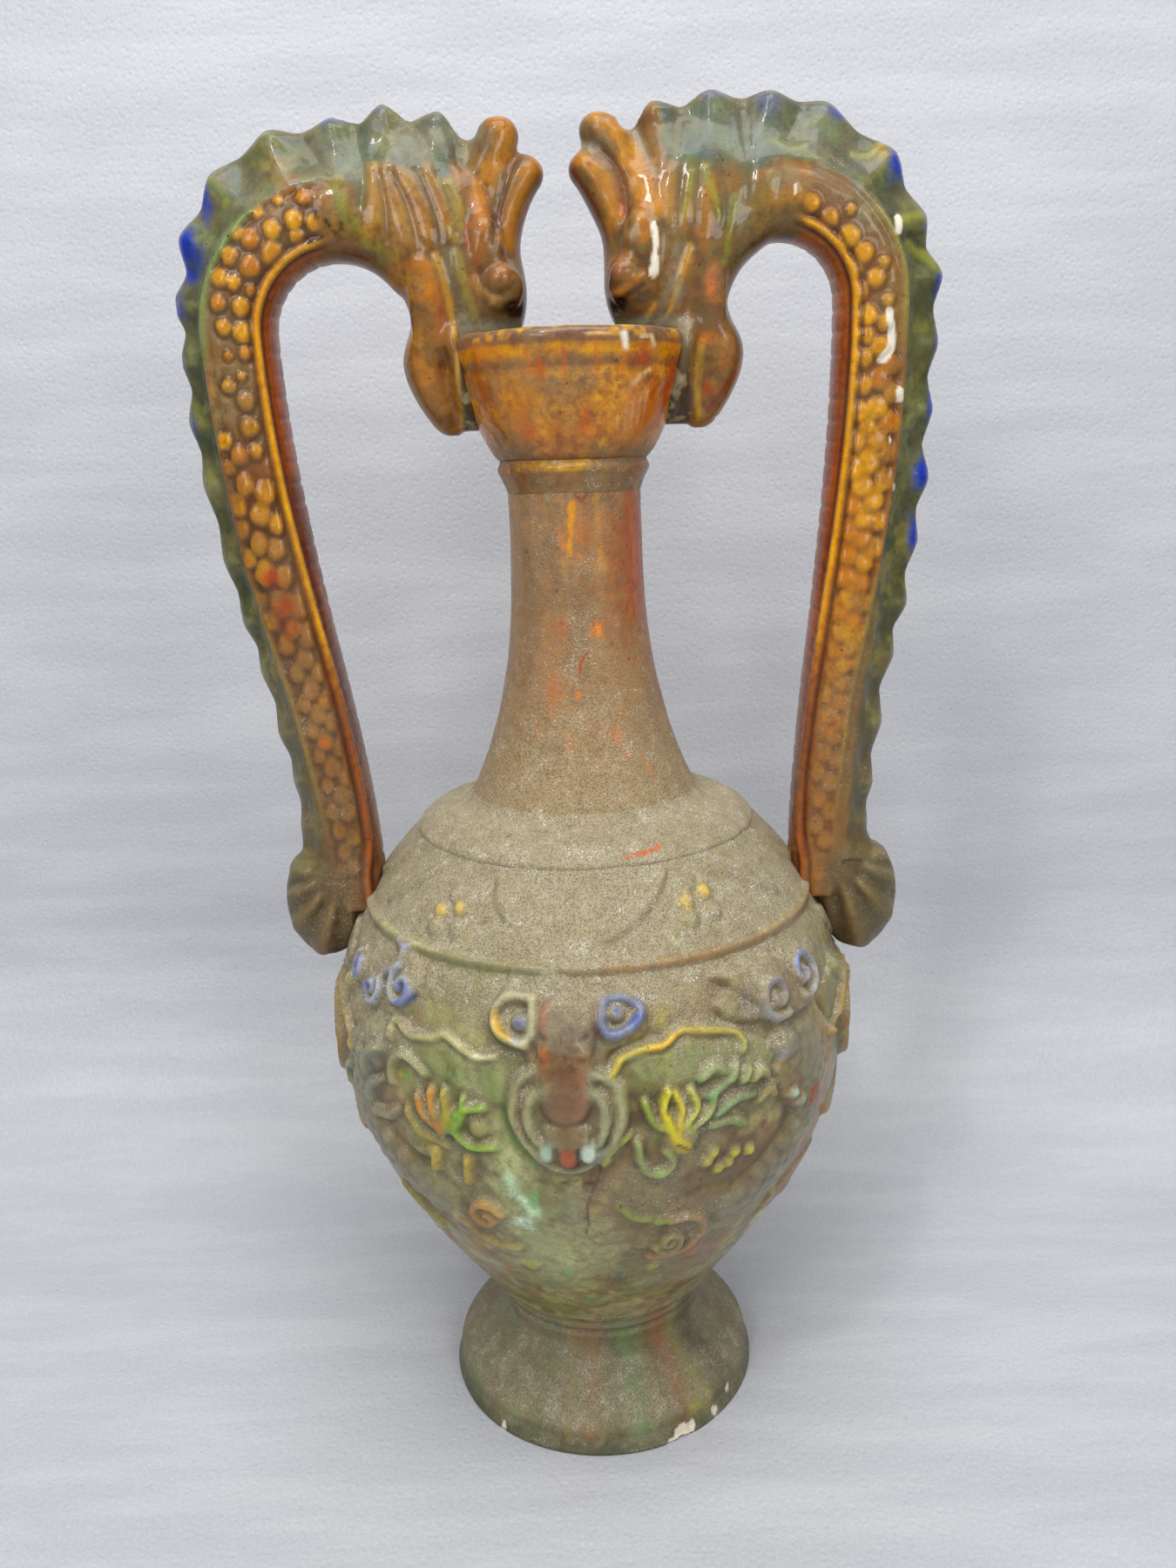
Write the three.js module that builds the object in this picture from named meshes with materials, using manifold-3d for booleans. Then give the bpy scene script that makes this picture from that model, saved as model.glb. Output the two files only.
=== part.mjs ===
// Double-dragon amphora: a glazed earthenware vase whose two handles are dragons that bite the rim.
// Millimetres, +Z up. The origin is the centre of the foot on the table, X runs along the handles,
// and the moulded mask faces -Y.
import * as THREE from 'three';
import { mergeVertices } from 'three/addons/utils/BufferGeometryUtils.js';
import Module from 'manifold-3d';

const wasm = await Module();
wasm.setup();

// Clearances between the separately made pieces
const seatGap = 0.3;            // between a piece and the one that it sits on

// Wall and facets
const wall = 5.5;               // thickness of the thrown walls, measured level
const aroundVase = 32;          // facets round the thrown pieces

// Foot
const footRadius = 59.5;        // where it stands
const footRimRadius = 57;       // top of the upright rim
const footRimHeight = 6;
const footWaistRadius = 39;
const footWaistHeight = 31;     // where the flare ends
const footHeight = 44;          // luting joint with the belly
const footRegister = 2.5;       // how far the belly's base drops into the foot

// Belly
const bellyBaseRadius = 43;
const bellyRadius = 92;
const bellyHeight = 152;        // the widest level, and the seam between the two thrown halves
const shoulderRadius = 57;
const shoulderHeight = 228;     // top of the belly
const shoulderFullness = 2.2;   // 2 is a parabola, more keeps the shoulder fuller
const bellyFloor = 7;
const seamStep = 4;             // height of the lap between the two halves
const bellyLevels = 7;          // facets up each half

// Collar at the neck's root
const collarRadius = 56.5;
const collarEdge = 3.5;         // thickness of its rim
const collarRise = 9;           // from its underside to the neck
const neckSpigot = 5;           // how far the neck drops into the collar
const spigotWall = 3;

// Neck
const neckBaseRadius = 40;
const neckRadius = 22.4;
const neckTopHeight = 343;
const neckLevels = 7;

// Bead under the mouth
const beadRadius = 25.5;
const beadHeight = 7.5;

// Mouth cup
const cupBaseRadius = 24.5;
const cupRadius = 38;
const cupBandDepth = 1;
const lipRadius = 39.3;
const cupRise = 38.9;           // rim above the cup's base
const lipRise = 12;             // rim above the groove under the lip
const lipWall = 4.5;
const cupLevels = 4;

// Dragon handles: positions are measured outwards from the vase's axis and up from the table
const tailDrop = 32;            // centre of the tail lobe below the top of the belly
const tailStandOff = 13.5;      // its centre from the belly's wall
const tailReach = 17.5;
const tailRise = 21;
const tailHalfThickness = 15;
const tailFlutes = 9;
const tailFluteDepth = 0.09;    // share of the lobe's radius
const archReach = 32.5;         // arch's centre line from its centre
const archOverhang = 32;        // arch's centre beyond the cup's wall
const archLift = 6;             // arch's centre above the rim
const archEnd = 55;             // degrees above level where the body enters the head
const bodyRootInset = 10.5;     // body's centre line inside the tail lobe's
const bodyHalfWidthLow = 11.5;
const bodyHalfWidth = 12.5;
const bodyHalfThickness = 12.5;
const bodyLowPull = 62;         // how far the body runs upright from the tail
const bodyHighPull = 66;        // and below the arch
const handleLean = 3;           // both handles lean to -X by this much at the crest
const crestAboveArch = 60;      // crest's top above the arch's centre
const crestRise = 6;            // ridge beyond the body, in the valleys between fins
const crestHalfThickness = 4.5;
const finCount = 15;
const finHeight = 4.6;

// Heads and jaws
const headHalfThickness = 16;
const headTop = 52;             // above the rim
const headReach = 21;           // how far the head stands out beyond the lip
const snoutReach = 26;          // how far the snout goes in over the mouth from the lip
const jawDrop = 30;             // below the rim
const jawHalfThickness = 14;
const jawBulge = 16.5;          // beyond the lip
const jawRoot = 14;             // inwards from the lip
const hornRadius = 5.6;
const snoutRadius = 5.4;
const eyeRadius = 4.6;
const eyeHeight = 15;           // above the rim
const eyeInset = 19;            // inwards from the lip

// Moulded relief
const maskTurn = -5.5;          // degrees that the mask stands off the front
const ground = 1.6;             // height of the lowest relief
const middle = 2.4;
const proud = 3.4;
const snoutProud = 4.6;
const lappetProud = 1.2;
const borderAboveTail = 5;      // raised line that closes the shoulder's lappets
const borderHalfWidth = 1.8;
const sideLeafProud = 4;

const degrees = Math.PI / 180;
const tau = Math.PI * 2;

// Closed mesh to solid. Facets that collapsed on the axis go, and an inside-out mesh is turned.
function toSolid(geometry) {
  const bare = geometry.clone();
  bare.deleteAttribute('normal');
  bare.deleteAttribute('uv');
  const merged = mergeVertices(bare, 1e-4);
  const position = merged.attributes.position;
  const corners = Array.from(merged.index.array);
  const kept = [];
  for (let i = 0; i < corners.length; i += 3) {
    const [a, b, c] = corners.slice(i, i + 3);
    if (a !== b && b !== c && c !== a) kept.push(a, b, c);
  }
  const at = (i) => new THREE.Vector3().fromBufferAttribute(position, i);
  let volume = 0;
  for (let i = 0; i < kept.length; i += 3) {
    volume += at(kept[i]).dot(at(kept[i + 1]).cross(at(kept[i + 2])));
  }
  if (volume < 0) kept.reverse();
  const mesh = new wasm.Mesh({
    numProp: 3,
    vertProperties: new Float32Array(position.array),
    triVerts: new Uint32Array(kept),
  });
  return new wasm.Manifold(mesh);
}

function toGeometry(solid) {
  const mesh = solid.getMesh();
  const geometry = new THREE.BufferGeometry();
  const positions = new Float32Array(mesh.numVert * 3);
  for (let i = 0; i < mesh.numVert; i += 1) {
    for (let k = 0; k < 3; k += 1) positions[i * 3 + k] = mesh.vertProperties[i * mesh.numProp + k];
  }
  geometry.setAttribute('position', new THREE.BufferAttribute(positions, 3));
  geometry.setIndex(new THREE.BufferAttribute(new Uint32Array(mesh.triVerts), 1));
  geometry.computeVertexNormals();
  return geometry;
}

// A profile of [radius, height] pairs, up the outside and down the inside, turned about the axis
function thrown(profile) {
  const points = profile.map(([radius, height]) => new THREE.Vector2(radius, height));
  return new THREE.LatheGeometry(points, aroundVase).rotateX(Math.PI / 2);
}

function ringProfile(profile) {
  return thrown([...profile, profile[0]]);
}

function levels(from, to, count) {
  return Array.from({ length: count + 1 }, (_, i) => from + (to - from) * i / count);
}

// Foot: an upright rim, then an S-shaped flare into the waist. It is hollow and open below.
function footRadiusAt(height) {
  if (height <= footRimHeight) {
    return footRadius + (footRimRadius - footRadius) * height / footRimHeight;
  }
  if (height >= footWaistHeight) {
    return footWaistRadius + (height - footWaistHeight) * (bellyBaseRadius - 2 - footWaistRadius)
      / (footHeight - footWaistHeight);
  }
  const along = (height - footRimHeight) / (footWaistHeight - footRimHeight);
  return footWaistRadius + (footRimRadius - footWaistRadius) * (1 + Math.cos(Math.PI * along)) / 2;
}

function foot() {
  const flare = levels(footRimHeight, footWaistHeight, 6);
  const outside = [0, ...flare, footHeight].map((z) => [footRadiusAt(z), z]);
  const inside = [footHeight, ...flare.filter((_, i) => i % 2 === 1).reverse(), 0];
  return ringProfile([...outside, ...inside.map((z) => [footRadiusAt(z) - wall, z])]);
}

// Belly: a quarter sine up to the widest level, then a full shoulder
const bellyBase = footHeight + seatGap;

function bellyRadiusAt(height) {
  if (height < bellyHeight) {
    const along = Math.max(0, (height - bellyBase) / (bellyHeight - bellyBase));
    return bellyBaseRadius + (bellyRadius - bellyBaseRadius) * Math.sin(along * Math.PI / 2);
  }
  const along = (height - bellyHeight) / (shoulderHeight - bellyHeight);
  return bellyRadius - (bellyRadius - shoulderRadius) * along ** shoulderFullness;
}

const lowerLevels = levels(bellyBase, bellyHeight, bellyLevels);
const upperLevels = levels(bellyHeight, shoulderHeight, bellyLevels);
const everyOther = (list) => list.filter((_, i) => i % 2 === 0);

function lowerBelly() {
  const halfWall = wall / 2;
  const registerRadius = footRadiusAt(footHeight) - wall - seatGap;
  const floorTop = bellyBase + bellyFloor;
  const inside = everyOther(lowerLevels).filter((z) => z > floorTop + wall).reverse();
  return thrown([
    [0, bellyBase - footRegister],
    [registerRadius, bellyBase - footRegister],
    [registerRadius, bellyBase],
    ...lowerLevels.map((z) => [bellyRadiusAt(z), z]),
    [bellyRadius - halfWall, bellyHeight],
    [bellyRadius - halfWall, bellyHeight + seamStep],
    [bellyRadius - wall, bellyHeight + seamStep],
    ...inside.map((z) => [bellyRadiusAt(z) - wall, z]),
    [bellyBaseRadius - wall, floorTop],
    [0, floorTop],
  ]);
}

function upperBelly() {
  const halfWall = wall / 2;
  const seamLow = bellyHeight + seatGap;
  const seamHigh = bellyHeight + seamStep + seatGap;
  const inside = everyOther(upperLevels).filter((z) => z > seamHigh + wall).reverse();
  return ringProfile([
    [bellyRadius - halfWall + seatGap, seamLow],
    [bellyRadius, seamLow],
    ...upperLevels.slice(1).map((z) => [bellyRadiusAt(z), z]),
    ...inside.map((z) => [bellyRadiusAt(z) - wall, z]),
    [bellyRadius - wall, seamHigh],
    [bellyRadius - halfWall + seatGap, seamHigh],
  ]);
}

// Collar: a stepped disc that covers the joint of shoulder and neck
const collarBase = shoulderHeight + seatGap;
const collarTop = collarBase + collarRise;
const spigotRadius = neckBaseRadius - wall;

function collar() {
  const bore = spigotRadius + seatGap;
  return ringProfile([
    [bore, collarBase],
    [collarRadius - 1, collarBase],
    [collarRadius, collarBase + collarEdge * 0.4],
    [collarRadius - 1, collarBase + collarEdge],
    [collarRadius - 5, collarBase + collarEdge + 1],
    [neckBaseRadius + 3, collarTop - 1.5],
    [neckBaseRadius, collarTop],
    [bore, collarTop],
  ]);
}

// Neck: a trumpet that narrows with the cube of the height left
const neckBase = collarTop + seatGap;

function neckRadiusAt(height) {
  const left = (neckTopHeight - height) / (neckTopHeight - neckBase);
  return neckRadius + (neckBaseRadius - neckRadius) * left ** 3;
}

function neck() {
  const heights = levels(0, 1, neckLevels).map((t) => neckBase + (neckTopHeight - neckBase) * t ** 1.4);
  const inside = everyOther(heights).slice(1).reverse();
  return ringProfile([
    [spigotRadius - spigotWall, neckBase - neckSpigot],
    [spigotRadius, neckBase - neckSpigot],
    [spigotRadius, neckBase],
    ...heights.map((z) => [neckRadiusAt(z), z]),
    [neckRadius - wall, neckTopHeight],
    ...inside.map((z) => [neckRadiusAt(z) - wall, z]),
  ]);
}

// Bead round the joint of neck and mouth. The cup's spigot passes through it.
const beadBase = neckTopHeight + seatGap;
const beadTop = beadBase + beadHeight;
const cupSpigotRadius = neckRadius - wall / 2;

function neckBead() {
  const bore = cupSpigotRadius + seatGap;
  const arc = levels(-90, 90, 4).map((a) => [
    neckRadius + 0.5 + (beadRadius - neckRadius - 0.5) * Math.cos(a * degrees),
    beadBase + beadHeight * (1 + Math.sin(a * degrees)) / 2,
  ]);
  return ringProfile([[bore, beadBase], ...arc, [bore, beadTop]]);
}

// Mouth cup with a banded, rounded lip
const cupBase = beadTop + seatGap;
const rimHeight = cupBase + cupRise;
const cupBandHeight = rimHeight - lipRise;

function cupRadiusAt(height) {
  const along = Math.min(1, Math.max(0, (height - cupBase) / (cupBandHeight - cupBase)));
  return cupBaseRadius + (cupRadius - cupBaseRadius) * along ** 0.75;
}

function cupOutside(grow) {
  const rise = rimHeight - cupBandHeight;
  return [
    ...levels(cupBase, cupBandHeight, cupLevels).map((z) => [cupRadiusAt(z) + grow, z]),
    [cupRadius - cupBandDepth + grow, cupBandHeight + 1],
    [lipRadius - 0.8 + grow, cupBandHeight + rise * 0.35],
    [lipRadius + grow, cupBandHeight + rise * 0.65],
    [lipRadius - 0.6 + grow, rimHeight - 1.2],
  ];
}

function mouthCup() {
  const floor = levels(cupBase, cupBandHeight, cupLevels).filter((_, i) => i % 2 === 0).reverse();
  return ringProfile([
    [cupSpigotRadius - spigotWall, beadBase],
    [cupSpigotRadius, beadBase],
    [cupSpigotRadius, cupBase],
    ...cupOutside(0),
    [lipRadius - 2, rimHeight],
    [lipRadius - lipWall + 1, rimHeight],
    [lipRadius - lipWall, rimHeight - 1],
    ...floor.map((z) => [cupRadiusAt(z) - wall, z]),
  ]);
}

// Solids to cut with: the belly, collar and cup filled in and grown outwards
const grownBellies = new Map();

function grownBelly(grow) {
  if (!grownBellies.has(grow)) {
    const heights = [...lowerLevels, ...upperLevels.slice(1)];
    const skin = heights.map((z) => [bellyRadiusAt(z) + grow, z]);
    grownBellies.set(grow, toSolid(thrown([[0, bellyBase], ...skin, [0, shoulderHeight]])));
  }
  return grownBellies.get(grow);
}

const grownCup = toSolid(thrown([
  [0, cupBase],
  ...cupOutside(seatGap),
  [lipRadius - 1 + seatGap, rimHeight + seatGap],
  [0, rimHeight + seatGap],
]));

// Shapes between sections. Each section has a centre, two half axes and how square it is.
function loft(sections, around) {
  const positions = [];
  const faces = [];
  for (const { centre, wide, deep, square = 2 } of sections) {
    for (let i = 0; i < around; i += 1) {
      const a = tau * i / around;
      const across = Math.sign(Math.cos(a)) * Math.abs(Math.cos(a)) ** (2 / square);
      const through = Math.sign(Math.sin(a)) * Math.abs(Math.sin(a)) ** (2 / square);
      const point = centre.clone().addScaledVector(wide, across).addScaledVector(deep, through);
      positions.push(point.x, point.y, point.z);
    }
  }
  const rings = sections.length;
  for (let ring = 0; ring + 1 < rings; ring += 1) {
    for (let i = 0; i < around; i += 1) {
      const a = ring * around + i;
      const b = ring * around + (i + 1) % around;
      faces.push(a, b, b + around, a, b + around, a + around);
    }
  }
  for (const [ring, first, second] of [[0, 1, 0], [rings - 1, 0, 1]]) {
    const hub = positions.length / 3;
    const { centre } = sections[ring];
    positions.push(centre.x, centre.y, centre.z);
    for (let i = 0; i < around; i += 1) {
      const edge = [ring * around + i, ring * around + (i + 1) % around];
      faces.push(hub, edge[first], edge[second]);
    }
  }
  const geometry = new THREE.BufferGeometry();
  geometry.setAttribute('position', new THREE.Float32BufferAttribute(positions, 3));
  geometry.setIndex(faces);
  return toSolid(geometry);
}

// Handle positions. side is -1 for the left dragon and 1 for the right.
const archOut = cupRadius + archOverhang;
const archUp = rimHeight + archLift;
const tailHeight = shoulderHeight - tailDrop;
const tailOut = bellyRadiusAt(tailHeight) + tailStandOff;
const crestTop = archUp + crestAboveArch;

function handlePoint(side, out, up, through = 0) {
  const lean = handleLean * (up - tailHeight) / (crestTop - tailHeight);
  return new THREE.Vector3(side * out - lean, through, up);
}

// Centre line of a dragon's body: up from the shoulder in one S, then over the arch
const bodyStartOut = tailOut - bodyRootInset;
const bodyLine = new THREE.CurvePath();
bodyLine.add(new THREE.CubicBezierCurve(
  new THREE.Vector2(bodyStartOut, tailHeight),
  new THREE.Vector2(bodyStartOut, tailHeight + bodyLowPull),
  new THREE.Vector2(archOut + archReach, archUp - bodyHighPull),
  new THREE.Vector2(archOut + archReach, archUp),
));
bodyLine.add(new THREE.EllipseCurve(archOut, archUp, archReach, archReach, 0, (180 - archEnd) * degrees));

function bodySections(side, grow) {
  const archShare = bodyLine.curves[1].getLength() / bodyLine.getLength();
  const stations = [...levels(0, 1 - archShare, 9).slice(0, -1), ...levels(1 - archShare, 1, 8)];
  return stations.map((t) => {
    const point = bodyLine.getPointAt(t);
    const ahead = bodyLine.getTangentAt(t);
    if (t === 0) point.addScaledVector(ahead, -grow);
    if (t === 1) point.addScaledVector(ahead, grow);
    const half = bodyHalfWidthLow + (bodyHalfWidth - bodyHalfWidthLow) * t + grow;
    const outer = handlePoint(side, point.x + ahead.y * half, point.y - ahead.x * half);
    const inner = handlePoint(side, point.x - ahead.y * half, point.y + ahead.x * half);
    return {
      centre: outer.clone().add(inner).multiplyScalar(0.5),
      wide: outer.clone().sub(inner).multiplyScalar(0.5),
      deep: new THREE.Vector3(0, bodyHalfThickness + grow, 0),
      square: 2.8,
    };
  });
}

const bodySolid = (side, grow) => loft(bodySections(side, grow), 10);

// Tail lobe: a fluted shell that spreads on the shoulder
function tailSolid(side, grow) {
  const rings = 8;
  const sections = levels(-1, 1, rings).map((t) => {
    const spread = Math.sqrt(Math.max(0.02, 1 - t * t));
    const flute = 1 + tailFluteDepth * Math.cos(t * tailFlutes);
    return {
      centre: handlePoint(side, tailOut, tailHeight + (tailRise + grow) * t),
      wide: new THREE.Vector3((tailReach * flute + grow) * spread, 0, 0),
      deep: new THREE.Vector3(0, (tailHalfThickness * flute + grow) * spread, 0),
      square: 2.2,
    };
  });
  return loft(sections, 12);
}

// Head: level sections from the rim up. Each row is a share of the head's height, its inner and
// outer reach as shares of the snout's and the head's, and its share of the half thickness.
const headRows = [
  [0, 0.92, 0.6, 0.8],
  [0.15, 1, 0.62, 0.95],
  [0.32, 1.02, 0.71, 1],
  [0.52, 1, 0.9, 0.98],
  [0.69, 0.85, 1, 0.9],
  [0.85, 0.69, 0.86, 0.72],
  [1, 0.54, 0.38, 0.45],
];

function headSolid(side, grow) {
  const base = rimHeight + seatGap;
  const sections = headRows.map(([lift, inwards, outwards, share], row) => {
    const low = row === 0 ? -grow : 0;
    const up = base + (headTop - seatGap) * lift + (row === headRows.length - 1 ? grow : low);
    const inner = -snoutReach * inwards;
    const outer = headReach * outwards;
    return {
      centre: handlePoint(side, lipRadius + (inner + outer) / 2, up),
      wide: new THREE.Vector3((outer - inner) / 2 + grow, 0, 0),
      deep: new THREE.Vector3(0, headHalfThickness * share + grow, 0),
      square: 2.6,
    };
  });
  return loft(sections, 14);
}

// Jaw: closes on the cup from outside, below the rim. Each row is a share of its drop, of its
// bulge and of its half thickness.
const jawRows = [[0, 0.76, 0.85], [0.17, 1, 1], [0.33, 0.97, 1], [0.63, 0.73, 0.85], [0.87, 0.33, 0.6],
  [1, 0.03, 0.35]];

function jawSolid(side) {
  const sections = jawRows.map(([drop, bulge, share]) => {
    const outer = jawBulge * bulge;
    return {
      centre: handlePoint(side, lipRadius + (outer - jawRoot) / 2, rimHeight - jawDrop * drop),
      wide: new THREE.Vector3((outer + jawRoot) / 2, 0, 0),
      deep: new THREE.Vector3(0, jawHalfThickness * share, 0),
      square: 2.4,
    };
  });
  return loft(sections, 12);
}

// A lobe that curls along a short line of [out, up] points, with a radius at each
function lobe(side, points, radii, around) {
  const line = new THREE.SplineCurve(points.map(([out, up]) => new THREE.Vector2(out, up)));
  const steps = 6;
  const sections = levels(0, 1, steps).map((t) => {
    const point = line.getPoint(t);
    const ahead = line.getTangent(t);
    const radius = radii[0] + (radii[1] - radii[0]) * t;
    const round = t < 1 ? Math.sqrt(1 - Math.max(0, (t - 0.7) / 0.3) ** 2 * 0.75) : 0.3;
    const half = radius * round;
    const one = handlePoint(side, point.x + ahead.y * half, point.y - ahead.x * half);
    const two = handlePoint(side, point.x - ahead.y * half, point.y + ahead.x * half);
    return {
      centre: one.clone().add(two).multiplyScalar(0.5),
      wide: one.clone().sub(two).multiplyScalar(0.5),
      deep: new THREE.Vector3(0, half * 1.25, 0),
    };
  });
  return loft(sections, around);
}

// Horn and snout: shares of the snout's reach inwards from the lip, and of the head's height
const onHead = ([inwards, lift]) => [lipRadius - snoutReach * inwards, rimHeight + headTop * lift];
const hornPoints = [[0.46, 0.73], [0.69, 1], [0.9, 1.18], [1, 1.28]].map(onHead);
const snoutPoints = [[0.77, 0.5], [0.85, 0.69], [1.08, 0.875], [1.33, 1]].map(onHead);

function hornSolid(side, grow) {
  return lobe(side, hornPoints, [hornRadius + grow, hornRadius + grow], 10);
}

function snoutSolid(side, grow) {
  return lobe(side, snoutPoints, [snoutRadius + grow, snoutRadius * 0.85 + grow], 10);
}

// Crest: the ridge line between the fins, then the fins along it. Over the arch its valleys are
// shares of the arch's reach outwards, and of the crest's height over the arch downwards.
const crestOverArch = [[1.55, 1.13], [1.49, 0.73], [1.25, 0.37], [0.8, 0.14], [0.22, 0.02], [-0.4, -0.01],
  [-0.95, 0.02], [-1.42, 0.05]];

function crestLine() {
  const valleys = [];
  for (const t of levels(0.09, 0.54, 3)) {
    const point = bodyLine.getPointAt(t);
    const ahead = bodyLine.getTangentAt(t);
    const stand = bodyHalfWidthLow + crestRise;
    valleys.push(new THREE.Vector2(point.x + ahead.y * stand, point.y - ahead.x * stand));
  }
  for (const [out, drop] of crestOverArch) {
    valleys.push(new THREE.Vector2(archOut + archReach * out, crestTop - crestAboveArch * drop));
  }
  return new THREE.SplineCurve(valleys);
}

function crestSolid(side) {
  const line = crestLine();
  const stepsPerFin = 4;
  const steps = finCount * stepsPerFin;
  const edge = levels(0, 1, steps).map((t, i) => {
    const point = line.getPointAt(t);
    const ahead = line.getTangentAt(t);
    const swell = (1 - Math.cos(tau * i / stepsPerFin)) / 2;
    const rise = finHeight * swell ** 0.8;
    return [point.x + ahead.y * rise, point.y - ahead.x * rise];
  });
  const back = levels(0.95, 0.09, 9).map((t) => bodyLine.getPointAt(t)).map((p) => [p.x, p.y]);
  const inHead = onHead([0.3, 0.77]);
  const outline = [...edge, inHead, ...back].map(([out, up]) => {
    const place = handlePoint(side, out, up);
    return new THREE.Vector2(place.x, place.z);
  });
  const plate = new THREE.ExtrudeGeometry(new THREE.Shape(outline), {
    depth: crestHalfThickness * 2,
    bevelEnabled: false,
  });
  plate.translate(0, 0, -crestHalfThickness);
  plate.rotateX(Math.PI / 2);
  return toSolid(plate)
    .subtract(bodySolid(side, seatGap))
    .subtract(headSolid(side, seatGap))
    .subtract(hornSolid(side, seatGap));
}

function eyeSolid(side, through) {
  const ball = new THREE.SphereGeometry(eyeRadius, 8, 6);
  const place = handlePoint(side, lipRadius - eyeInset, rimHeight + eyeHeight);
  ball.translate(place.x, through * (headHalfThickness - 1.5), place.z);
  return toSolid(ball).subtract(headSolid(side, seatGap));
}

// Relief: outlines are [degrees from the sprig's centre, percent of the belly's height]. Widths are
// in the same percent. Each level is cut from the belly's own curve grown by its height, so every
// sprig hugs the wall.
const percent = (shoulderHeight - bellyBase) / 100;
const upBelly = (share) => bellyBase + share * percent;

function prism(outline, turn) {
  const flat = outline.map(([a, share]) => {
    const z = upBelly(share);
    return new THREE.Vector2(bellyRadiusAt(z) * Math.sin(a * degrees), z);
  });
  const start = shoulderRadius * 0.7;
  const block = new THREE.ExtrudeGeometry(new THREE.Shape(flat), {
    depth: bellyRadius + snoutProud,
    bevelEnabled: false,
  });
  const facing = new THREE.Vector3(Math.sin(turn * degrees), -Math.cos(turn * degrees), 0);
  const across = new THREE.Vector3(Math.cos(turn * degrees), Math.sin(turn * degrees), 0);
  const basis = new THREE.Matrix4().makeBasis(across, new THREE.Vector3(0, 0, 1), facing);
  basis.setPosition(facing.clone().multiplyScalar(start));
  return toSolid(block.applyMatrix4(basis));
}

function sprig(turn, shapes) {
  let whole = null;
  for (const { outline, height } of shapes) {
    const raised = prism(outline, turn).intersect(grownBelly(height));
    whole = whole ? whole.add(raised) : raised;
  }
  return whole.subtract(grownBelly(seatGap));
}

// Outline helpers. mirror is 1 or -1 and turns a right-hand shape into its left-hand partner.
function smooth(points, steps, mirror = 1) {
  const line = new THREE.CatmullRomCurve3(points.map(([a, share]) => new THREE.Vector3(a, share, 0)), true);
  return line.getPoints(steps).slice(0, -1).map((p) => [p.x * mirror, p.y]);
}

function disc(a, share, radius, mirror = 1, around = 8) {
  const stretch = radius * percent / (bellyRadiusAt(upBelly(share)) * degrees);
  return levels(0, 1, around).slice(0, -1).map((t) => [
    mirror * (a + stretch * Math.cos(tau * t)),
    share + radius * Math.sin(tau * t),
  ]);
}

function band(points, width, mirror = 1, steps = 5) {
  const perDegree = bellyRadius * degrees / percent;
  const line = new THREE.SplineCurve(points.map(([a, share]) => new THREE.Vector2(a * perDegree, share)));
  const left = [];
  const right = [];
  for (const t of levels(0, 1, steps)) {
    const point = line.getPoint(t);
    const ahead = line.getTangent(t);
    const half = width / 2 * Math.sqrt(Math.max(0.15, 1 - (2 * t - 1) ** 6));
    left.push([point.x - ahead.y * half, point.y + ahead.x * half]);
    right.unshift([point.x + ahead.y * half, point.y - ahead.x * half]);
  }
  return [...left, ...right].map(([x, share]) => [mirror * x / perDegree, share]);
}

function mask(turn) {
  const face = [[8.5, 81.5], [11.5, 80.7], [15.5, 78.2], [12, 75.2], [8, 73.9], [7.5, 71.1], [10, 68.4],
    [11.5, 63.5], [10, 58.6], [6, 54.5], [0, 52.9]];
  const left = face.slice(0, -1).reverse().map(([a, share]) => [-a, share]);
  return sprig(turn, [
    { outline: [...face, ...left], height: ground },
    { outline: [[-8.5, 81.3], [-7.5, 77.1], [7.5, 77.1], [8.5, 81.3]], height: middle },
    { outline: smooth([[0, 79.3], [4.5, 75.5], [6, 69.5], [6.5, 64.6], [0, 61.9], [-6.5, 64.6], [-6, 69.5],
      [-4.5, 75.5]], 10), height: snoutProud },
    { outline: disc(10.5, 78, 2.7, 1, 7), height: proud },
    { outline: disc(10.5, 78, 2.7, -1, 7), height: proud },
    { outline: band([[8.5, 69.5], [10.5, 64.1], [7, 56.5]], 1.9, 1, 3), height: proud },
    { outline: band([[8.5, 69.5], [10.5, 64.1], [7, 56.5]], 1.9, -1, 3), height: proud },
    { outline: [[-5, 58.4], [-5, 55.4], [5, 55.4], [5, 58.4]], height: middle },
  ]);
}

function wing(turn, mirror) {
  const drape = [[13, 65.2], [14, 71.4], [19, 72.8], [25, 75.2], [31, 73.3], [36.5, 72.8], [38.5, 69.8],
    [33, 67.9], [26, 68.4], [20, 67.1]];
  const edge = [[14, 71.1], [19, 72.5], [25, 74.7], [31, 73.1], [36.5, 71.7]];
  return sprig(turn, [
    { outline: smooth(drape, 13, mirror), height: ground },
    { outline: band(edge, 1.4, mirror, 4), height: middle },
  ]);
}

function claw(turn, mirror) {
  const shapes = [{ outline: disc(24, 56.5, 4.1, mirror, 7), height: proud }];
  const palm = [24, 56.5];
  const fingers = [[[17, 58.6], [17, 64.6]], [[23, 61.4], [22.5, 66]], [[30, 58.6], [33, 62.2]]];
  for (const finger of fingers) {
    shapes.push({ outline: band([palm, ...finger], 2.2, mirror, 2), height: proud });
  }
  shapes.push({ outline: band([palm, [26, 52.6], [25, 48.8]], 2.7, mirror, 2), height: proud });
  return sprig(turn, shapes);
}

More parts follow.
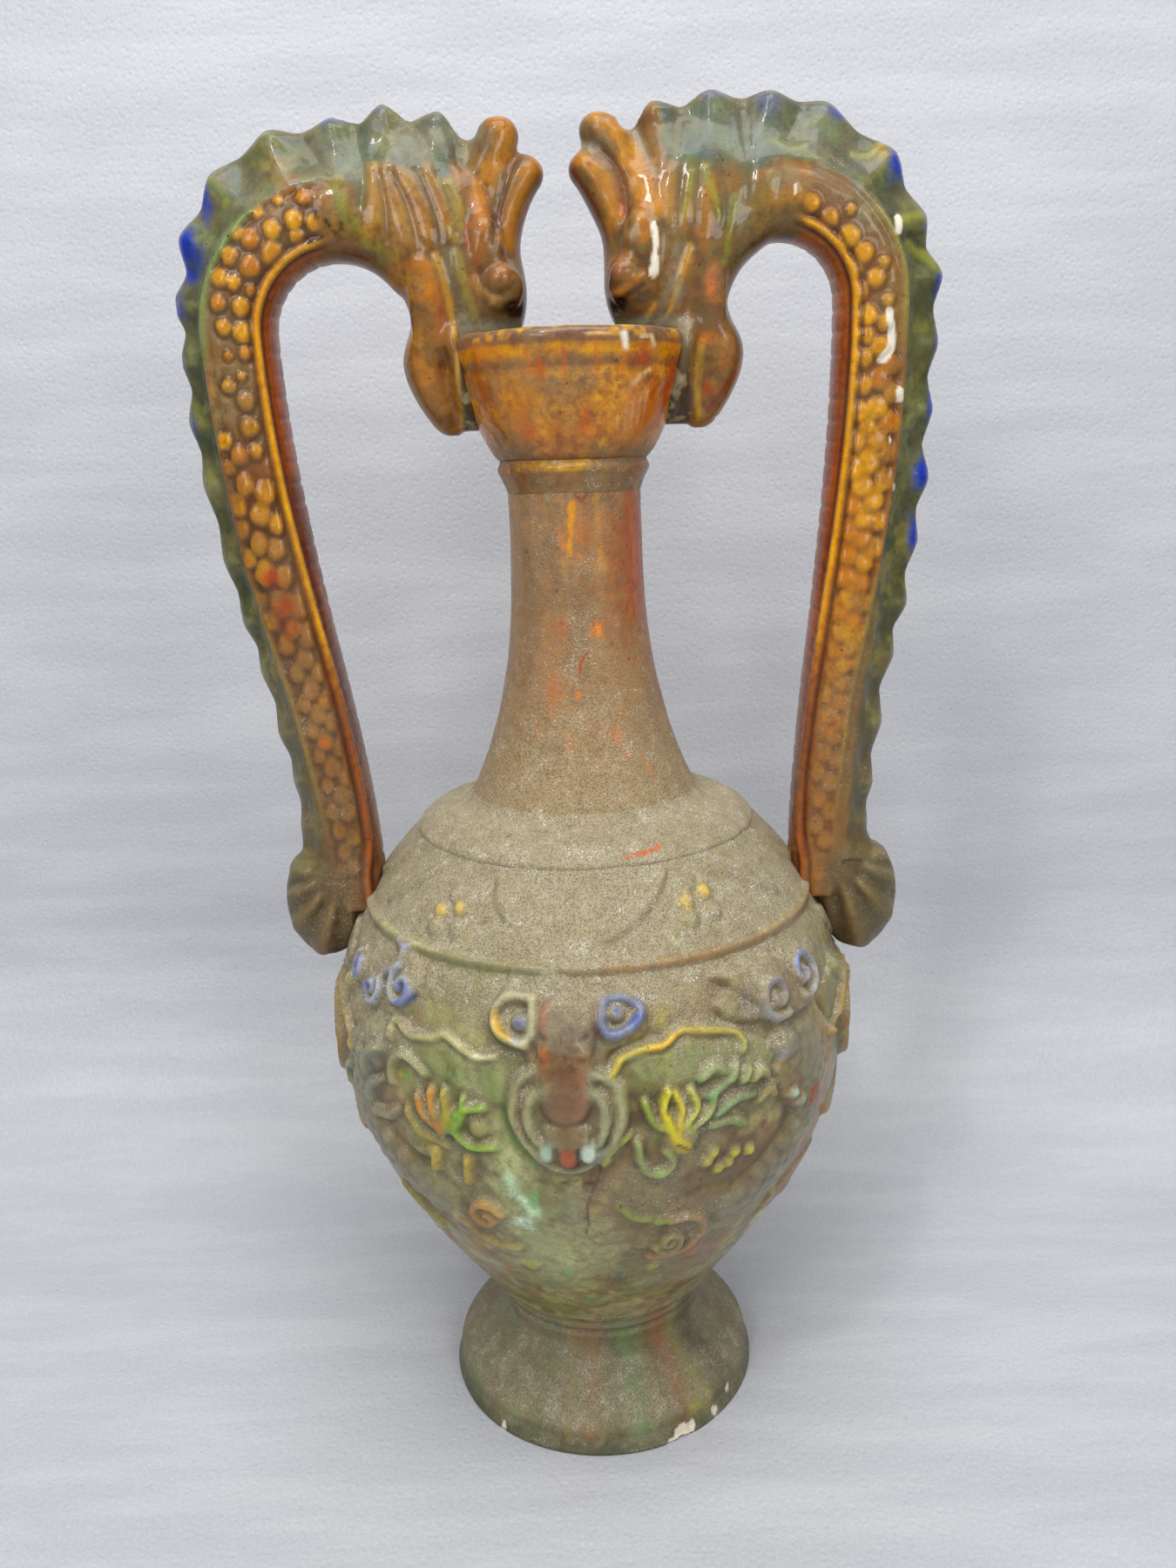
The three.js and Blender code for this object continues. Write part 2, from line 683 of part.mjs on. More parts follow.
function cloud(turn, mirror) {
  const puff = [[35, 78.2], [38, 82], [44, 80.4], [52, 82], [59, 82], [60, 77.7], [55, 75], [48, 73.6],
    [40, 74.4]];
  return sprig(turn, [
    { outline: smooth(puff, 13, mirror), height: ground },
    { outline: disc(40, 78.2, 2.2, mirror, 5), height: proud },
    { outline: disc(48, 77.4, 2, mirror, 5), height: proud },
    { outline: disc(56, 79, 2.2, mirror, 5), height: proud },
  ]);
}

function lowerCloud(turn, mirror) {
  return sprig(turn, [
    { outline: disc(22, 33.6, 5.2, mirror, 7), height: ground },
    { outline: disc(22, 33.6, 2.5, mirror, 5), height: proud },
    { outline: band([[16.5, 33.6], [18, 37.1], [23.5, 38.8], [28.5, 35.8]], 2, mirror, 3), height: ground },
  ]);
}

function dragonCoil(turn, mirror) {
  const spine = [[48, 67.3], [52.5, 60.8], [52, 52.1], [46, 44.5], [37, 39.6]];
  return sprig(turn, [
    { outline: band(spine, 7.1, mirror, 5), height: middle },
  ]);
}

const borderHeight = tailHeight + borderAboveTail;

function lappet(turn, halfTop, halfLow) {
  const low = (borderHeight + borderHalfWidth * 2 - bellyBase) / percent;
  return sprig(turn, [{
    outline: [[-halfTop, 98.4], [-halfLow, low], [halfLow, low], [halfTop, 98.4], [0, 99]],
    height: lappetProud,
  }]);
}

function floret(turn) {
  return sprig(turn, [
    { outline: disc(-3.2, 92.1, 2.2, 1, 6), height: middle },
    { outline: disc(3.2, 92.1, 2.2, 1, 6), height: middle },
    { outline: disc(0, 94.8, 2.2, 1, 6), height: middle },
    { outline: disc(0, 93, 1.6, 1, 6), height: middle },
  ]);
}

function borderRing() {
  const low = borderHeight - borderHalfWidth;
  const high = borderHeight + borderHalfWidth;
  return toSolid(ringProfile([
    [bellyRadiusAt(low) - 1, low],
    [bellyRadiusAt(low) + 0.6, low],
    [bellyRadiusAt(borderHeight) + ground, borderHeight],
    [bellyRadiusAt(high) + 0.6, high],
    [bellyRadiusAt(high) - 1, high],
  ])).subtract(grownBelly(seatGap));
}

function halfOf(facing) {
  const size = shoulderHeight * 3;
  const block = new THREE.BoxGeometry(size, size, size);
  block.translate(0, facing * (size / 2 + seatGap / 2), 0);
  return toSolid(block);
}

function sideLeaf(turn) {
  const outer = [[0, 69.5], [11, 69], [18, 65.2], [19.5, 58.6], [15, 51.6], [7, 46.1], [0, 43.9]];
  const left = outer.slice(1, -1).reverse().map(([a, share]) => [-a, share]);
  return sprig(turn, [
    { outline: smooth([...outer, ...left], 13), height: middle },
    { outline: disc(0, 58.6, 6.5), height: sideLeafProud },
    { outline: band([[-9, 66.2], [-15, 60.8], [-12, 53.7]], 2.2), height: sideLeafProud },
    { outline: band([[9, 66.2], [15, 60.8], [12, 53.7]], 2.2), height: sideLeafProud },
  ]);
}

// Glazes
const glazes = {
  amber: { color: 0xa8601c, roughness: 0.22 },
  dust: { color: 0x9c8f76, roughness: 0.6 },
  olive: { color: 0x5d6043, roughness: 0.35 },
  ochre: { color: 0xb98322, roughness: 0.3 },
  slate: { color: 0x6c7480, roughness: 0.45 },
  moss: { color: 0x76814a, roughness: 0.45 },
  footGreen: { color: 0x5f5f45, roughness: 0.5 },
};

const vase = new THREE.Group();

function addPiece(name, geometry, glaze) {
  const material = new THREE.MeshStandardMaterial({ ...glazes[glaze], metalness: 0 });
  const mesh = new THREE.Mesh(geometry, material);
  mesh.name = name;
  vase.add(mesh);
}

addPiece('foot', foot(), 'footGreen');
addPiece('lower_belly', lowerBelly(), 'dust');
addPiece('upper_belly', upperBelly(), 'dust');
addPiece('shoulder_collar', collar(), 'dust');
addPiece('neck', neck(), 'dust');
addPiece('neck_bead', neckBead(), 'amber');
addPiece('mouth_cup', mouthCup(), 'amber');

const grownHandles = [];

for (const [name, side] of [['left', -1], ['right', 1]]) {
  const bellySeat = grownBelly(seatGap);
  const grownBody = bodySolid(side, seatGap);
  const grownHead = headSolid(side, seatGap);
  grownHandles.push(grownBody, tailSolid(side, seatGap));
  const body = bodySolid(side, 0).subtract(bellySeat);
  const tail = tailSolid(side, 0).subtract(bellySeat).subtract(grownBody);
  const head = headSolid(side, 0).subtract(grownBody);
  const horn = hornSolid(side, 0).subtract(grownHead);
  const snout = snoutSolid(side, 0).subtract(grownHead).subtract(hornSolid(side, seatGap));
  const jaw = jawSolid(side).subtract(grownCup);
  addPiece(`${name}_dragon_body`, toGeometry(body), 'ochre');
  addPiece(`${name}_dragon_crest`, toGeometry(crestSolid(side)), 'olive');
  addPiece(`${name}_dragon_tail`, toGeometry(tail), 'olive');
  addPiece(`${name}_dragon_head`, toGeometry(head), 'amber');
  addPiece(`${name}_dragon_jaw`, toGeometry(jaw), 'amber');
  addPiece(`${name}_dragon_horn`, toGeometry(horn), 'ochre');
  addPiece(`${name}_dragon_snout`, toGeometry(snout), 'ochre');
  addPiece(`${name}_dragon_front_eye`, toGeometry(eyeSolid(side, -1)), 'amber');
  addPiece(`${name}_dragon_back_eye`, toGeometry(eyeSolid(side, 1)), 'amber');
}

function clearOfHandles(solid) {
  return grownHandles.reduce((rest, handle) => rest.subtract(handle), solid);
}

for (const [name, turn, facing] of [['front', 0, -1], ['back', 180, 1]]) {
  const centre = turn + maskTurn;
  addPiece(`${name}_mask`, toGeometry(mask(centre)), 'moss');
  addPiece(`${name}_lappet`, toGeometry(lappet(centre, 27, 11)), 'dust');
  const border = clearOfHandles(borderRing().intersect(halfOf(facing)));
  addPiece(`${name}_lappet_border`, toGeometry(border), 'olive');
  for (const [hand, mirror] of [['left', -1], ['right', 1]]) {
    addPiece(`${name}_${hand}_wing`, toGeometry(wing(centre, mirror)), 'moss');
    addPiece(`${name}_${hand}_claw`, toGeometry(claw(centre, mirror)), 'ochre');
    addPiece(`${name}_${hand}_cloud`, toGeometry(cloud(centre, mirror)), 'slate');
    addPiece(`${name}_${hand}_lower_cloud`, toGeometry(lowerCloud(centre, mirror)), 'ochre');
    addPiece(`${name}_${hand}_coil`, toGeometry(dragonCoil(centre, mirror)), 'slate');
    addPiece(`${name}_${hand}_floret`, toGeometry(floret(centre + mirror * 36)), 'ochre');
  }
}

for (const [name, turn] of [['left', -90], ['right', 90]]) {
  const leaf = clearOfHandles(sideLeaf(turn));
  addPiece(`${name}_side_leaf`, toGeometry(leaf), 'amber');
}

vase.updateMatrixWorld(true);

export default vase;
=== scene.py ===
import math

import bmesh
import bpy
import numpy as np
from mathutils import Matrix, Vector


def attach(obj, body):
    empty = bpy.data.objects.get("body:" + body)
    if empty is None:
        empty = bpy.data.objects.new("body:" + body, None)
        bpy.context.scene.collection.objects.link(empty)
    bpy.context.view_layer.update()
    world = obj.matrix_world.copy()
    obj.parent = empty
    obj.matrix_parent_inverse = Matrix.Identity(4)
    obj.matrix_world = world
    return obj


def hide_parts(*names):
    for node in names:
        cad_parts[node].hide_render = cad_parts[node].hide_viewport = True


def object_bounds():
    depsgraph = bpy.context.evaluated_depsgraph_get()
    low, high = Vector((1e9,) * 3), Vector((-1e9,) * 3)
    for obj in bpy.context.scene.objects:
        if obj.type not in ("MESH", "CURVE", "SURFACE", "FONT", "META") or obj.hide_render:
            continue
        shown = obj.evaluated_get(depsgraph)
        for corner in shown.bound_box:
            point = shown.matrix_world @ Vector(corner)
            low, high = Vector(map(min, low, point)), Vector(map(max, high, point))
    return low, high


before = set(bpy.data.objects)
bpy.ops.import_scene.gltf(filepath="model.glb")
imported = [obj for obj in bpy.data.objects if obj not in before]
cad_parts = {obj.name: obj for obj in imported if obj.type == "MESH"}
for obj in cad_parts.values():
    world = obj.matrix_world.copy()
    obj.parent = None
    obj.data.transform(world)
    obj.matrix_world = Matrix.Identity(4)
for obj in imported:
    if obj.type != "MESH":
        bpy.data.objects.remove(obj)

cadLow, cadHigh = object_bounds()
mm = 0.001
tiny, farOff = 1e-9, 1e9  # keep divisions safe, and start a search for the nearest

# Camera, matched to the photo: a phone held about 42 cm off, tilted down and rolled a little
photoCamera = {
    "place": (0.00123, -0.424, 0.3528), "tiltDown": 15.16, "roll": -1.95, "lens": 28.0, "sensorHeight": 36.0,
}


def addCamera(look):
    lensData = bpy.data.cameras.new("photoCamera")
    lensData.sensor_fit = "VERTICAL"
    lensData.sensor_height = look["sensorHeight"]
    lensData.lens = look["lens"]
    lensData.clip_start = 0.01
    camera = bpy.data.objects.new("photoCamera", lensData)
    bpy.context.scene.collection.objects.link(camera)
    tilt = Matrix.Rotation(math.radians(90 - look["tiltDown"]), 4, "X")
    roll = Matrix.Rotation(math.radians(look["roll"]), 4, "Z")
    camera.matrix_world = Matrix.Translation(look["place"]) @ tilt @ roll
    bpy.context.scene.camera = camera


addCamera(photoCamera)
print("camera set")


# Small maths helpers on arrays

def ramp(value, low, high):
    t = np.clip((value - low) / (high - low), 0, 1)
    return t * t * (3 - 2 * t)


def hump(value, middle, width):  # 1 at the middle, fading on both sides
    return np.exp(-((value - middle) / width) ** 2)


def grain(points, size, seed):  # smooth value noise from 0 to 1 at points in mm
    place = points / size
    cell = np.floor(place).astype(np.int64)
    part = place - cell
    part = part * part * (3 - 2 * part)
    total = np.zeros(len(points))
    for corner in range(8):
        step = np.array([corner & 1, corner >> 1 & 1, corner >> 2 & 1])
        spot = cell + step
        code = spot[:, 0] * 73856093 ^ spot[:, 1] * 19349663 ^ spot[:, 2] * 83492791 ^ (seed * 7919 + 17)
        code = (code ^ (code >> 13)) * 1274126177 & 0x7FFFFFFF
        value = ((code ^ (code >> 16)) & 0xFFFF) / 65535.0
        weight = np.prod(np.where(step, part, 1 - part), axis=1)
        total += value * weight
    return total


def cloudy(points, size, seed):  # three octaves of the same noise
    return (grain(points, size, seed) * 4 + grain(points, size / 2.1, seed + 1) * 2
        + grain(points, size / 4.3, seed + 2)) / 7


def rgb(red, green, blue):  # a colour as a screen shows it, 0 to 255, to linear light
    shown = np.array([red, green, blue]) / 255.0
    return np.where(shown <= 0.04045, shown / 12.92, ((shown + 0.055) / 1.055) ** 2.4)


def colour(red, green, blue):  # the same as plain numbers, for a node's socket
    return tuple(float(part) for part in rgb(red, green, blue))


def pairs(line):  # lines are written as across, up, across, up and so on
    return list(zip(line[::2], line[1::2])) if np.ndim(line[0]) == 0 else line


def spline(points, count):  # Catmull-Rom through the points
    line = np.array(pairs(points), float)
    padded = np.vstack([2 * line[0] - line[1], line, 2 * line[-1] - line[-2]])
    places = np.linspace(0, len(line) - 1, count)
    first = np.minimum(places.astype(int), len(line) - 2)
    t = (places - first)[:, None]
    a, b, c, d = padded[first], padded[first + 1], padded[first + 2], padded[first + 3]
    return 0.5 * (2 * b + (c - a) * t + (2 * a - 5 * b + 4 * c - d) * t ** 2 + (3 * b - a - 3 * c + d) * t ** 3)


# A surface to work on: each vertex has a place across and up it, a height of clay and a glaze colour

class Clay:
    def __init__(self, across, up, stretch, points, glaze):
        self.across, self.up, self.stretch, self.points = across, up, stretch, points
        self.plate = np.zeros(len(up))
        self.detail = np.zeros(len(up))
        self.paint = np.tile(glaze, (len(up), 1)).astype(float)
        self.wet = np.zeros(len(up))
        self.chip = np.zeros(len(up))
        self.ragged = cloudy(points, 3.2, 5) - 0.5
        self.turn = 0.0

    def offset(self, a):  # degrees or mm from a point across, the short way round
        gap = self.across - a - self.turn
        if np.ndim(self.stretch):
            gap = (gap + 180) % 360 - 180
        return gap * self.stretch

    def nearLine(self, points, reach, closed=False):  # distance to a line, and how far along it
        points = pairs(points)
        line = list(points) + ([points[0]] if closed else [])
        best = np.full(len(self.up), farOff)
        along = np.zeros(len(self.up))
        size = len(line) - 1
        for i in range(size):
            (a0, z0), (a1, z1) = line[i], line[i + 1]
            near = np.abs(self.up - (z0 + z1) / 2) < abs(z1 - z0) / 2 + reach
            picked = np.nonzero(near)[0]
            if not len(picked):
                continue
            x0 = self.offset(a0)[picked]
            span = (a1 - a0) * (self.stretch[picked] if np.ndim(self.stretch) else self.stretch)
            rise = z1 - z0
            y0 = self.up[picked] - z0
            t = np.clip((x0 * span + y0 * rise) / np.maximum(span ** 2 + rise ** 2, tiny), 0, 1)
            gap = np.hypot(x0 - t * span, y0 - t * rise)
            closer = gap < best[picked]
            best[picked[closer]] = gap[closer]
            along[picked[closer]] = (i + t[closer]) / size
        return best, along

    def dab(self, mask, shade, wet=0.0):
        mask = np.clip(mask, 0, 1)
        self.paint += (rgb(*shade) - self.paint) * mask[:, None]
        self.wet = np.maximum(self.wet, mask * wet)

    def tint(self, gap, width, shade, strength=1.0, wet=0.0, soft=0.7):
        mask = 1 - ramp(gap / width + self.ragged * 1.1, 1 - soft, 1 + soft * 0.35)
        self.dab(mask * min(strength * 1.15, 1), shade, min(wet * 1.8 + 0.1, 1))

    def bead(self, points, width, height, shade=None, strength=0.8, wet=0.3, closed=False, steps=0, taper=0.0):
        line = spline(points, steps) if steps else points
        gap, along = self.nearLine(line, width * 2.2, closed)
        wide = width * (1 - taper * np.abs(2 * along - 1) ** 3)
        swell = height * np.clip(1 - (gap / np.maximum(wide * 1.3, 0.1)) ** 2, 0, 1) ** 1.8
        self.detail = np.where(swell > 0, np.maximum(self.detail, swell), self.detail)
        if shade is not None:
            self.tint(gap, width * 1.05, shade, strength, wet)

    def groove(self, points, width, depth, shade=None, strength=0.7, steps=0):
        line = spline(points, steps) if steps else points
        gap, _ = self.nearLine(line, width * 2)
        self.detail -= depth * np.clip(1 - (gap / width) ** 2, 0, 1)
        if shade is not None:
            self.tint(gap, width, shade, strength)

    def dome(self, a, z, wide, tall, height, shade=None, strength=0.8, wet=0.3, sharp=0.75):
        gap = np.hypot(self.offset(a) / wide, (self.up - z) / tall)
        swell = height * np.clip(1 - gap ** 2, 0, 1) ** sharp
        self.detail = np.where(swell > 0, np.maximum(self.detail, swell), self.detail)
        if shade is not None:
            self.tint(gap, 1.0, shade, strength, wet)

    def pit(self, a, z, wide, tall, depth, shade=None, strength=0.8):
        gap = np.hypot(self.offset(a) / wide, (self.up - z) / tall)
        self.detail -= depth * np.clip(1 - gap ** 2, 0, 1)
        if shade is not None:
            self.tint(gap, 1.0, shade, strength, 0.2)

    def slab(self, points, height, soft, shade=None, strength=0.5, wet=0.0, steps=0):
        points = pairs(points)
        outline = [tuple(p) for p in (spline(list(points) + [points[0]], steps)[:-1] if steps else points)]
        gap, _ = self.nearLine(outline, soft * 3, closed=True)
        inside = np.zeros(len(self.up), bool)
        for i, (a0, z0) in enumerate(outline):
            a1, z1 = outline[(i + 1) % len(outline)]
            if z0 == z1:
                continue
            crosses = (self.up > z0) != (self.up > z1)
            reach = self.offset(a0) - (self.up - z0) / (z1 - z0) * (a1 - a0) * self.stretch
            inside ^= crosses & (reach < 0) & (reach > -200)
        deep = np.where(inside, gap, -gap)
        self.plate = np.maximum(self.plate, height * ramp(deep, -soft * 0.5, soft))
        if shade is not None:
            self.dab(ramp(deep + self.ragged * 4, -soft * 0.4, soft * 0.8) * strength, shade, wet)

    def spot(self, a, z, wide, tall, shade, strength=0.8, wet=0.0):
        self.tint(np.hypot(self.offset(a) / wide, (self.up - z) / tall), 1.0, shade, strength, wet, 0.9)

    def run(self, points, width, shade, strength=0.7, wet=0.2):
        gap, _ = self.nearLine(points, width * 2)
        self.tint(gap, width, shade, strength, wet, 0.9)

    def blots(self, squash, rows, share=1.0):  # cloudy patches: size, seed, from, to, strength, shade, wet
        points = self.points * np.array([1, 1, squash])
        for size, seed, low, high, strength, *finish in rows:
            self.dab(share * ramp(cloudy(points, size, seed), low, high) * strength, *finish)

    def spots(self, rows):
        for row in rows:
            self.spot(*row)

    def runs(self, rows):
        for row in rows:
            self.run(*row)

    def domes(self, rows):
        for row in rows:
            self.dome(*row)

    def clay(self):
        return self.plate + self.detail


def blur(values, neighbours, times):
    low, high = neighbours
    count = np.bincount(low, minlength=len(values)) + np.bincount(high, minlength=len(values))
    count = np.maximum(count, 1)
    for _ in range(times):
        total = np.bincount(low, values[high], len(values)) + np.bincount(high, values[low], len(values))
        values = values * 0.3 + total / count * 0.7
    return values


def makePiece(name, points, faces, layers, nodes, material, normals=None):
    points[:, 2] = np.maximum(points[:, 2], vase["clear"])
    mesh = bpy.data.meshes.new(name)
    mesh.from_pydata([tuple(p) for p in points * mm], [], faces)
    mesh.polygons.foreach_set("use_smooth", np.ones(len(mesh.polygons), bool))
    for layer, values in layers.items():
        if values.ndim == 2:
            slotOf = mesh.attributes.new(layer, "FLOAT_COLOR", "POINT")
            slotOf.data.foreach_set("color",
                np.hstack([values, np.ones((len(values), 1))]).ravel().astype(np.float32))
        else:
            slotOf = mesh.attributes.new(layer, "FLOAT", "POINT")
            slotOf.data.foreach_set("value", values.astype(np.float32))
    mesh.materials.append(material)
    mesh.update()
    if normals is not None:
        mesh.normals_split_custom_set_from_vertices([tuple(n) for n in normals])
    piece = bpy.data.objects.new(name, mesh)
    bpy.context.scene.collection.objects.link(piece)
    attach(piece, "root")
    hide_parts(*nodes)
    print("made", name, len(points), "points")


# Shader sockets as numbers: + - * make Math nodes

class Flow:
    def __init__(self, tree, socket):
        self.tree, self.socket = tree, socket

    def node(self, kind, settings, sockets, out=0):
        made = self.tree.nodes.new(kind)
        for key, value in settings.items():
            if key == "stops":
                stops = made.color_ramp.elements
                while len(stops) < len(value):
                    stops.new(0.5)
                for stop, (place, colour) in zip(stops, value):
                    stop.position, stop.color = place, (*colour, 1.0)
            else:
                setattr(made, key, value)
        for key, value in sockets.items():
            if isinstance(value, Flow):
                self.tree.links.new(value.socket, made.inputs[key])
            else:
                made.inputs[key].default_value = value
        return Flow(self.tree, made.outputs[out])

    def maths(self, operation, first, second=0.0, clip=False):
        return self.node("ShaderNodeMath", {"operation": operation, "use_clamp": clip}, {0: first, 1: second})

    def __add__(self, other):
        return self.maths("ADD", self, other)

    def __sub__(self, other):
        return self.maths("SUBTRACT", self, other)

    def __rsub__(self, other):
        return self.maths("SUBTRACT", other, self)

    def __mul__(self, other):
        return self.maths("MULTIPLY", self, other)

    __radd__ = __add__
    __rmul__ = __mul__

    def clip(self):
        return self.maths("ADD", self, 0.0, True)

    def between(self, low, high):  # smooth step from 0 at low to 1 at high
        return self.node("ShaderNodeMapRange", {"interpolation_type": "SMOOTHSTEP"}, {0: self, 1: low, 2: high})

    def attribute(self, name, out):
        return self.node("ShaderNodeAttribute", {"attribute_name": name}, {}, out)

    def mix(self, first, second, share, blend="MIX"):
        colours = [value if isinstance(value, Flow) else (*value, 1.0) for value in (first, second)]
        return self.node("ShaderNodeMix", {"data_type": "RGBA", "blend_type": blend},
            {0: share, 6: colours[0], 7: colours[1]}, 2)

    def noise(self, place, scale, detail=3.0, rough=0.55):
        return self.node("ShaderNodeTexNoise", {},
            {"Vector": place, "Scale": scale, "Detail": detail, "Roughness": rough})

    def cells(self, place, scale, out=0):
        return self.node("ShaderNodeTexVoronoi", {"feature": "F1"}, {"Vector": place, "Scale": scale}, out)

    def stretched(self, place, amounts):
        return self.node("ShaderNodeVectorMath", {"operation": "MULTIPLY"}, {0: place, 1: amounts})


clayColour = colour(226, 216, 196)


def glazeMaterial(name, look):
    material = bpy.data.materials.new(name)
    material.use_nodes = True
    tree = material.node_tree
    tree.nodes.clear()
    flow = Flow(tree, None)
    place = flow.node("ShaderNodeTexCoord", {}, {}, "Object")
    glaze = flow.attribute("glaze", "Color")
    film = flow.attribute("film", "Fac")
    pool = flow.attribute("pool", "Fac")
    ridge = flow.attribute("ridge", "Fac")
    chip = flow.attribute("chip", "Fac")

    # The glaze itself: mottled at three sizes, thin and bright on the ridges, dark in the hollows with pooled glaze
    # and painted shade
    thin = flow.mix(glaze, look["lift"], 1.0, "MULTIPLY")
    deep = flow.mix(glaze, look["sink"], 1.0, "MULTIPLY")
    wide = flow.noise(place, 70.0, 3.0, 0.6)
    mottle = flow.noise(place, 330.0, 4.0, 0.68)
    fine = flow.noise(place, 1250.0, 2.0, 0.6)
    runs = flow.noise(flow.stretched(place, (1.0, 1.0, 0.13)), 170.0, 3.0)
    blotches = mottle.between(0.48, 0.62) * (0.35 + 0.65 * wide.between(0.35, 0.6))
    body = flow.mix(glaze, deep, ((blotches + fine.between(0.5, 0.66) * 0.45) * look["mottle"]).clip())
    body = flow.mix(body, thin, (mottle.between(0.48, 0.36) * wide.between(0.42, 0.56) * look["thinShare"]).clip())
    body = flow.mix(body, deep, (runs.between(0.52, 0.68) * look["runs"]).clip())
    body = flow.mix(body, thin, (ridge * look["ridge"]).clip())
    # Painted shade: hollows and creases are darkened here, partly glaze pooled in them and partly shade
    body = flow.mix(body, flow.mix(deep, look["pool"], 0.5), (pool * look["poolAndShadeShare"]).clip())
    specks = flow.cells(place, look["speckScale"]).between(0.17, 0.06) * flow.noise(place, 210.0, 2.0).between(0.5,
        0.6)
    body = flow.mix(body, look["speck"], (specks * look["specks"]).clip())

    # Dust that has settled on it, crusted in patches; painted glints make some grains near white and lighten the
    # crusted patches a little
    crust = flow.noise(place, 150.0, 5.0, 0.75)
    crustAndGlint = crust.between(0.5, 0.62)
    settled = (film * (1.0 + (mottle - 0.5) * 2.4 + (fine - 0.5) * 2.4 + (crust - 0.5) * 1.6)).clip()
    dingy = (crust.between(0.5, 0.36) * mottle.between(0.4, 0.6)).clip() * 0.7
    dust = flow.mix(look["dust"], flow.mix(look["dust"], look["grime"], 0.4), dingy)
    dust = flow.mix(dust, look["glint"], crustAndGlint * 0.05)
    dusty = flow.mix(body, dust, settled)
    grit = flow.cells(place, look["grainScale"])
    grains = grit.between(0.5, 0.25)
    picked = flow.node("ShaderNodeTexWhiteNoise", {}, {"Vector": flow.cells(place, look["grainScale"], out=2)})
    dusty = flow.mix(dusty, look["grime"], (grains * picked.between(0.34, 0.3) * settled * look["grimes"]).clip())
    # Painted glints: picked grains on the dust are painted near white as highlights
    lit = grains * (picked + crustAndGlint * 0.1).between(0.8, 0.84) * film.between(0.1, 0.55) * (0.35 + 0.65 * crustAndGlint)
    dusty = flow.mix(dusty, look["glint"], (lit * look["glints"]).clip())

    # Bare clay where the glaze missed or chipped
    bare = flow.mix(dusty, clayColour, chip)

    rough = (look["gloss"] + settled * look["mattness"] + chip * 0.5 + (fine - 0.5) * 0.15).clip()
    bumps = fine * (0.12 + 0.4 * settled) + mottle * 0.5 + grains * settled * look["grit"] - pool * 0.15
    bump = flow.node("ShaderNodeBump", {}, {"Strength": look["bump"], "Distance": 0.0006, "Height": bumps})

    shader = tree.nodes.new("ShaderNodeBsdfPrincipled")
    shader.inputs["IOR"].default_value = 1.5
    shader.inputs["Coat Roughness"].default_value = look["coatRough"]
    shader.inputs["Coat IOR"].default_value = 1.5
    shader.inputs["Specular IOR Level"].default_value = look["specular"]
    coat = ((1 - settled * 1.7).clip() * (1 - chip) * look["coat"]).clip()
    for key, value in {"Base Color": bare, "Roughness": rough, "Coat Weight": coat, "Normal": bump}.items():
        tree.links.new(value.socket, shader.inputs[key])
    output = tree.nodes.new("ShaderNodeOutputMaterial")
    tree.links.new(shader.outputs[0], output.inputs[0])
    return material


# Glaze recipes. The colour itself comes from each piece's painted surface.
dustyGlaze = {
    "lift": (1.5, 1.5, 1.3), "sink": (0.46, 0.4, 0.34), "pool": colour(40, 28, 18), "speck": colour(44, 30, 20),
    "dust": colour(168, 156, 126), "glint": colour(252, 250, 244), "grime": colour(70, 56, 38), "mottle": 0.62,
    "thinShare": 0.5, "runs": 0.3, "ridge": 0.45, "poolAndShadeShare": 0.7, "specks": 0.7, "speckScale": 260.0,
    "grainScale": 1600.0, "glints": 0.95, "grimes": 0.4, "gloss": 0.3, "mattness": 0.45, "grit": 0.8, "bump": 0.7,
    "coat": 0.4, "coatRough": 0.1, "specular": 0.25,
}
amberGlaze = {
    **dustyGlaze, "lift": (1.4, 1.6, 1.0), "sink": (0.5, 0.32, 0.24), "pool": colour(44, 18, 8),
    "dust": colour(140, 118, 86), "mottle": 0.55, "thinShare": 0.6, "runs": 0.35, "ridge": 0.4, "poolAndShadeShare": 0.6,
    "specks": 0.8, "glints": 0.35, "grimes": 0.3, "gloss": 0.22, "coat": 0.4, "coatRough": 0.04, "grit": 0.3,
    "bump": 0.4, "specular": 0.2,
}
handleGlaze = {
    **amberGlaze, "lift": (1.35, 1.5, 1.1), "sink": (0.5, 0.38, 0.3), "mottle": 0.5, "thinShare": 0.45, "runs": 0.2,
    "ridge": 0.25, "glints": 0.6, "poolAndShadeShare": 0.5, "coat": 0.26, "gloss": 0.27,
}
footGlaze = {**dustyGlaze, "runs": 0.5, "mottle": 0.5, "glints": 0.6, "dust": colour(156, 146, 118), "coat": 0.3}


# Shapes of the thrown pieces in mm, as the CAD has them.
# Points round each thrown piece, then mm: wall, cup's wall, unevenness, deepest and highest relief, clearance
vase = {
    "around": 640, "wall": 5.5, "cupWall": 4.6, "uneven": 0.22, "deepest": -3.0, "highest": 5.6, "clear": 0.05,
    "farthest": 96.1,
}


def footRadiusAt(z):
    rimPart = 59.5 - 2.5 * z / 6
    along = np.clip((z - 6) / 25, 0, 1)
    flare = 39 + 18 * (1 + np.cos(np.pi * along)) / 2
    top = 39 + (z - 31) * 2 / 13
    return np.where(z <= 6, rimPart, np.where(z >= 31, top, flare))


def bellyRadiusAt(z):
    low = 43 + 49 * np.sin(np.clip((z - 44.3) / 107.7, 0, 1) * np.pi / 2)
    high = 92 - 35 * np.clip((z - 152) / 76, 0, 1) ** 2.2
    return np.where(z < 152, low, high)


def neckRadiusAt(z):
    return 22.4 + 17.6 * ((343 - z) / 105.4) ** 3


def cupRadiusAt(z):
    return 24.5 + 13.5 * np.clip((z - 351.1) / 26.9, 0, 1) ** 0.75


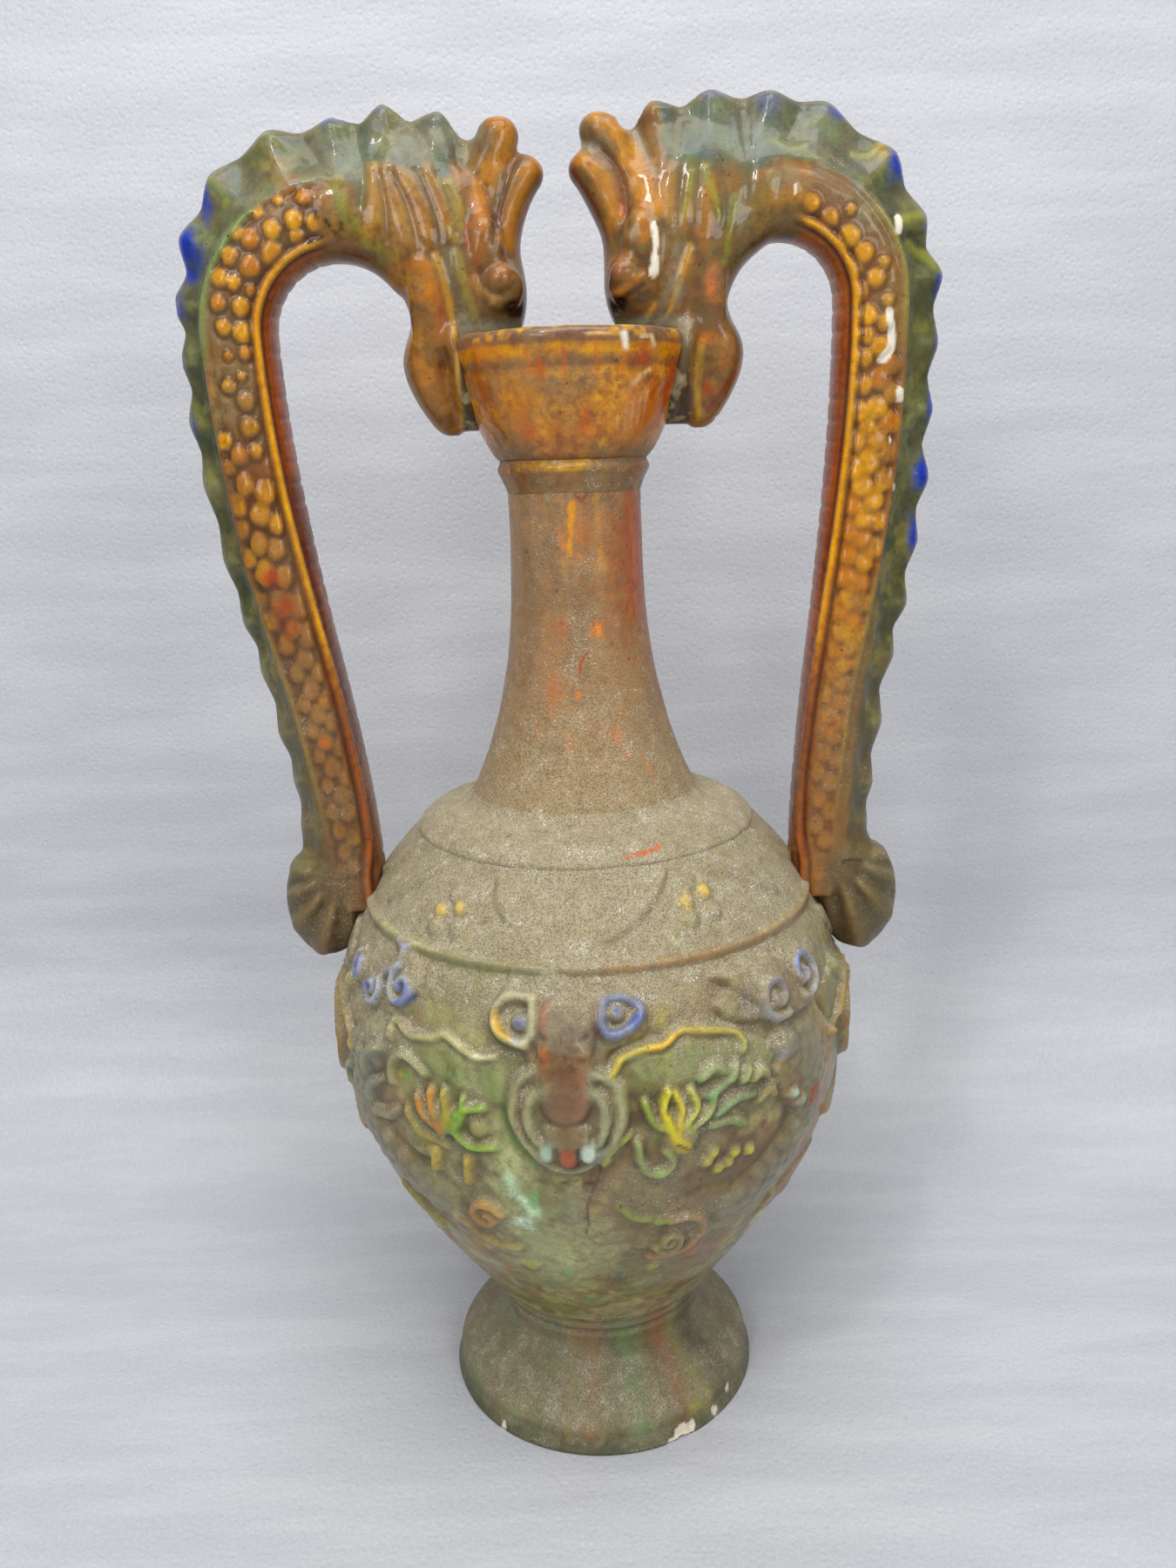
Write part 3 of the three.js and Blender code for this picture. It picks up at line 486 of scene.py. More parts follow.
def turned(profile, around):  # grid of points from (radius, height) rows, and its angles from the front
    angles = np.arange(around) * 360.0 / around - 180.0
    turn = np.radians(angles)
    radius, height = profile[:, 0][:, None], profile[:, 1][:, None]
    points = np.stack([radius * np.sin(turn), -radius * np.cos(turn), height + 0 * turn], axis=-1)
    return points, angles


def ringFaces(rows, around, closed):
    faces = []
    steps = rows if closed else rows - 1
    for row in range(steps):
        low, high = row * around, (row + 1) % rows * around
        for i in range(around):
            j = (i + 1) % around
            faces.append((low + i, low + j, high + j, high + i))
    return faces


def wallNormals(profile, angles):  # outward normals of a turned form, row by row
    ahead = np.gradient(profile, axis=0)
    length = np.maximum(np.hypot(ahead[:, 0], ahead[:, 1]), tiny)
    out = np.repeat(ahead[:, 1] / length, len(angles))
    turn = np.tile(np.radians(angles), len(profile))
    return np.stack([out * np.sin(turn), -out * np.cos(turn), np.repeat(-ahead[:, 0] / length, len(angles))],
        axis=1)


def edgesOf(faces):
    quads = np.array(faces)
    return np.vstack([quads[:, [0, 1]], quads[:, [1, 2]]]).T


class Thrown:  # the outside of a thrown form: its relief, glaze and normals are worked out on one grid
    def __init__(self, profile, glaze, decorate, dustUp):
        around = vase["around"]
        grid, angles = turned(profile, around)
        rows = len(profile)
        points = grid.reshape(-1, 3)
        across = np.tile(angles, rows)
        radius = np.repeat(profile[:, 0], around)
        perDegree = np.radians(1) * np.maximum(radius, 1.0)
        surface = Clay(across, np.repeat(profile[:, 1], around), perDegree, points, rgb(*glaze))
        # Each painter marks painted shade as dark: creases, joints and the undersides of edges
        surface.dark = 0.0
        film = decorate(surface)
        edges = edgesOf(ringFaces(rows, around, False))
        height = np.clip(surface.clay(), vase["deepest"], vase["highest"])
        height = height + vase["uneven"] * (cloudy(points, 13, 3) - 0.5) * 2
        soft = blur(height, edges, 1)
        points = points + wallNormals(profile, angles) * soft[:, None]
        reach = np.hypot(points[:, 0], points[:, 1])
        points[:, :2] *= np.minimum(1, vase["farthest"] / np.maximum(reach, tiny))[:, None]
        near, far = blur(height, edges, 6), blur(height, edges, 26)
        placed = points.reshape(rows, around, 3)
        sideways = np.roll(placed, -1, axis=1) - np.roll(placed, 1, axis=1)
        normals = np.cross(sideways, np.gradient(placed, axis=0)).reshape(-1, 3)
        normals /= np.maximum(np.linalg.norm(normals, axis=1), tiny)[:, None]
        up = ramp(normals[:, 2], 0.0, 0.65)
        settled = dustUp * up * (0.35 + 0.9 * cloudy(points, 5, 7)) * (1 - 0.9 * surface.wet)
        film = film * (1 - surface.wet * 0.85) + settled
        # Painted shade in the hollows, added below to the creases marked dark
        hollow = np.clip((near - soft) * 1.6, 0, 1) + np.clip((far - soft) * 0.9, 0, 1)
        film = film + 0.35 * np.clip((far - soft) * 1.2, 0, 1) * up
        self.around, self.rows, self.points, self.normals = around, rows, points, normals
        self.layers = {"glaze": surface.paint, "film": np.clip(film, 0, 1),
            "pool": np.clip(hollow * 0.8 + surface.dark, 0, 1),
            "ridge": np.clip((soft - near) * 1.5 + (soft - far) * 0.3, 0, 1), "chip": surface.chip}

    def piece(self, name, nodes, slot, look, inside, first=0, last=None, poles=False):
        # The rows from first to last, closed by a plain lining
        last = self.rows if last is None else last
        around = self.around
        shown = slice(first * around, last * around)
        grid, angles = turned(inside, around)
        points = np.vstack([self.points[shown], grid.reshape(-1, 3)])
        normals = np.vstack([self.normals[shown], wallNormals(inside, angles)])
        rows = last - first + len(inside)
        spare = len(inside) * around
        edge = self.layers["glaze"][(last - 1) * around:last * around].mean(axis=0)
        layers = {"glaze": np.vstack([self.layers["glaze"][shown], np.tile(edge * 0.8, (spare, 1))])}
        for layer, value in (("film", 0.5), ("pool", 0.0), ("ridge", 0.0), ("chip", 0.0)):
            layers[layer] = np.concatenate([self.layers[layer][shown], np.full(spare, value)])
        faces = ringFaces(rows, around, not poles)
        if poles:
            faces += [tuple(range(around))[::-1], tuple(range((rows - 1) * around, rows * around))]
        makePiece(name, points, faces, layers, nodes, glazeMaterial(name + "Glaze", look), normals)


def column(low, high, step, radiusAt):
    heights = np.linspace(low, high, max(2, int(round((high - low) / step)) + 1))
    return np.stack([radiusAt(heights), heights], axis=1)


# Foot
footPaint = {
    "streaks": [
        (-62, 5, (86, 104, 58)), (-46, 3, (120, 112, 60)), (-30, 4, (96, 108, 62)), (-17, 3, (136, 118, 62)),
        (-8, 4, (142, 96, 56)), (3, 3, (104, 96, 62)), (11, 4.5, (96, 132, 74)), (24, 3, (116, 104, 58)),
        (31, 4.5, (150, 92, 52)), (40, 3, (140, 132, 58)), (52, 6, (70, 62, 38)), (66, 5, (104, 112, 66)),
        (80, 6, (112, 84, 50)), (-78, 6, (112, 116, 70))],
    "chips": [
        (29.5, 2.0, 4.4, 3.0), (26.0, 0.8, 4.0, 1.6), (33.0, 2.2, 1.6, 2.2), (44.5, 2.6, 1.9, 1.7),
        (55, 6.0, 1.7, 2.4), (-41, 2.6, 1.7, 1.9)],
}


def paintFoot(s):
    points = s.points
    s.blots(0.35, [(14, 11, 0.42, 0.6, 0.8, (98, 102, 62)), (10, 13, 0.5, 0.66, 0.7, (112, 84, 54))])
    s.blots(1.0, [(6, 15, 0.52, 0.68, 0.5, (146, 138, 100))])
    for turn in (0, 180):
        s.turn = turn
        for a, wide, shade in footPaint["streaks"]:
            s.run([(a, 43), (a + 1.5, 25), (a + 2, 4)], wide * 1.25, shade, 0.75, 0.15)
        s.spots([(36, 9, 5, 8, (146, 158, 60), 0.55, 0.2), (-36, 9, 5, 8, (120, 142, 84), 0.5, 0.2),
            (-60, 16, 5, 12, (108, 132, 58), 0.45, 0.2)])
        for a, z, wide, tall in footPaint["chips"]:
            if turn == 180:
                a, wide = -a * 1.3 - 20, wide * 0.7
            gap = np.hypot(s.offset(a) / wide, (s.up - z) / tall) + s.ragged * 1.5
            s.chip = np.maximum(s.chip, 1 - ramp(gap, 0.8, 0.9))
            s.detail -= (1 - ramp(gap, 0.7, 1.0)) * 0.7
    s.turn = 0
    edge = ramp(s.up + s.ragged * 5, 6.5, 2.5)
    s.dab(edge * 0.8, (52, 62, 34), 0.5)
    s.blots(1.0, [(9, 17, 0.5, 0.65, 0.7, (34, 66, 40), 0.5)], edge)
    band = hump(s.up, 7.5, 3.5)
    s.detail += 0.9 * hump(s.up, 9.5, 3.2) * (0.6 + 0.8 * cloudy(points, 30, 19))
    s.detail += 0.8 * hump(s.up, 40.5, 1.1) - 0.8 * hump(s.up, 38, 0.9)
    s.detail += 0.5 * hump(s.up, 35.8, 1.0)
    # Painted shade where the foot meets the belly and in the groove below it
    s.dark = 0.5 * ramp(s.up, 41.5, 44) + 0.25 * hump(s.up, 38, 1.0)
    flare = hump(s.up, 15, 6)
    return 0.2 + 0.22 * ramp(cloudy(points, 20, 21), 0.3, 0.6) + 0.35 * flare - 0.15 * band


def innerWall(heights, radiusAt):  # inside of the wall, from the top down
    return np.stack([radiusAt(heights) - vase["wall"], heights], axis=1)


footInside = innerWall(np.linspace(44, 0.4, 12), footRadiusAt)
foot = Thrown(np.vstack([[[54.5, 0.0], [58.9, 0.0]], column(0.6, 44.0, 0.8, footRadiusAt)]), (116, 104, 72),
    paintFoot, 0.3)
foot.piece("footSkin", ["foot"], "foot_glaze", footGlaze, footInside)


# Belly: the moulded relief, in degrees from the front and mm up
relief = {
    "border": 200.7,
    "panels": [
        (-66, 208, -58, 215, -49, 223), (-26.5, 222, -24, 217, -20, 212), (4, 208, 13, 214, 23, 223),
        (39, 223, 48, 217, 59, 209), (-70, 224, -80, 214, -92, 207), (70, 224, 80, 214, 92, 207)],
    "florets": [(-38, 212), (30, 215)],
}
blue, pale = (44, 66, 158), (206, 200, 160)
yellow, lemon, orange = (206, 160, 34), (190, 186, 44), (176, 104, 30)
perDegree = 1.55  # mm along the belly's wall in one degree


def spiral(a, z, radius, turns, start, hand=1, count=26):  # points of a curl, widest first
    out = []
    for t in np.linspace(0, 1, count):
        angle = math.radians(start) + hand * t * turns * 2 * math.pi
        reach = radius * (1 - 0.86 * t)
        out.append((a + reach * math.cos(angle) / perDegree, z + reach * math.sin(angle)))
    return out


def shapeShoulder(s):
    for turn in (0, 180):
        s.turn = turn
        for line in relief["panels"]:
            s.bead(line, 2.2, 1.6, (134, 118, 84), 0.5, 0.3, steps=9, taper=0.5)
        for a, z in relief["florets"]:
            for da, dz in ((-3.4, 0), (2.6, 1.6), (-0.6, 4.6), (3.4, -4.0), (-3.6, -4.6)):
                s.dome(a + da, z + dz, 3.2, 2.8, 2.0)
            for da, dz, wide in ((-3.4, 0, 2.2), (2.6, 1.6, 1.8)):
                s.spot(a + da, z + dz, wide * (2.2 if a > 0 else 1.5), wide * (1.9 if a > 0 else 1.4),
                    (232, 192, 44), 1.0, 1.0)
            s.spot(a + (-9 if a > 0 else 7), z - (9 if a > 0 else 5), 2.4, 3.6, lemon, 0.6, 0.4)
        s.runs([((-66, 200, -40, 199.6, -12, 199.2), 2.6, (116, 122, 54), 0.8, 0.45),
            ((-62, 202.2, -44, 201.8, -38, 201.6), 1.0, (196, 192, 132), 0.8, 0.4),
            ((3, 200.2, 30, 200.4, 78, 200.2), 2.6, (146, 98, 50), 0.8, 0.45),
            ((44, 202, 58, 202), 1.2, (176, 164, 96), 0.6, 0.3)])
        for i in range(16):
            s.run([(8 + i * 2.1, 203.2 + math.sin(i * 5.1) * 0.8),
                (8.6 + i * 2.1, 204.3 + math.sin(i * 5.1) * 0.8)], 0.35, (92, 44, 36), 0.8)
    s.turn = 0
    ring = hump(s.up, relief["border"], 1.35)
    s.detail = np.maximum(s.detail, 1.7 * ring)
    s.detail -= 0.7 * hump(s.up - relief["border"] + 3.3, 0, 1.5)
    s.detail += 0.8 * ramp(s.up, 222.5, 226.0)
    # Painted shadow: an olive line just under the collar's edge
    s.dab(hump(s.up, 223.6, 1.5) * 0.55, (132, 122, 82), 0.3)


def shapeMask(s):
    # Face plate, forehead block and the long nose
    s.slab((-14.5, 195, -14, 190, -21, 186, -19, 180, -14, 178, -13, 170, -16.5, 160, -14, 149, -9, 142, -5.5,
        140.5, -2, 142, 3, 149, 5.5, 160, 3, 170, 3.5, 178, 10.5, 182, 10.5, 190, 3.5, 190, 3, 195), 2.0, 2.4,
        (138, 124, 92), 0.25, steps=70)
    s.slab((-13.6, 194.2, -12.6, 185, -11, 176, 0, 176, 1.6, 185, 2.6, 194.2), 3.6, 2.0, (132, 104, 72), 0.45)
    s.domes([(-5.4, 170, 9.5, 15, 4.6, (126, 88, 60), 0.5, 0.1, 0.6), (-5.4, 187, 8.5, 6.5, 4.2)])
    s.run((-12, 193, -11.6, 188, -11.2, 184), 1.6, yellow, 0.55, 0.4)
    s.spots([(-9, 187, 2.6, 4, orange, 0.5), (-10.6, 176, 2.8, 4.5, orange, 0.55),
        (-3.4, 184.5, 2.4, 3.4, (84, 100, 112), 0.6), (-5.4, 176, 10, 16, (116, 84, 54), 0.9, 0.5),
        (-5.4, 162, 9, 12, (118, 84, 54), 0.8, 0.35), (-2, 170, 2.6, 12, (150, 92, 60), 0.5, 0.3)])
    # The last of these runs, a pale line along the forehead block's top edge, is a painted highlight
    s.runs([((-9.4, 192, -9, 184, -9.4, 176), 2.0, (158, 92, 40), 0.85, 0.5),
        ((0.6, 192, 0.8, 183), 1.6, (146, 82, 44), 0.8, 0.5),
        ((-11.8, 191, -11.6, 184), 0.9, (132, 150, 70), 0.8, 0.4),
        ((-13.6, 193.8, 2.6, 193.8), 0.55, (216, 206, 186), 0.6, 0.6)])
    # Eyes: raised almond lids round a ball
    for outline, ball, lid in (((-12, 192.5, -17, 193, -20.2, 188.5, -18.5, 182.5, -14, 180, -12, 183),
            (-14.2, 186.2), pale), ((2.6, 192, 6.5, 192.6, 10, 189.2, 7.6, 184.6, 3.4, 182.8, 1.8, 186),
            (4.9, 188.8), (84, 110, 176))):
        s.bead(outline, 1.9, 3.0, lid, 0.75, 0.4, closed=True, steps=22)
        s.dome(ball[0], ball[1], 2.9, 3.0, 3.6, (130, 150, 178), 0.5, 0.5)
        s.spot(ball[0], ball[1], 1.5, 1.7, blue, 1.0, 0.7)
    s.runs([((-19.6, 188, -18.6, 184.4, -16.4, 181.4), 1.7, yellow, 0.95, 0.6),
        ((2.4, 184.0, 5.6, 184.4, 8.8, 187.2), 1.3, (60, 92, 178), 0.9, 0.6)])
    s.spot(-14.4, 181.8, 2.4, 1.6, (158, 178, 200), 0.6)
    # Cheeks: a pair of arcs on each side, and green below the left eye
    s.run((-17.6, 179, -15.6, 170), 4.2, (110, 126, 58), 0.55, 0.3)
    for line in ((-11.6, 172.5, -14.9, 167.5, -15.8, 158, -13.4, 149.5, -10.6, 142.4),
            (-9.6, 168, -12.2, 163, -12.6, 156, -11, 150)):
        s.bead(line, 2.1, 2.8, (134, 140, 104), 0.5, 0.25, steps=14, taper=0.4)
    for line in ((-0.6, 172.5, 3.9, 168.5, 5.4, 158, 3.6, 150, 1, 143), (-0.8, 168, 1.4, 163, 1.8, 156, 0.6, 150)):
        s.bead(line, 2.1, 2.8, (144, 156, 122), 0.5, 0.25, steps=14, taper=0.4)
    s.groove((-13.6, 164, -14.2, 157, -12.4, 150), 0.9, 0.9, (88, 74, 54), 0.5, steps=9)
    s.groove((2.6, 164, 3.4, 157, 2, 150), 0.9, 0.9, (88, 74, 54), 0.5, steps=9)
    # Muzzle, fangs and tongue
    s.domes([(-5.4, 152.5, 7.6, 5.2, 4.4), (-9.2, 147.5, 2.9, 4.6, 3.9, (150, 174, 158), 0.8, 0.5),
        (-1.6, 147.5, 2.9, 4.6, 3.9, (178, 196, 180), 0.85, 0.6), (-5.3, 146.6, 3.2, 4.6, 3.3)])
    s.slab((-7.1, 149.4, -7.1, 142, -3.5, 142, -3.5, 149.4), 3.0, 0.9, (146, 70, 34), 0.95, 0.6)
    s.runs([((-7.6, 149.4, -7.6, 142), 0.7, (92, 104, 34), 0.9, 0.4),
        ((-3.2, 149.4, -3.2, 142), 0.5, (52, 34, 24), 0.9, 0.4)])
    s.bead((-12, 147, -9, 141, -5.4, 139.6, -1.8, 141, 1.4, 147), 1.6, 2.5, (142, 156, 128), 0.4, 0.2, steps=14)
    s.spot(-15, 149, 2, 5, (112, 156, 76), 0.5, 0.3)
    s.bead((6.2, 151.2, 3.8, 147, 1.4, 141.8), 1.5, 2.3, (150, 152, 62), 0.8, 0.4, steps=7)
    s.run((4.9, 148.6, 2.9, 144.6), 0.6, (30, 66, 30), 0.9)


def shapeSide(s, hand):
    right = hand > 0
    # Cloud with three curls
    if right:
        s.slab((33, 190, 37, 195, 43, 191, 49, 195.5, 56, 193, 58.5, 186, 53, 179, 46, 176.5, 37, 177.5), 1.5, 2.2,
            (136, 134, 124), 0.4, steps=40)
        curls = [(40.6, 183.8, 7.2, -60, -1), (51.4, 186.4, 7.8, -120, 1)]
    else:
        s.slab((-40, 192, -42, 196, -47, 202, -53, 200, -62, 192, -66, 186, -58, 179, -49, 178, -41, 182), 1.5,
            2.2, (136, 132, 116), 0.4, steps=40)
        curls = [(-44.2, 188.6, 6.2, 120, 1), (-54.2, 183.8, 5.0, 60, -1), (-64, 187, 5.4, 140, 1)]
        s.bead((-50.5, 201, -46.8, 198.6, -47, 194, -50.4, 190.6), 1.9, 3.0, (112, 116, 168), 0.45, 0.3, steps=12)
        s.runs([((-49.4, 186, -46, 182.6, -42.4, 184.2, -40.6, 187), 1.3, (40, 52, 142), 0.85, 0.6),
            ((-70, 184.5, -62.5, 188), 1.6, (108, 120, 126), 0.6),
            ((-46.4, 200, -47.6, 196.6), 0.9, (96, 108, 176), 0.7, 0.4)])
    for a, z, reach, start, way in curls:
        turns = spiral(a, z, reach, 1.35, start, way)
        s.bead(turns, 1.6, 3.3, (148, 156, 176), 0.75, 0.4, taper=0.2)
        s.run(turns[8:16], 0.9, (78, 96, 182), 0.85, 0.5)
        s.spot(a, z, 1.7, 1.5, blue, 0.8, 0.4)
    if right:
        s.runs([((50.6, 191.5, 55.8, 191.8, 58, 187), 1.0, (84, 100, 164), 0.6, 0.3),
            ((33.4, 189, 32.8, 185, 35, 181), 1.0, (96, 112, 168), 0.5, 0.3)])
        s.spot(40.4, 165.6, 3.4, 2.2, (118, 148, 196), 0.6, 0.3)
        s.dome(41, 168, 6.5, 5.5, 2.2, (138, 136, 146), 0.35)
    # Wing: a thin ruffled edge over a smooth drape
    if right:
        drape = (4.5, 165, 5, 174, 9, 176, 14, 177.6, 19.5, 180, 26, 177, 31, 174, 31, 168, 24, 166, 12, 163)
        edge = (3.6, 171.5, 5.6, 176, 10.4, 178, 14, 178.4, 17.6, 181.6, 23.4, 180, 28.6, 178, 31, 175, 30.4, 171.6)
        s.slab(drape, 1.2, 3.0, (122, 116, 52), 0.65, 0.35, steps=36)
        s.spots([(9, 169.5, 5.5, 4.0, (96, 114, 58), 0.5, 0.3), (19.5, 173, 5, 4.5, (98, 118, 58), 0.55, 0.3),
            (14, 172, 3.5, 5, (150, 112, 34), 0.5, 0.3)])
        s.bead(edge, 1.5, 2.7, (186, 168, 56), 0.75, 0.4, steps=34)
        s.run((10.8, 178, 13.8, 178.4, 17.2, 181), 1.0, (222, 168, 20), 0.9, 0.5)
        s.spot(13.6, 186, 3.4, 3.4, lemon, 0.4)
    else:
        drape = (-17, 160, -16.5, 170, -20.5, 175, -27, 175, -31.5, 178, -38, 175.5, -45, 176, -44, 168, -33, 166,
            -24, 161)
        edge = (-45.6, 173, -45, 178.6, -40.4, 175.8, -34.4, 177, -31.3, 179, -27.3, 176.4, -23.4, 174.4, -19.6,
            175.4)
        s.slab(drape, 1.1, 3.0, (140, 150, 92), 0.7, 0.3, steps=36)
        s.spots([(-29, 169, 3.2, 6, (92, 118, 54), 0.55, 0.3), (-21, 168, 4.5, 7, (112, 134, 66), 0.45, 0.3)])
        s.bead(edge, 1.4, 2.6, (178, 168, 124), 0.5, 0.3, steps=32)
        s.run((-23.4, 175, -19.8, 175.6), 0.8, (222, 220, 190), 0.7, 0.4)
    # Claw: four fingers that curl up out of a palm, and a heel pad
    if right:
        s.dome(16.5, 149, 6.4, 8.0, 3.6, (150, 146, 58), 0.35, 0.2)
        fingers = [((12.6, 152, 10.6, 156, 9.4, 162), (132, 150, 54)),
            ((14, 152, 12.8, 158, 14, 164.5), (196, 188, 32)),
            ((15.6, 152.5, 16.6, 158, 15.2, 163.6), (204, 184, 30)),
            ((17.4, 153, 19.6, 157.6, 18.6, 163.4), (180, 186, 60)),
            ((18.6, 151, 22.2, 155, 23.6, 161.6), (136, 152, 74))]
        s.bead((13.4, 156, 15, 149, 17.4, 144.5), 2.5, 3.9, (206, 182, 24), 0.9, 0.6, steps=9)
        s.spot(12.2, 148, 1.8, 3.6, (108, 132, 36), 0.7, 0.3)
        s.run((15.4, 147, 18.6, 143.6), 0.9, (40, 52, 36), 0.8)
        loop = (8, 148, 8.6, 141, 10.4, 136.4, 13.2, 135.8, 15, 139.6, 13.4, 144)
        s.bead(loop, 1.6, 2.8, (128, 150, 92), 0.7, 0.4, steps=20)
        s.spot(12.4, 137.2, 1.8, 1.2, (122, 172, 52), 0.7, 0.4)
        s.pit(11.6, 141.6, 2.4, 3.4, 1.0, (112, 96, 62), 0.5)
        for a, z in ((22.4, 136.4), (25, 132.4), (27.4, 133.6), (32.6, 135.4), (23.6, 139.4), (28.8, 137)):
            s.dome(a, z, 2.6, 2.2, 2.3, lemon, 0.55, 0.35)
        s.pit(7.6, 139.5, 0.9, 1.8, 0.6, (70, 38, 20), 0.7)
    else:
        s.dome(-30.5, 150, 6.6, 7.6, 3.4, (128, 104, 56), 0.35, 0.2)
        fingers = [((-31.4, 148.6, -35.6, 151, -37.4, 157.4), (176, 112, 24)),
            ((-30.6, 149, -33, 153, -34, 160.4), (186, 122, 26)),
            ((-29.6, 149, -29.8, 154, -30.8, 161), (156, 140, 36)),
            ((-28.8, 149, -26.6, 153.6, -26.2, 160.4), (118, 152, 46))]
        s.bead((-22, 158.6, -27, 156, -28.6, 150, -25.6, 144.6, -20, 145.6), 1.7, 3.2, (126, 158, 58), 0.85, 0.5,
            steps=20)
        s.dome(-23.4, 151.2, 3.6, 4.0, 2.6, (128, 116, 84), 0.4)
        s.pit(-29.6, 145.8, 2.1, 2.6, 2.2, (26, 20, 12), 1.0)
        s.bead((-41, 150, -38.4, 145, -33.4, 143.4, -30.8, 141.8), 1.5, 2.6, (168, 140, 42), 0.7, 0.4, steps=12)
        s.bead((-45, 158, -45.2, 163, -43.2, 167.4, -39.6, 168.6, -35.4, 165), 1.7, 2.9, (146, 144, 116), 0.4, 0.2,
            steps=18)
        s.spots([(-41.4, 162.4, 2.8, 1.6, (118, 168, 58), 0.8, 0.4), (-52, 152, 6, 8, (92, 104, 106), 0.6, 0.3),
            (-47, 158, 3, 4, (120, 140, 60), 0.6, 0.3), (-43, 161.2, 1.4, 1.2, (216, 200, 30), 0.8, 0.4)])
        for line in ((-33.6, 139.8, -35, 132), (-26.2, 139, -27, 130.4)):
            s.bead(line, 2.2, 3.0, (178, 150, 44), 0.7, 0.4)
        s.domes([(-38, 139.6, 8.6, 6.2, 2.6, (146, 128, 74), 0.3),
            (-55, 163, 3.4, 3.0, 2.2, (134, 164, 84), 0.6, 0.3)])
    for line, shade in fingers:
        s.bead(line, 1.75, 3.6, shade, 0.8, 0.3, steps=10, taper=0.3)
    # Foliage and the scaled bend of the body
    if right:
        for line, shade in (((20.6, 165.6, 23.4, 169, 26.4, 166.4), (84, 134, 80)),
                ((22, 160, 26.6, 163.4, 28.6, 168), (96, 146, 92)),
                ((23.6, 153, 28.4, 156.6, 33, 156), (104, 146, 96)),
                ((22.6, 149.6, 27, 150, 30.6, 146.6), (116, 144, 84)),
                ((31.8, 161, 34.4, 163.4, 36, 160.6), (182, 136, 50)),
                ((33.6, 153, 37, 155.6, 38.4, 152.6), (164, 132, 62)),
                ((29.4, 161.4, 31.6, 165.4), (110, 148, 90))):
            s.bead(line, 2.1, 2.9, shade, 0.75, 0.35, steps=9, taper=0.4)
        s.run((36.5, 163.4, 42.4, 162.4, 44.4, 160), 1.2, (196, 150, 60), 0.6, 0.3)
        s.spot(34, 158, 12, 10, (96, 104, 62), 0.5, 0.3)
        s.domes([(43.3, 150.6, 2.8, 2.0, 2.4, (150, 196, 204), 0.95, 0.5),
            (45.4, 146.6, 3.6, 2.6, 2.2, (132, 156, 156), 0.5)])
        bodyLine = (45, 168, 50.5, 158, 51, 146, 47.5, 134, 41, 123, 32, 114)
    else:
        for line, shade in (((-48, 168, -52, 164, -54, 158), (128, 140, 108)),
                ((-49, 156, -52.6, 152, -53.4, 146), (112, 122, 108)),
                ((-60, 156, -62.8, 152.4, -61.4, 148), (120, 158, 72)),
                ((-44, 148, -47.6, 144, -52, 143), (122, 126, 106))):
            s.bead(line, 2.2, 2.8, shade, 0.6, 0.25, steps=9, taper=0.4)
        bodyLine = (-50, 170, -57, 160, -58.5, 147, -54.5, 135, -46, 125, -36, 118)
    curve = spline(bodyLine, 40)
    gap, along = s.nearLine(curve, 16)
    swell = np.clip(1 - (gap / 9.5) ** 2, 0, 1)
    s.plate = np.maximum(s.plate, 2.6 * swell ** 0.6)
    s.dab(ramp(swell + s.ragged * 0.5, 0.1, 0.5) * 0.55, (112, 116, 100), 0.15)
    for k in range(22):
        row = (k + 0.5) / 22
        spot = curve[min(int(row * 39), 38)]
        nxt = curve[min(int(row * 39) + 1, 39)]
        ahead = np.array([(nxt[0] - spot[0]) * perDegree, nxt[1] - spot[1]])
        ahead /= max(np.hypot(*ahead), tiny)
        for side in ((-5.4, 0, 5.4) if k % 2 else (-2.7, 2.7)):
            a, z = spot[0] - ahead[1] * side / perDegree, spot[1] + ahead[0] * side
            gapScale = np.hypot(s.offset(a), s.up - z)
            s.detail = np.maximum(s.detail, 0.9 * np.clip(1 - (gapScale / 2.9) ** 2, 0, 1) ** 0.6)
            s.tint(gapScale, 1.7, ((132, 138, 126) if k % 3 else (124, 134, 92)) if k < 15 else (140, 132, 96),
                0.35, 0.1)
    # Leaf scrolls that fill the flank, and the lower cloud
    if right:
        s.bead(spiral(16.2, 104.6, 5.6, 1.5, 200, 1), 1.5, 2.7, (150, 140, 88), 0.45, 0.15)
        s.bead((15.4, 115.4, 19.4, 115.4, 23, 112, 24, 107, 22.4, 101.8, 19, 98.4, 12, 97), 1.9, 2.5,
            (164, 116, 78), 0.45, 0.15, steps=20)
        s.bead((4.4, 124, 7.2, 118.2, 12, 115.8, 15, 114.2), 1.7, 1.6, (128, 142, 60), 0.75, 0.4, steps=12)
        s.spots([(4.6, 124.6, 1.1, 1.1, (34, 18, 10), 0.95), (14.2, 114, 2.0, 1.1, (48, 30, 20), 0.95),
            (10, 107, 1.8, 3.4, (140, 148, 70), 0.45)])
        s.slab((8, 103, 12, 111, 20, 114, 26, 108, 25, 99, 16, 95), 0.9, 3.0, steps=26)
    else:
        s.bead(spiral(-24.6, 116.6, 6.2, 1.25, 20, 1), 2.0, 3.0, (166, 116, 42), 0.75, 0.35)
        s.bead((-33, 112.6, -30.4, 106, -26, 102, -19.6, 101), 1.9, 2.4, (158, 122, 70), 0.5, 0.2, steps=14)
        s.spot(-27, 113, 2.6, 3, (150, 90, 28), 0.5, 0.3)
        s.slab((-34, 111, -32, 121, -24, 125, -17, 119, -18, 107, -26, 101), 0.9, 3.0, steps=26)
        s.bead((-52, 112, -47, 104, -43, 101, -46, 96), 2.4, 2.2, (148, 140, 50), 0.6, 0.3, steps=12)


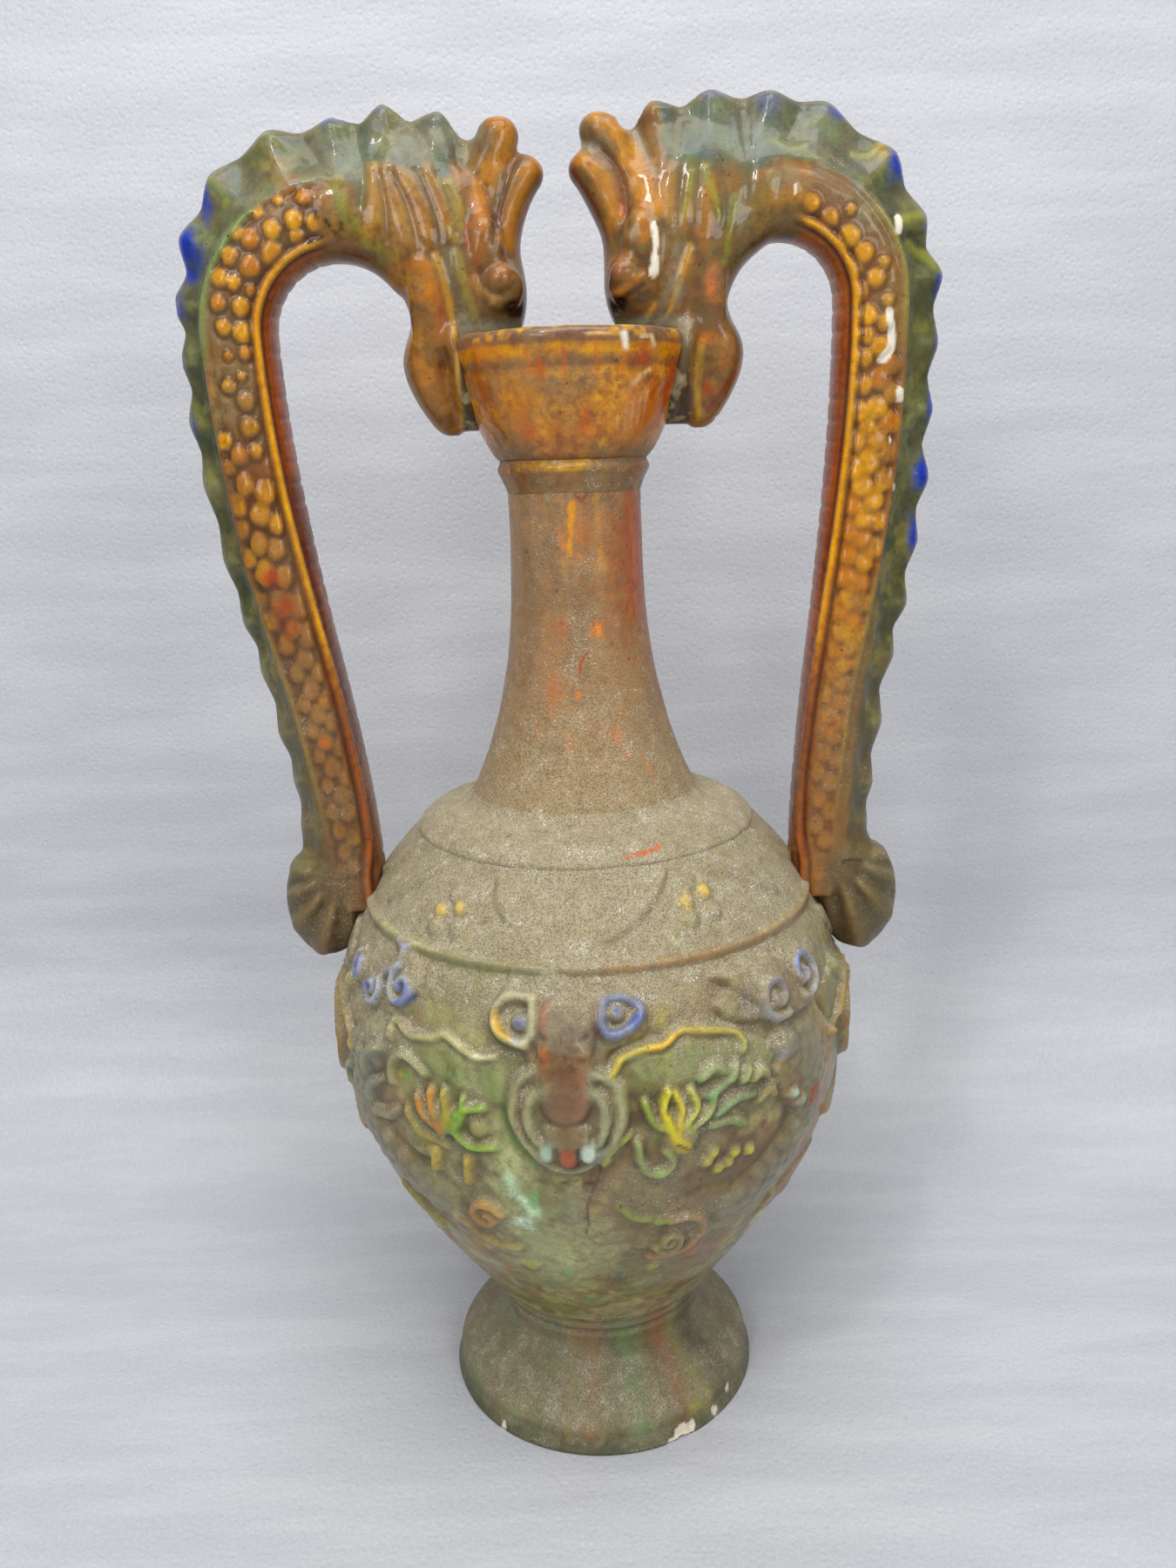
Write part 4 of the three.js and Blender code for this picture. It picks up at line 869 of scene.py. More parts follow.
def shapeFlank(s):  # under each handle: a leafy boss that stands well off the wall
    for middle in (-90, 90):
        s.turn = middle
        s.domes([(0, 152, 22, 24, 2.4, (150, 100, 48), 0.35, 0.1, 0.5),
            (0, 152, 11, 12, 4.0, (156, 96, 40), 0.5, 0.3, 0.6)])
        for hand in (-1, 1):
            for line in ([(0, 168), (9, 167), (15, 160), (16.6, 151), (13, 141), (5, 135)],
                    [(3, 163), (9, 159), (10.6, 151), (7, 143), (2, 141)]):
                s.bead([(a * hand, z) for a, z in line], 2.0, 3.8, (150, 98, 40), 0.5, 0.3, steps=22, taper=0.3)
            s.bead([(hand * 2, 172), (hand * 10, 171.4), (hand * 19, 169), (hand * 26, 163.5), (hand * 31, 161.5)],
                1.6, 2.6, (176, 134, 42), 0.7, 0.3, steps=18)
            s.bead([(hand * 4, 132), (hand * 10, 127), (hand * 18, 124), (hand * 25, 126)], 1.9, 2.4,
                (152, 118, 46), 0.6, 0.2, steps=14)
            s.dome(hand * 20, 178, 4.6, 3.8, 2.6, (120, 130, 84), 0.5)
    s.turn = 0


def paintBelly(s):
    points = s.points
    s.blots(1.0, [(30, 31, 0.42, 0.6, 0.7, (122, 106, 60))])
    s.blots(0.5, [(17, 37, 0.46, 0.6, 0.75, (126, 134, 62)), (12, 41, 0.5, 0.62, 0.7, (130, 90, 46))])
    s.blots(1.0, [(7, 45, 0.5, 0.62, 0.6, (92, 76, 44)), (6, 47, 0.53, 0.66, 0.6, (176, 170, 104))])
    shapeShoulder(s)
    for turn in (0, 180):
        s.turn = turn
        s.spots([(-29, 165, 24, 28, (138, 146, 82), 0.6), (-15, 130, 13, 26, (136, 146, 84), 0.65),
            (-10, 98, 20, 24, (168, 174, 112), 0.85, 0.25), (-19, 118, 12, 18, (168, 176, 116), 0.7, 0.3),
            (-17, 141, 8, 16, (186, 190, 130), 0.9, 0.5), (-26, 180, 12, 8, (178, 172, 116), 0.7, 0.4),
            (54, 172, 10, 14, (164, 148, 98), 0.7, 0.3), (-38, 124, 9, 10, (148, 134, 84), 0.6, 0.2),
            (-24, 78, 16, 10, (142, 138, 84), 0.5), (22, 124, 26, 24, (112, 88, 56), 0.7),
            (16, 188, 14, 8, (146, 112, 66), 0.6), (20, 92, 28, 20, (112, 90, 58), 0.6),
            (-50, 110, 22, 24, (122, 112, 66), 0.55), (44, 176, 10, 26, (118, 96, 62), 0.5),
            (58, 130, 12, 34, (150, 92, 36), 0.7, 0.3), (56, 150, 7, 22, (178, 120, 44), 0.6, 0.4),
            (-58, 140, 5, 30, (150, 116, 56), 0.5, 0.2)])
        s.runs([((-17, 128, -14.6, 118, -14, 108), 5.5, (150, 164, 110), 0.6, 0.35),
            ((-18, 134, -17.6, 128, -14.4, 122.4, -13.4, 119), 2.6, (196, 226, 180), 0.95, 0.6)])
        s.spots([(-13.2, 126, 2.0, 3.8, (122, 196, 120), 0.75, 0.5),
            (-16.4, 114.6, 5.0, 3.2, (204, 234, 206), 1.0, 0.6), (-6, 124, 4.5, 16, (136, 150, 116), 0.45)])
        s.run((-20, 172, -17.6, 160, -16, 148, -12, 140), 2.2, (104, 142, 52), 0.65, 0.3)
        for a, z, w, t, shade in ((-19, 90, 3.6, 4, (166, 172, 56)), (-34, 92, 4.6, 5, (172, 120, 54)),
                (36, 90, 4.4, 5, (168, 122, 52)), (-41, 99, 4, 3, (154, 156, 58)),
                (-9, 88, 2.4, 5, (110, 156, 84)), (14, 88, 3, 4, (160, 152, 52)), (25, 92, 3.2, 5, (160, 98, 50)),
                (47, 92, 4.4, 6, (184, 194, 130)), (-27, 84, 3, 4, (150, 98, 52)), (5, 84, 3, 6, (52, 70, 62)),
                (56, 100, 4, 3, (176, 106, 46)), (-14, 80, 5, 6, (110, 134, 70)), (-48, 86, 4, 6, (150, 92, 44)),
                (44, 80, 5, 5, (96, 118, 60)), (14, 74, 6, 5, (96, 104, 58)), (-4, 66, 7, 5, (118, 142, 84)),
                (30, 68, 7, 6, (122, 88, 50)), (-26, 66, 6, 6, (124, 104, 58))):
            s.dome(a, z, w * 1.1, t * 1.1, 0.7)
            s.spot(a, z, w, t, shade, 0.75, 0.4)
        s.run((47, 96, 52, 86), 2.4, (216, 212, 170), 0.8, 0.4)
        shapeMask(s)
        shapeSide(s, -1)
        shapeSide(s, 1)
        s.run((0.6, 141, 0.2, 136, -1.4, 129, -2.4, 123, -2.2, 116, -3.2, 109), 0.5, (44, 28, 18), 0.95)
        s.groove((0.6, 141, 0.2, 136, -1.4, 129, -2.4, 123, -2.2, 116, -3.2, 109), 0.7, 0.5)
        s.run((-8, 133.5, -4, 134.8, -0.6, 133.6), 0.45, (58, 36, 24), 0.8)
        s.spot(-2.6, 118.6, 1.3, 1.5, (56, 36, 26), 0.9)
    shapeFlank(s)
    for k in range(5):
        s.detail -= (0.5 - 0.06 * k) * np.exp(-((s.up - (47.2 + k * 2.6)) / 0.7) ** 2)
    s.detail += 0.8 * hump(s.up, 49, 1.2)
    # Painted shade: darker towards the bottom of the belly above the foot, and in patches lower on the belly
    s.dark = 0.45 * ramp(-s.up, -50, -45) + 0.22 * ramp(-s.up, -84,
        -56) * ramp(cloudy(points * np.array([0.4, 0.4, 2]), 9, 49), 0.5, 0.62)
    top = ramp(s.up, 186, 210)
    s.dab(top * 0.45, (158, 146, 112))
    body = 0.08 + 0.3 * ramp(cloudy(points, 16, 51), 0.42, 0.6)
    masked = ramp(s.up, 138, 146) * (1 - ramp(s.up, 186, 196)) * ramp(-np.abs(s.across + 5.4), -17, -12)
    return np.clip(body * (1 - 0.5 * masked) + 0.5 * ramp(s.up, 180, 208), 0, 0.92)


bellySeam, shoulderTop = 152.0, 228.0


def bellySide(low, high, rows):
    heights = np.linspace(low, high, 400)
    line = np.stack([bellyRadiusAt(heights), heights], axis=1)
    walk = np.concatenate([[0], np.cumsum(np.hypot(*np.diff(line, axis=0).T))])
    even = np.interp(np.linspace(0, walk[-1], rows), walk, heights)
    return np.stack([bellyRadiusAt(even), even], axis=1)


def sprigNodes(pieces, hands=("left_", "right_")):
    return [f"{face}_{hand}{piece}" for face in ("front", "back") for hand in hands for piece in pieces]


lowNodes = ["lower_belly"] + sprigNodes(["claw", "coil", "lower_cloud"]) + ["left_side_leaf", "right_side_leaf"]
highNodes = ["upper_belly"] + sprigNodes(["mask", "lappet", "lappet_border"],
    [""]) + sprigNodes(["wing", "cloud", "floret"])

lowSide, highSide = bellySide(44.4, bellySeam, 120), bellySide(bellySeam, shoulderTop - 0.2, 108)
belly = Thrown(np.vstack([[[0.05, 44.4], [30, 44.4]], lowSide, highSide[1:]]), (154, 136, 78), paintBelly, 0.45)
lowInside = np.vstack([innerWall(np.linspace(bellySeam - 0.1, 52, 14), bellyRadiusAt), [[20, 51.3], [0.05, 51.3]]])
belly.piece("lowerBellySkin", lowNodes, "dusty_glaze", dustyGlaze, lowInside, 0, 2 + len(lowSide), True)
highInside = innerWall(np.linspace(shoulderTop - 0.3, bellySeam + 0.1, 12), bellyRadiusAt)
belly.piece("upperBellySkin", highNodes, "dusty_glaze", dustyGlaze, highInside, 1 + len(lowSide))


# Collar and neck
def paintCollar(s):
    s.blots(1.0, [(14, 61, 0.4, 0.7, 0.5, (142, 122, 84))])
    s.detail += 0.5 * (cloudy(s.points, 9, 65) - 0.5) * 2
    for turn in (0, 180):
        s.turn = turn
        s.runs([((12, 228.8, 16, 229.4, 20, 229.3, 25, 230.2), 0.8, (206, 92, 30), 1.0, 0.6),
            ((14, 228.5, 19, 229.0), 0.6, (176, 100, 44), 0.8, 0.5)])
        s.spot(12, 228.6, 3, 1.2, (180, 110, 56), 0.6, 0.3)
        s.run((-31, 234.5, -30, 233), 0.5, (52, 44, 30), 0.8)
    s.turn = 0
    s.dab(ramp(s.up, 232, 238) * 0.9, (158, 136, 100))
    # Painted shade in the crease under the collar's edge and where the neck meets it
    s.dark = 0.12 * ramp(-s.up, -226.4, -225.6) + 0.1 * ramp(s.up, 236.2, 237.4)
    return np.clip(0.62 + 0.3 * cloudy(s.points, 12, 63), 0, 1) * (1 - 0.5 * ramp(s.up, 232, 238))


collarOut = spline([(57.6, 224.4), (59.2, 225.2), (59.9, 226.3), (59.6, 227.6), (58.4, 228.8), (56.8, 230.0),
    (55.0, 231.2), (53.2, 232.2), (50.5, 233.0), (47.5, 233.7), (44.8, 234.6), (42.6, 235.8), (41.2, 237.1),
    (40.2, 238.5)], 60)
collarIn = np.array([(35.2, 238.2), (34.9, 233), (34.9, 228.5), (50, 226.6)])
collar = Thrown(collarOut, (150, 134, 100), paintCollar, 0.55)
collar.piece("collarSkin", ["shoulder_collar"], "dusty_glaze", dustyGlaze, collarIn)


def paintNeck(s):
    points = s.points
    tall = points * np.array([1, 1, 0.4])
    low = ramp(-s.up, -290, -243)
    s.blots(0.4, [(13, 71, 0.42, 0.62, 0.7, (164, 98, 42)), (8, 73, 0.5, 0.66, 0.6, (122, 84, 50))])
    s.blots(1.0, [(5, 75, 0.56, 0.7, 0.5, (186, 124, 56))])
    s.dab(low * 0.5, (136, 122, 86))
    s.dab(ramp(-s.up, -252, -239) * 0.85, (150, 134, 100))
    for turn in (0, 180):
        s.turn = turn
        for a, z, w, t, shade, much in ((14, 297, 2.6, 4.0, (222, 128, 30), 0.9),
                (-14, 297, 3.0, 4, (176, 92, 40), 0.6), (-20, 275, 4.0, 9, (178, 100, 44), 0.7),
                (-2, 276, 1.6, 2.0, (216, 122, 30), 0.8), (22, 262, 4, 5.5, (196, 122, 56), 0.7),
                (26, 256, 2.0, 1.8, (216, 104, 36), 0.8), (-8, 260, 2.0, 4.6, (196, 124, 58), 0.6),
                (2, 330, 8, 9, (186, 108, 44), 0.6), (48, 312, 13, 30, (158, 82, 34), 0.75),
                (66, 322, 9, 30, (178, 62, 18), 0.75), (78, 300, 9, 40, (150, 62, 26), 0.6),
                (-60, 300, 14, 40, (140, 112, 76), 0.5), (-30, 263, 2, 3, (190, 112, 50), 0.6),
                (20, 318, 3, 5, (214, 150, 50), 0.5)):
            s.spot(a, z, w, t, shade, much, 0.3)
        s.runs([((-6, 322, -4, 332, -2, 338), 1.3, (222, 150, 26), 0.95, 0.6),
            ((-14, 330, -10, 324, -6, 328), 1.2, (196, 118, 40), 0.7, 0.4),
            ((0, 340, 6, 338.5, 10, 340), 0.6, (120, 40, 22), 0.8, 0.4),
            ((-1, 282, 0, 285.4, 4, 288.6, 7, 289.6), 0.5, (186, 62, 20), 1.0, 0.5),
            ((36, 256, 38, 251, 41, 246), 0.9, (196, 122, 50), 0.85, 0.4),
            ((54, 342, 56, 330, 57, 312), 1.6, (196, 84, 18), 0.7, 0.5),
            ((18, 341, 19, 330, 20, 318), 1.3, (206, 142, 44), 0.5, 0.3)])
        s.spot(-44, 249, 0.8, 1.0, (30, 32, 18), 0.95)
        for k in range(22):
            s.spot(-76 + k * 7.3, 254 + (k * 37 % 80), 0.45, 0.5, (52, 36, 22), 0.9)
    s.turn = 0
    s.detail += 0.15 * (cloudy(tall, 6, 79) - 0.5) * 2
    # Painted shade at the top of the neck, under the bead
    s.dark = 0.35 * ramp(s.up, 339.5, 342)
    return np.clip(0.34 + 0.34 * low + 0.3 * (cloudy(points, 12, 77) - 0.5) + 0.25 * ramp(-s.up, -250, -238), 0, 1)


neckOut = column(237.4, 343.0, 0.95, neckRadiusAt)
neckIn = innerWall(np.linspace(342.8, 238, 16), neckRadiusAt)
neck = Thrown(neckOut, (152, 114, 70), paintNeck, 0.3)
neckGlaze = {
    **dustyGlaze, "lift": (1.4, 1.45, 1.0), "sink": (0.56, 0.44, 0.34), "glints": 0.7,
    "dust": colour(164, 142, 106), "mottle": 0.5, "thinShare": 0.6,
}
neck.piece("neckSkin", ["neck"], "dusty_glaze", neckGlaze, neckIn)


def paintBead(s):
    s.blots(1.0, [(7, 81, 0.4, 0.6, 0.6, (142, 84, 30))])
    s.dab(ramp(s.up, 347.0, 348.2) * ramp(cloudy(s.points, 7, 85) - 0.0016 * s.across, 0.44, 0.6) * 0.85,
        (206, 152, 24), 0.7)
    s.dab(ramp(-s.up, -345.6, -342.6) * 0.6, (136, 106, 60))
    s.detail += 0.25 * (cloudy(s.points, 8, 87) - 0.5) * 2
    # Painted shade at the top of the bead, under the cup
    s.dark = 0.4 * ramp(s.up, 349.8, 350.6)
    return np.clip(0.12 + 0.45 * ramp(cloudy(s.points, 8, 83), 0.45, 0.6) + 0.4 * ramp(s.up, 349.4, 351), 0, 1)


beadOut = spline([(22.55, 340.9), (23.1, 342.6), (23.9, 344.4), (24.6, 346.0), (25.4, 347.6), (25.5, 348.9),
    (24.9, 350.0), (24.6, 351.3)], 34)
beadIn = np.array([(20, 351.2), (19.95, 347), (20, 343.4)])
bead = Thrown(beadOut, (152, 108, 58), paintBead, 0.3)
bead.piece("beadSkin", ["neck_bead"], "amber_glaze", amberGlaze, beadIn)


# Mouth cup
def paintCup(s):
    points = s.points
    tall = points * np.array([1, 1, 0.5])
    wall = 1 - ramp(s.up, 377, 379)
    s.blots(0.5, [(12, 91, 0.46, 0.6, 0.8, (206, 118, 14), 0.5)])
    s.blots(1.0, [(15, 93, 0.46, 0.6, 0.75, (146, 104, 58), 0.1), (5, 95, 0.56, 0.67, 0.75, (222, 148, 16), 0.5),
        (4, 96, 0.6, 0.68, 0.5, (112, 60, 22), 0.3)])
    # A brown band under the lip: partly the glaze's own colour, partly painted shadow
    s.dab(hump(s.up, 379.6, 1.8) * 0.85 * ramp(cloudy(points, 14, 90), 0.3, 0.5), (122, 88, 58), 0.1)
    s.dab(ramp(s.up, 384.6, 385.6) * 0.9, (118, 86, 66), 0.1)
    s.dab(ramp(s.up, 386.0, 387.4) * ramp(cloudy(points, 7, 98), 0.54, 0.62) * 0.8, (206, 150, 40), 0.5)
    lip = hump(s.up - 383.0 - 0.8 * s.ragged, 0, 1.7) * ramp(cloudy(tall, 9, 97), 0.3, 0.5)
    s.dab(lip, (224, 152, 10), 0.8)
    s.dab(ramp(s.up, 389.4, 389.9) * 0.8, (214, 172, 84), 0.3)
    s.dab(hump(s.up, 353, 2.6) * 0.7, (120, 94, 62), 0.0)
    for turn in (0, 180):
        s.turn = turn
        for a, z, w, t, shade in ((-32, 369, 8, 9, (222, 140, 10)), (-26, 360, 4, 7, (206, 104, 10)),
                (8, 363, 3, 7, (212, 112, 8)), (22, 370, 9, 8, (226, 152, 16)), (34, 366, 13, 12, (218, 146, 44)),
                (46, 368, 4, 12, (208, 100, 8)), (60, 372, 5, 14, (186, 66, 8)), (36, 368, 6, 8, (222, 140, 60)),
                (-50, 374, 6, 10, (176, 96, 20)), (-14, 377, 3, 5, (200, 100, 16)),
                (-8, 355, 14, 4, (190, 118, 50)), (36, 381, 6, 4, (206, 92, 12)), (-44, 383, 8, 4, (216, 120, 14))):
            s.spot(a, z, w, t, shade, 0.8, 0.5)
        s.spot(-4, 373, 16, 4, (158, 118, 70), 0.4)
        for a in (-20, -3, 12, 25):
            s.run([(a, 384), (a + 1, 380), (a + 0.6, 376 - abs(a) % 4)], 1.0, (208, 112, 12), 0.5, 0.5)
        for k in range(5):
            s.run([(26 + k * 4.2, 364 + k * 1.8), (29 + k * 4.0, 358 + k * 1.2)], 0.35, (206, 184, 146), 0.55)
        s.runs([((31, 372.5, 36, 375.5, 41, 377), 1.0, (226, 190, 130), 0.7, 0.3),
            ((25.4, 386.8, 26.2, 383.8), 1.5, (240, 230, 206), 1.0),
            ((34, 386.6, 40, 386.8, 42, 384), 0.9, (236, 206, 150), 0.7, 0.4)])
    s.turn = 0
    s.detail += 0.3 * (cloudy(points, 10, 89) - 0.5) * 2
    # Painted shade under the lip band and where the cup meets the bead
    s.dark = 0.35 * hump(s.up, 378.6, 1.0) + 0.35 * ramp(-s.up, -353.2, -351.4)
    return np.clip(0.02 + 0.24 * ramp(cloudy(points, 13, 99), 0.44, 0.62) + 0.4 * hump(s.up, 354, 4) + 0.25
        * hump(s.up, 375, 3) * wall * ramp(-np.abs(s.across), -30, -10), 0, 0.9)


cupWall = column(351.0, 375.6, 0.8, lambda z: cupRadiusAt(np.maximum(z, 351.1)))
lipRows = spline([(37.1, 376.4), (37.3, 377.6), (37.35, 378.8), (37.7, 380.4), (38.5, 382.6), (39.1, 385.2),
    (39.1, 387.6), (38.3, 389.2), (36.9, 389.9), (35.6, 389.5), (34.9, 388.2)], 34)
cupInHeights = np.linspace(386, 351.5, 22)
cupIn = np.stack([np.minimum(cupRadiusAt(cupInHeights) - vase["cupWall"], 34.6), cupInHeights], axis=1)
cupIn = np.vstack([cupIn, [[17.2, 344.2], [19.4, 344.2]]])
cup = Thrown(np.vstack([[[21, 350.9]], cupWall, lipRows]), (198, 134, 46), paintCup, 0.12)
cup.piece("cupSkin", ["mouth_cup"], "amber_glaze", amberGlaze, cupIn)
print("vase skins made")


# Dragons: each one is built as overlapping clay shapes, melted into one skin, then carved and glazed.
# Places are (out from the axis, up) in mm; the left and right dragons were squeezed a little differently.

amber, ochre, umber, olive = (214, 134, 14), (176, 120, 40), (88, 46, 20), (140, 146, 44)
moss, cobalt, ember = (84, 102, 62), (16, 50, 168), (172, 52, 10)
dragonWork = {"voxel": 0.8, "modelling": 0.55, "deepest": -3, "highest": 3, "batch": 20000}

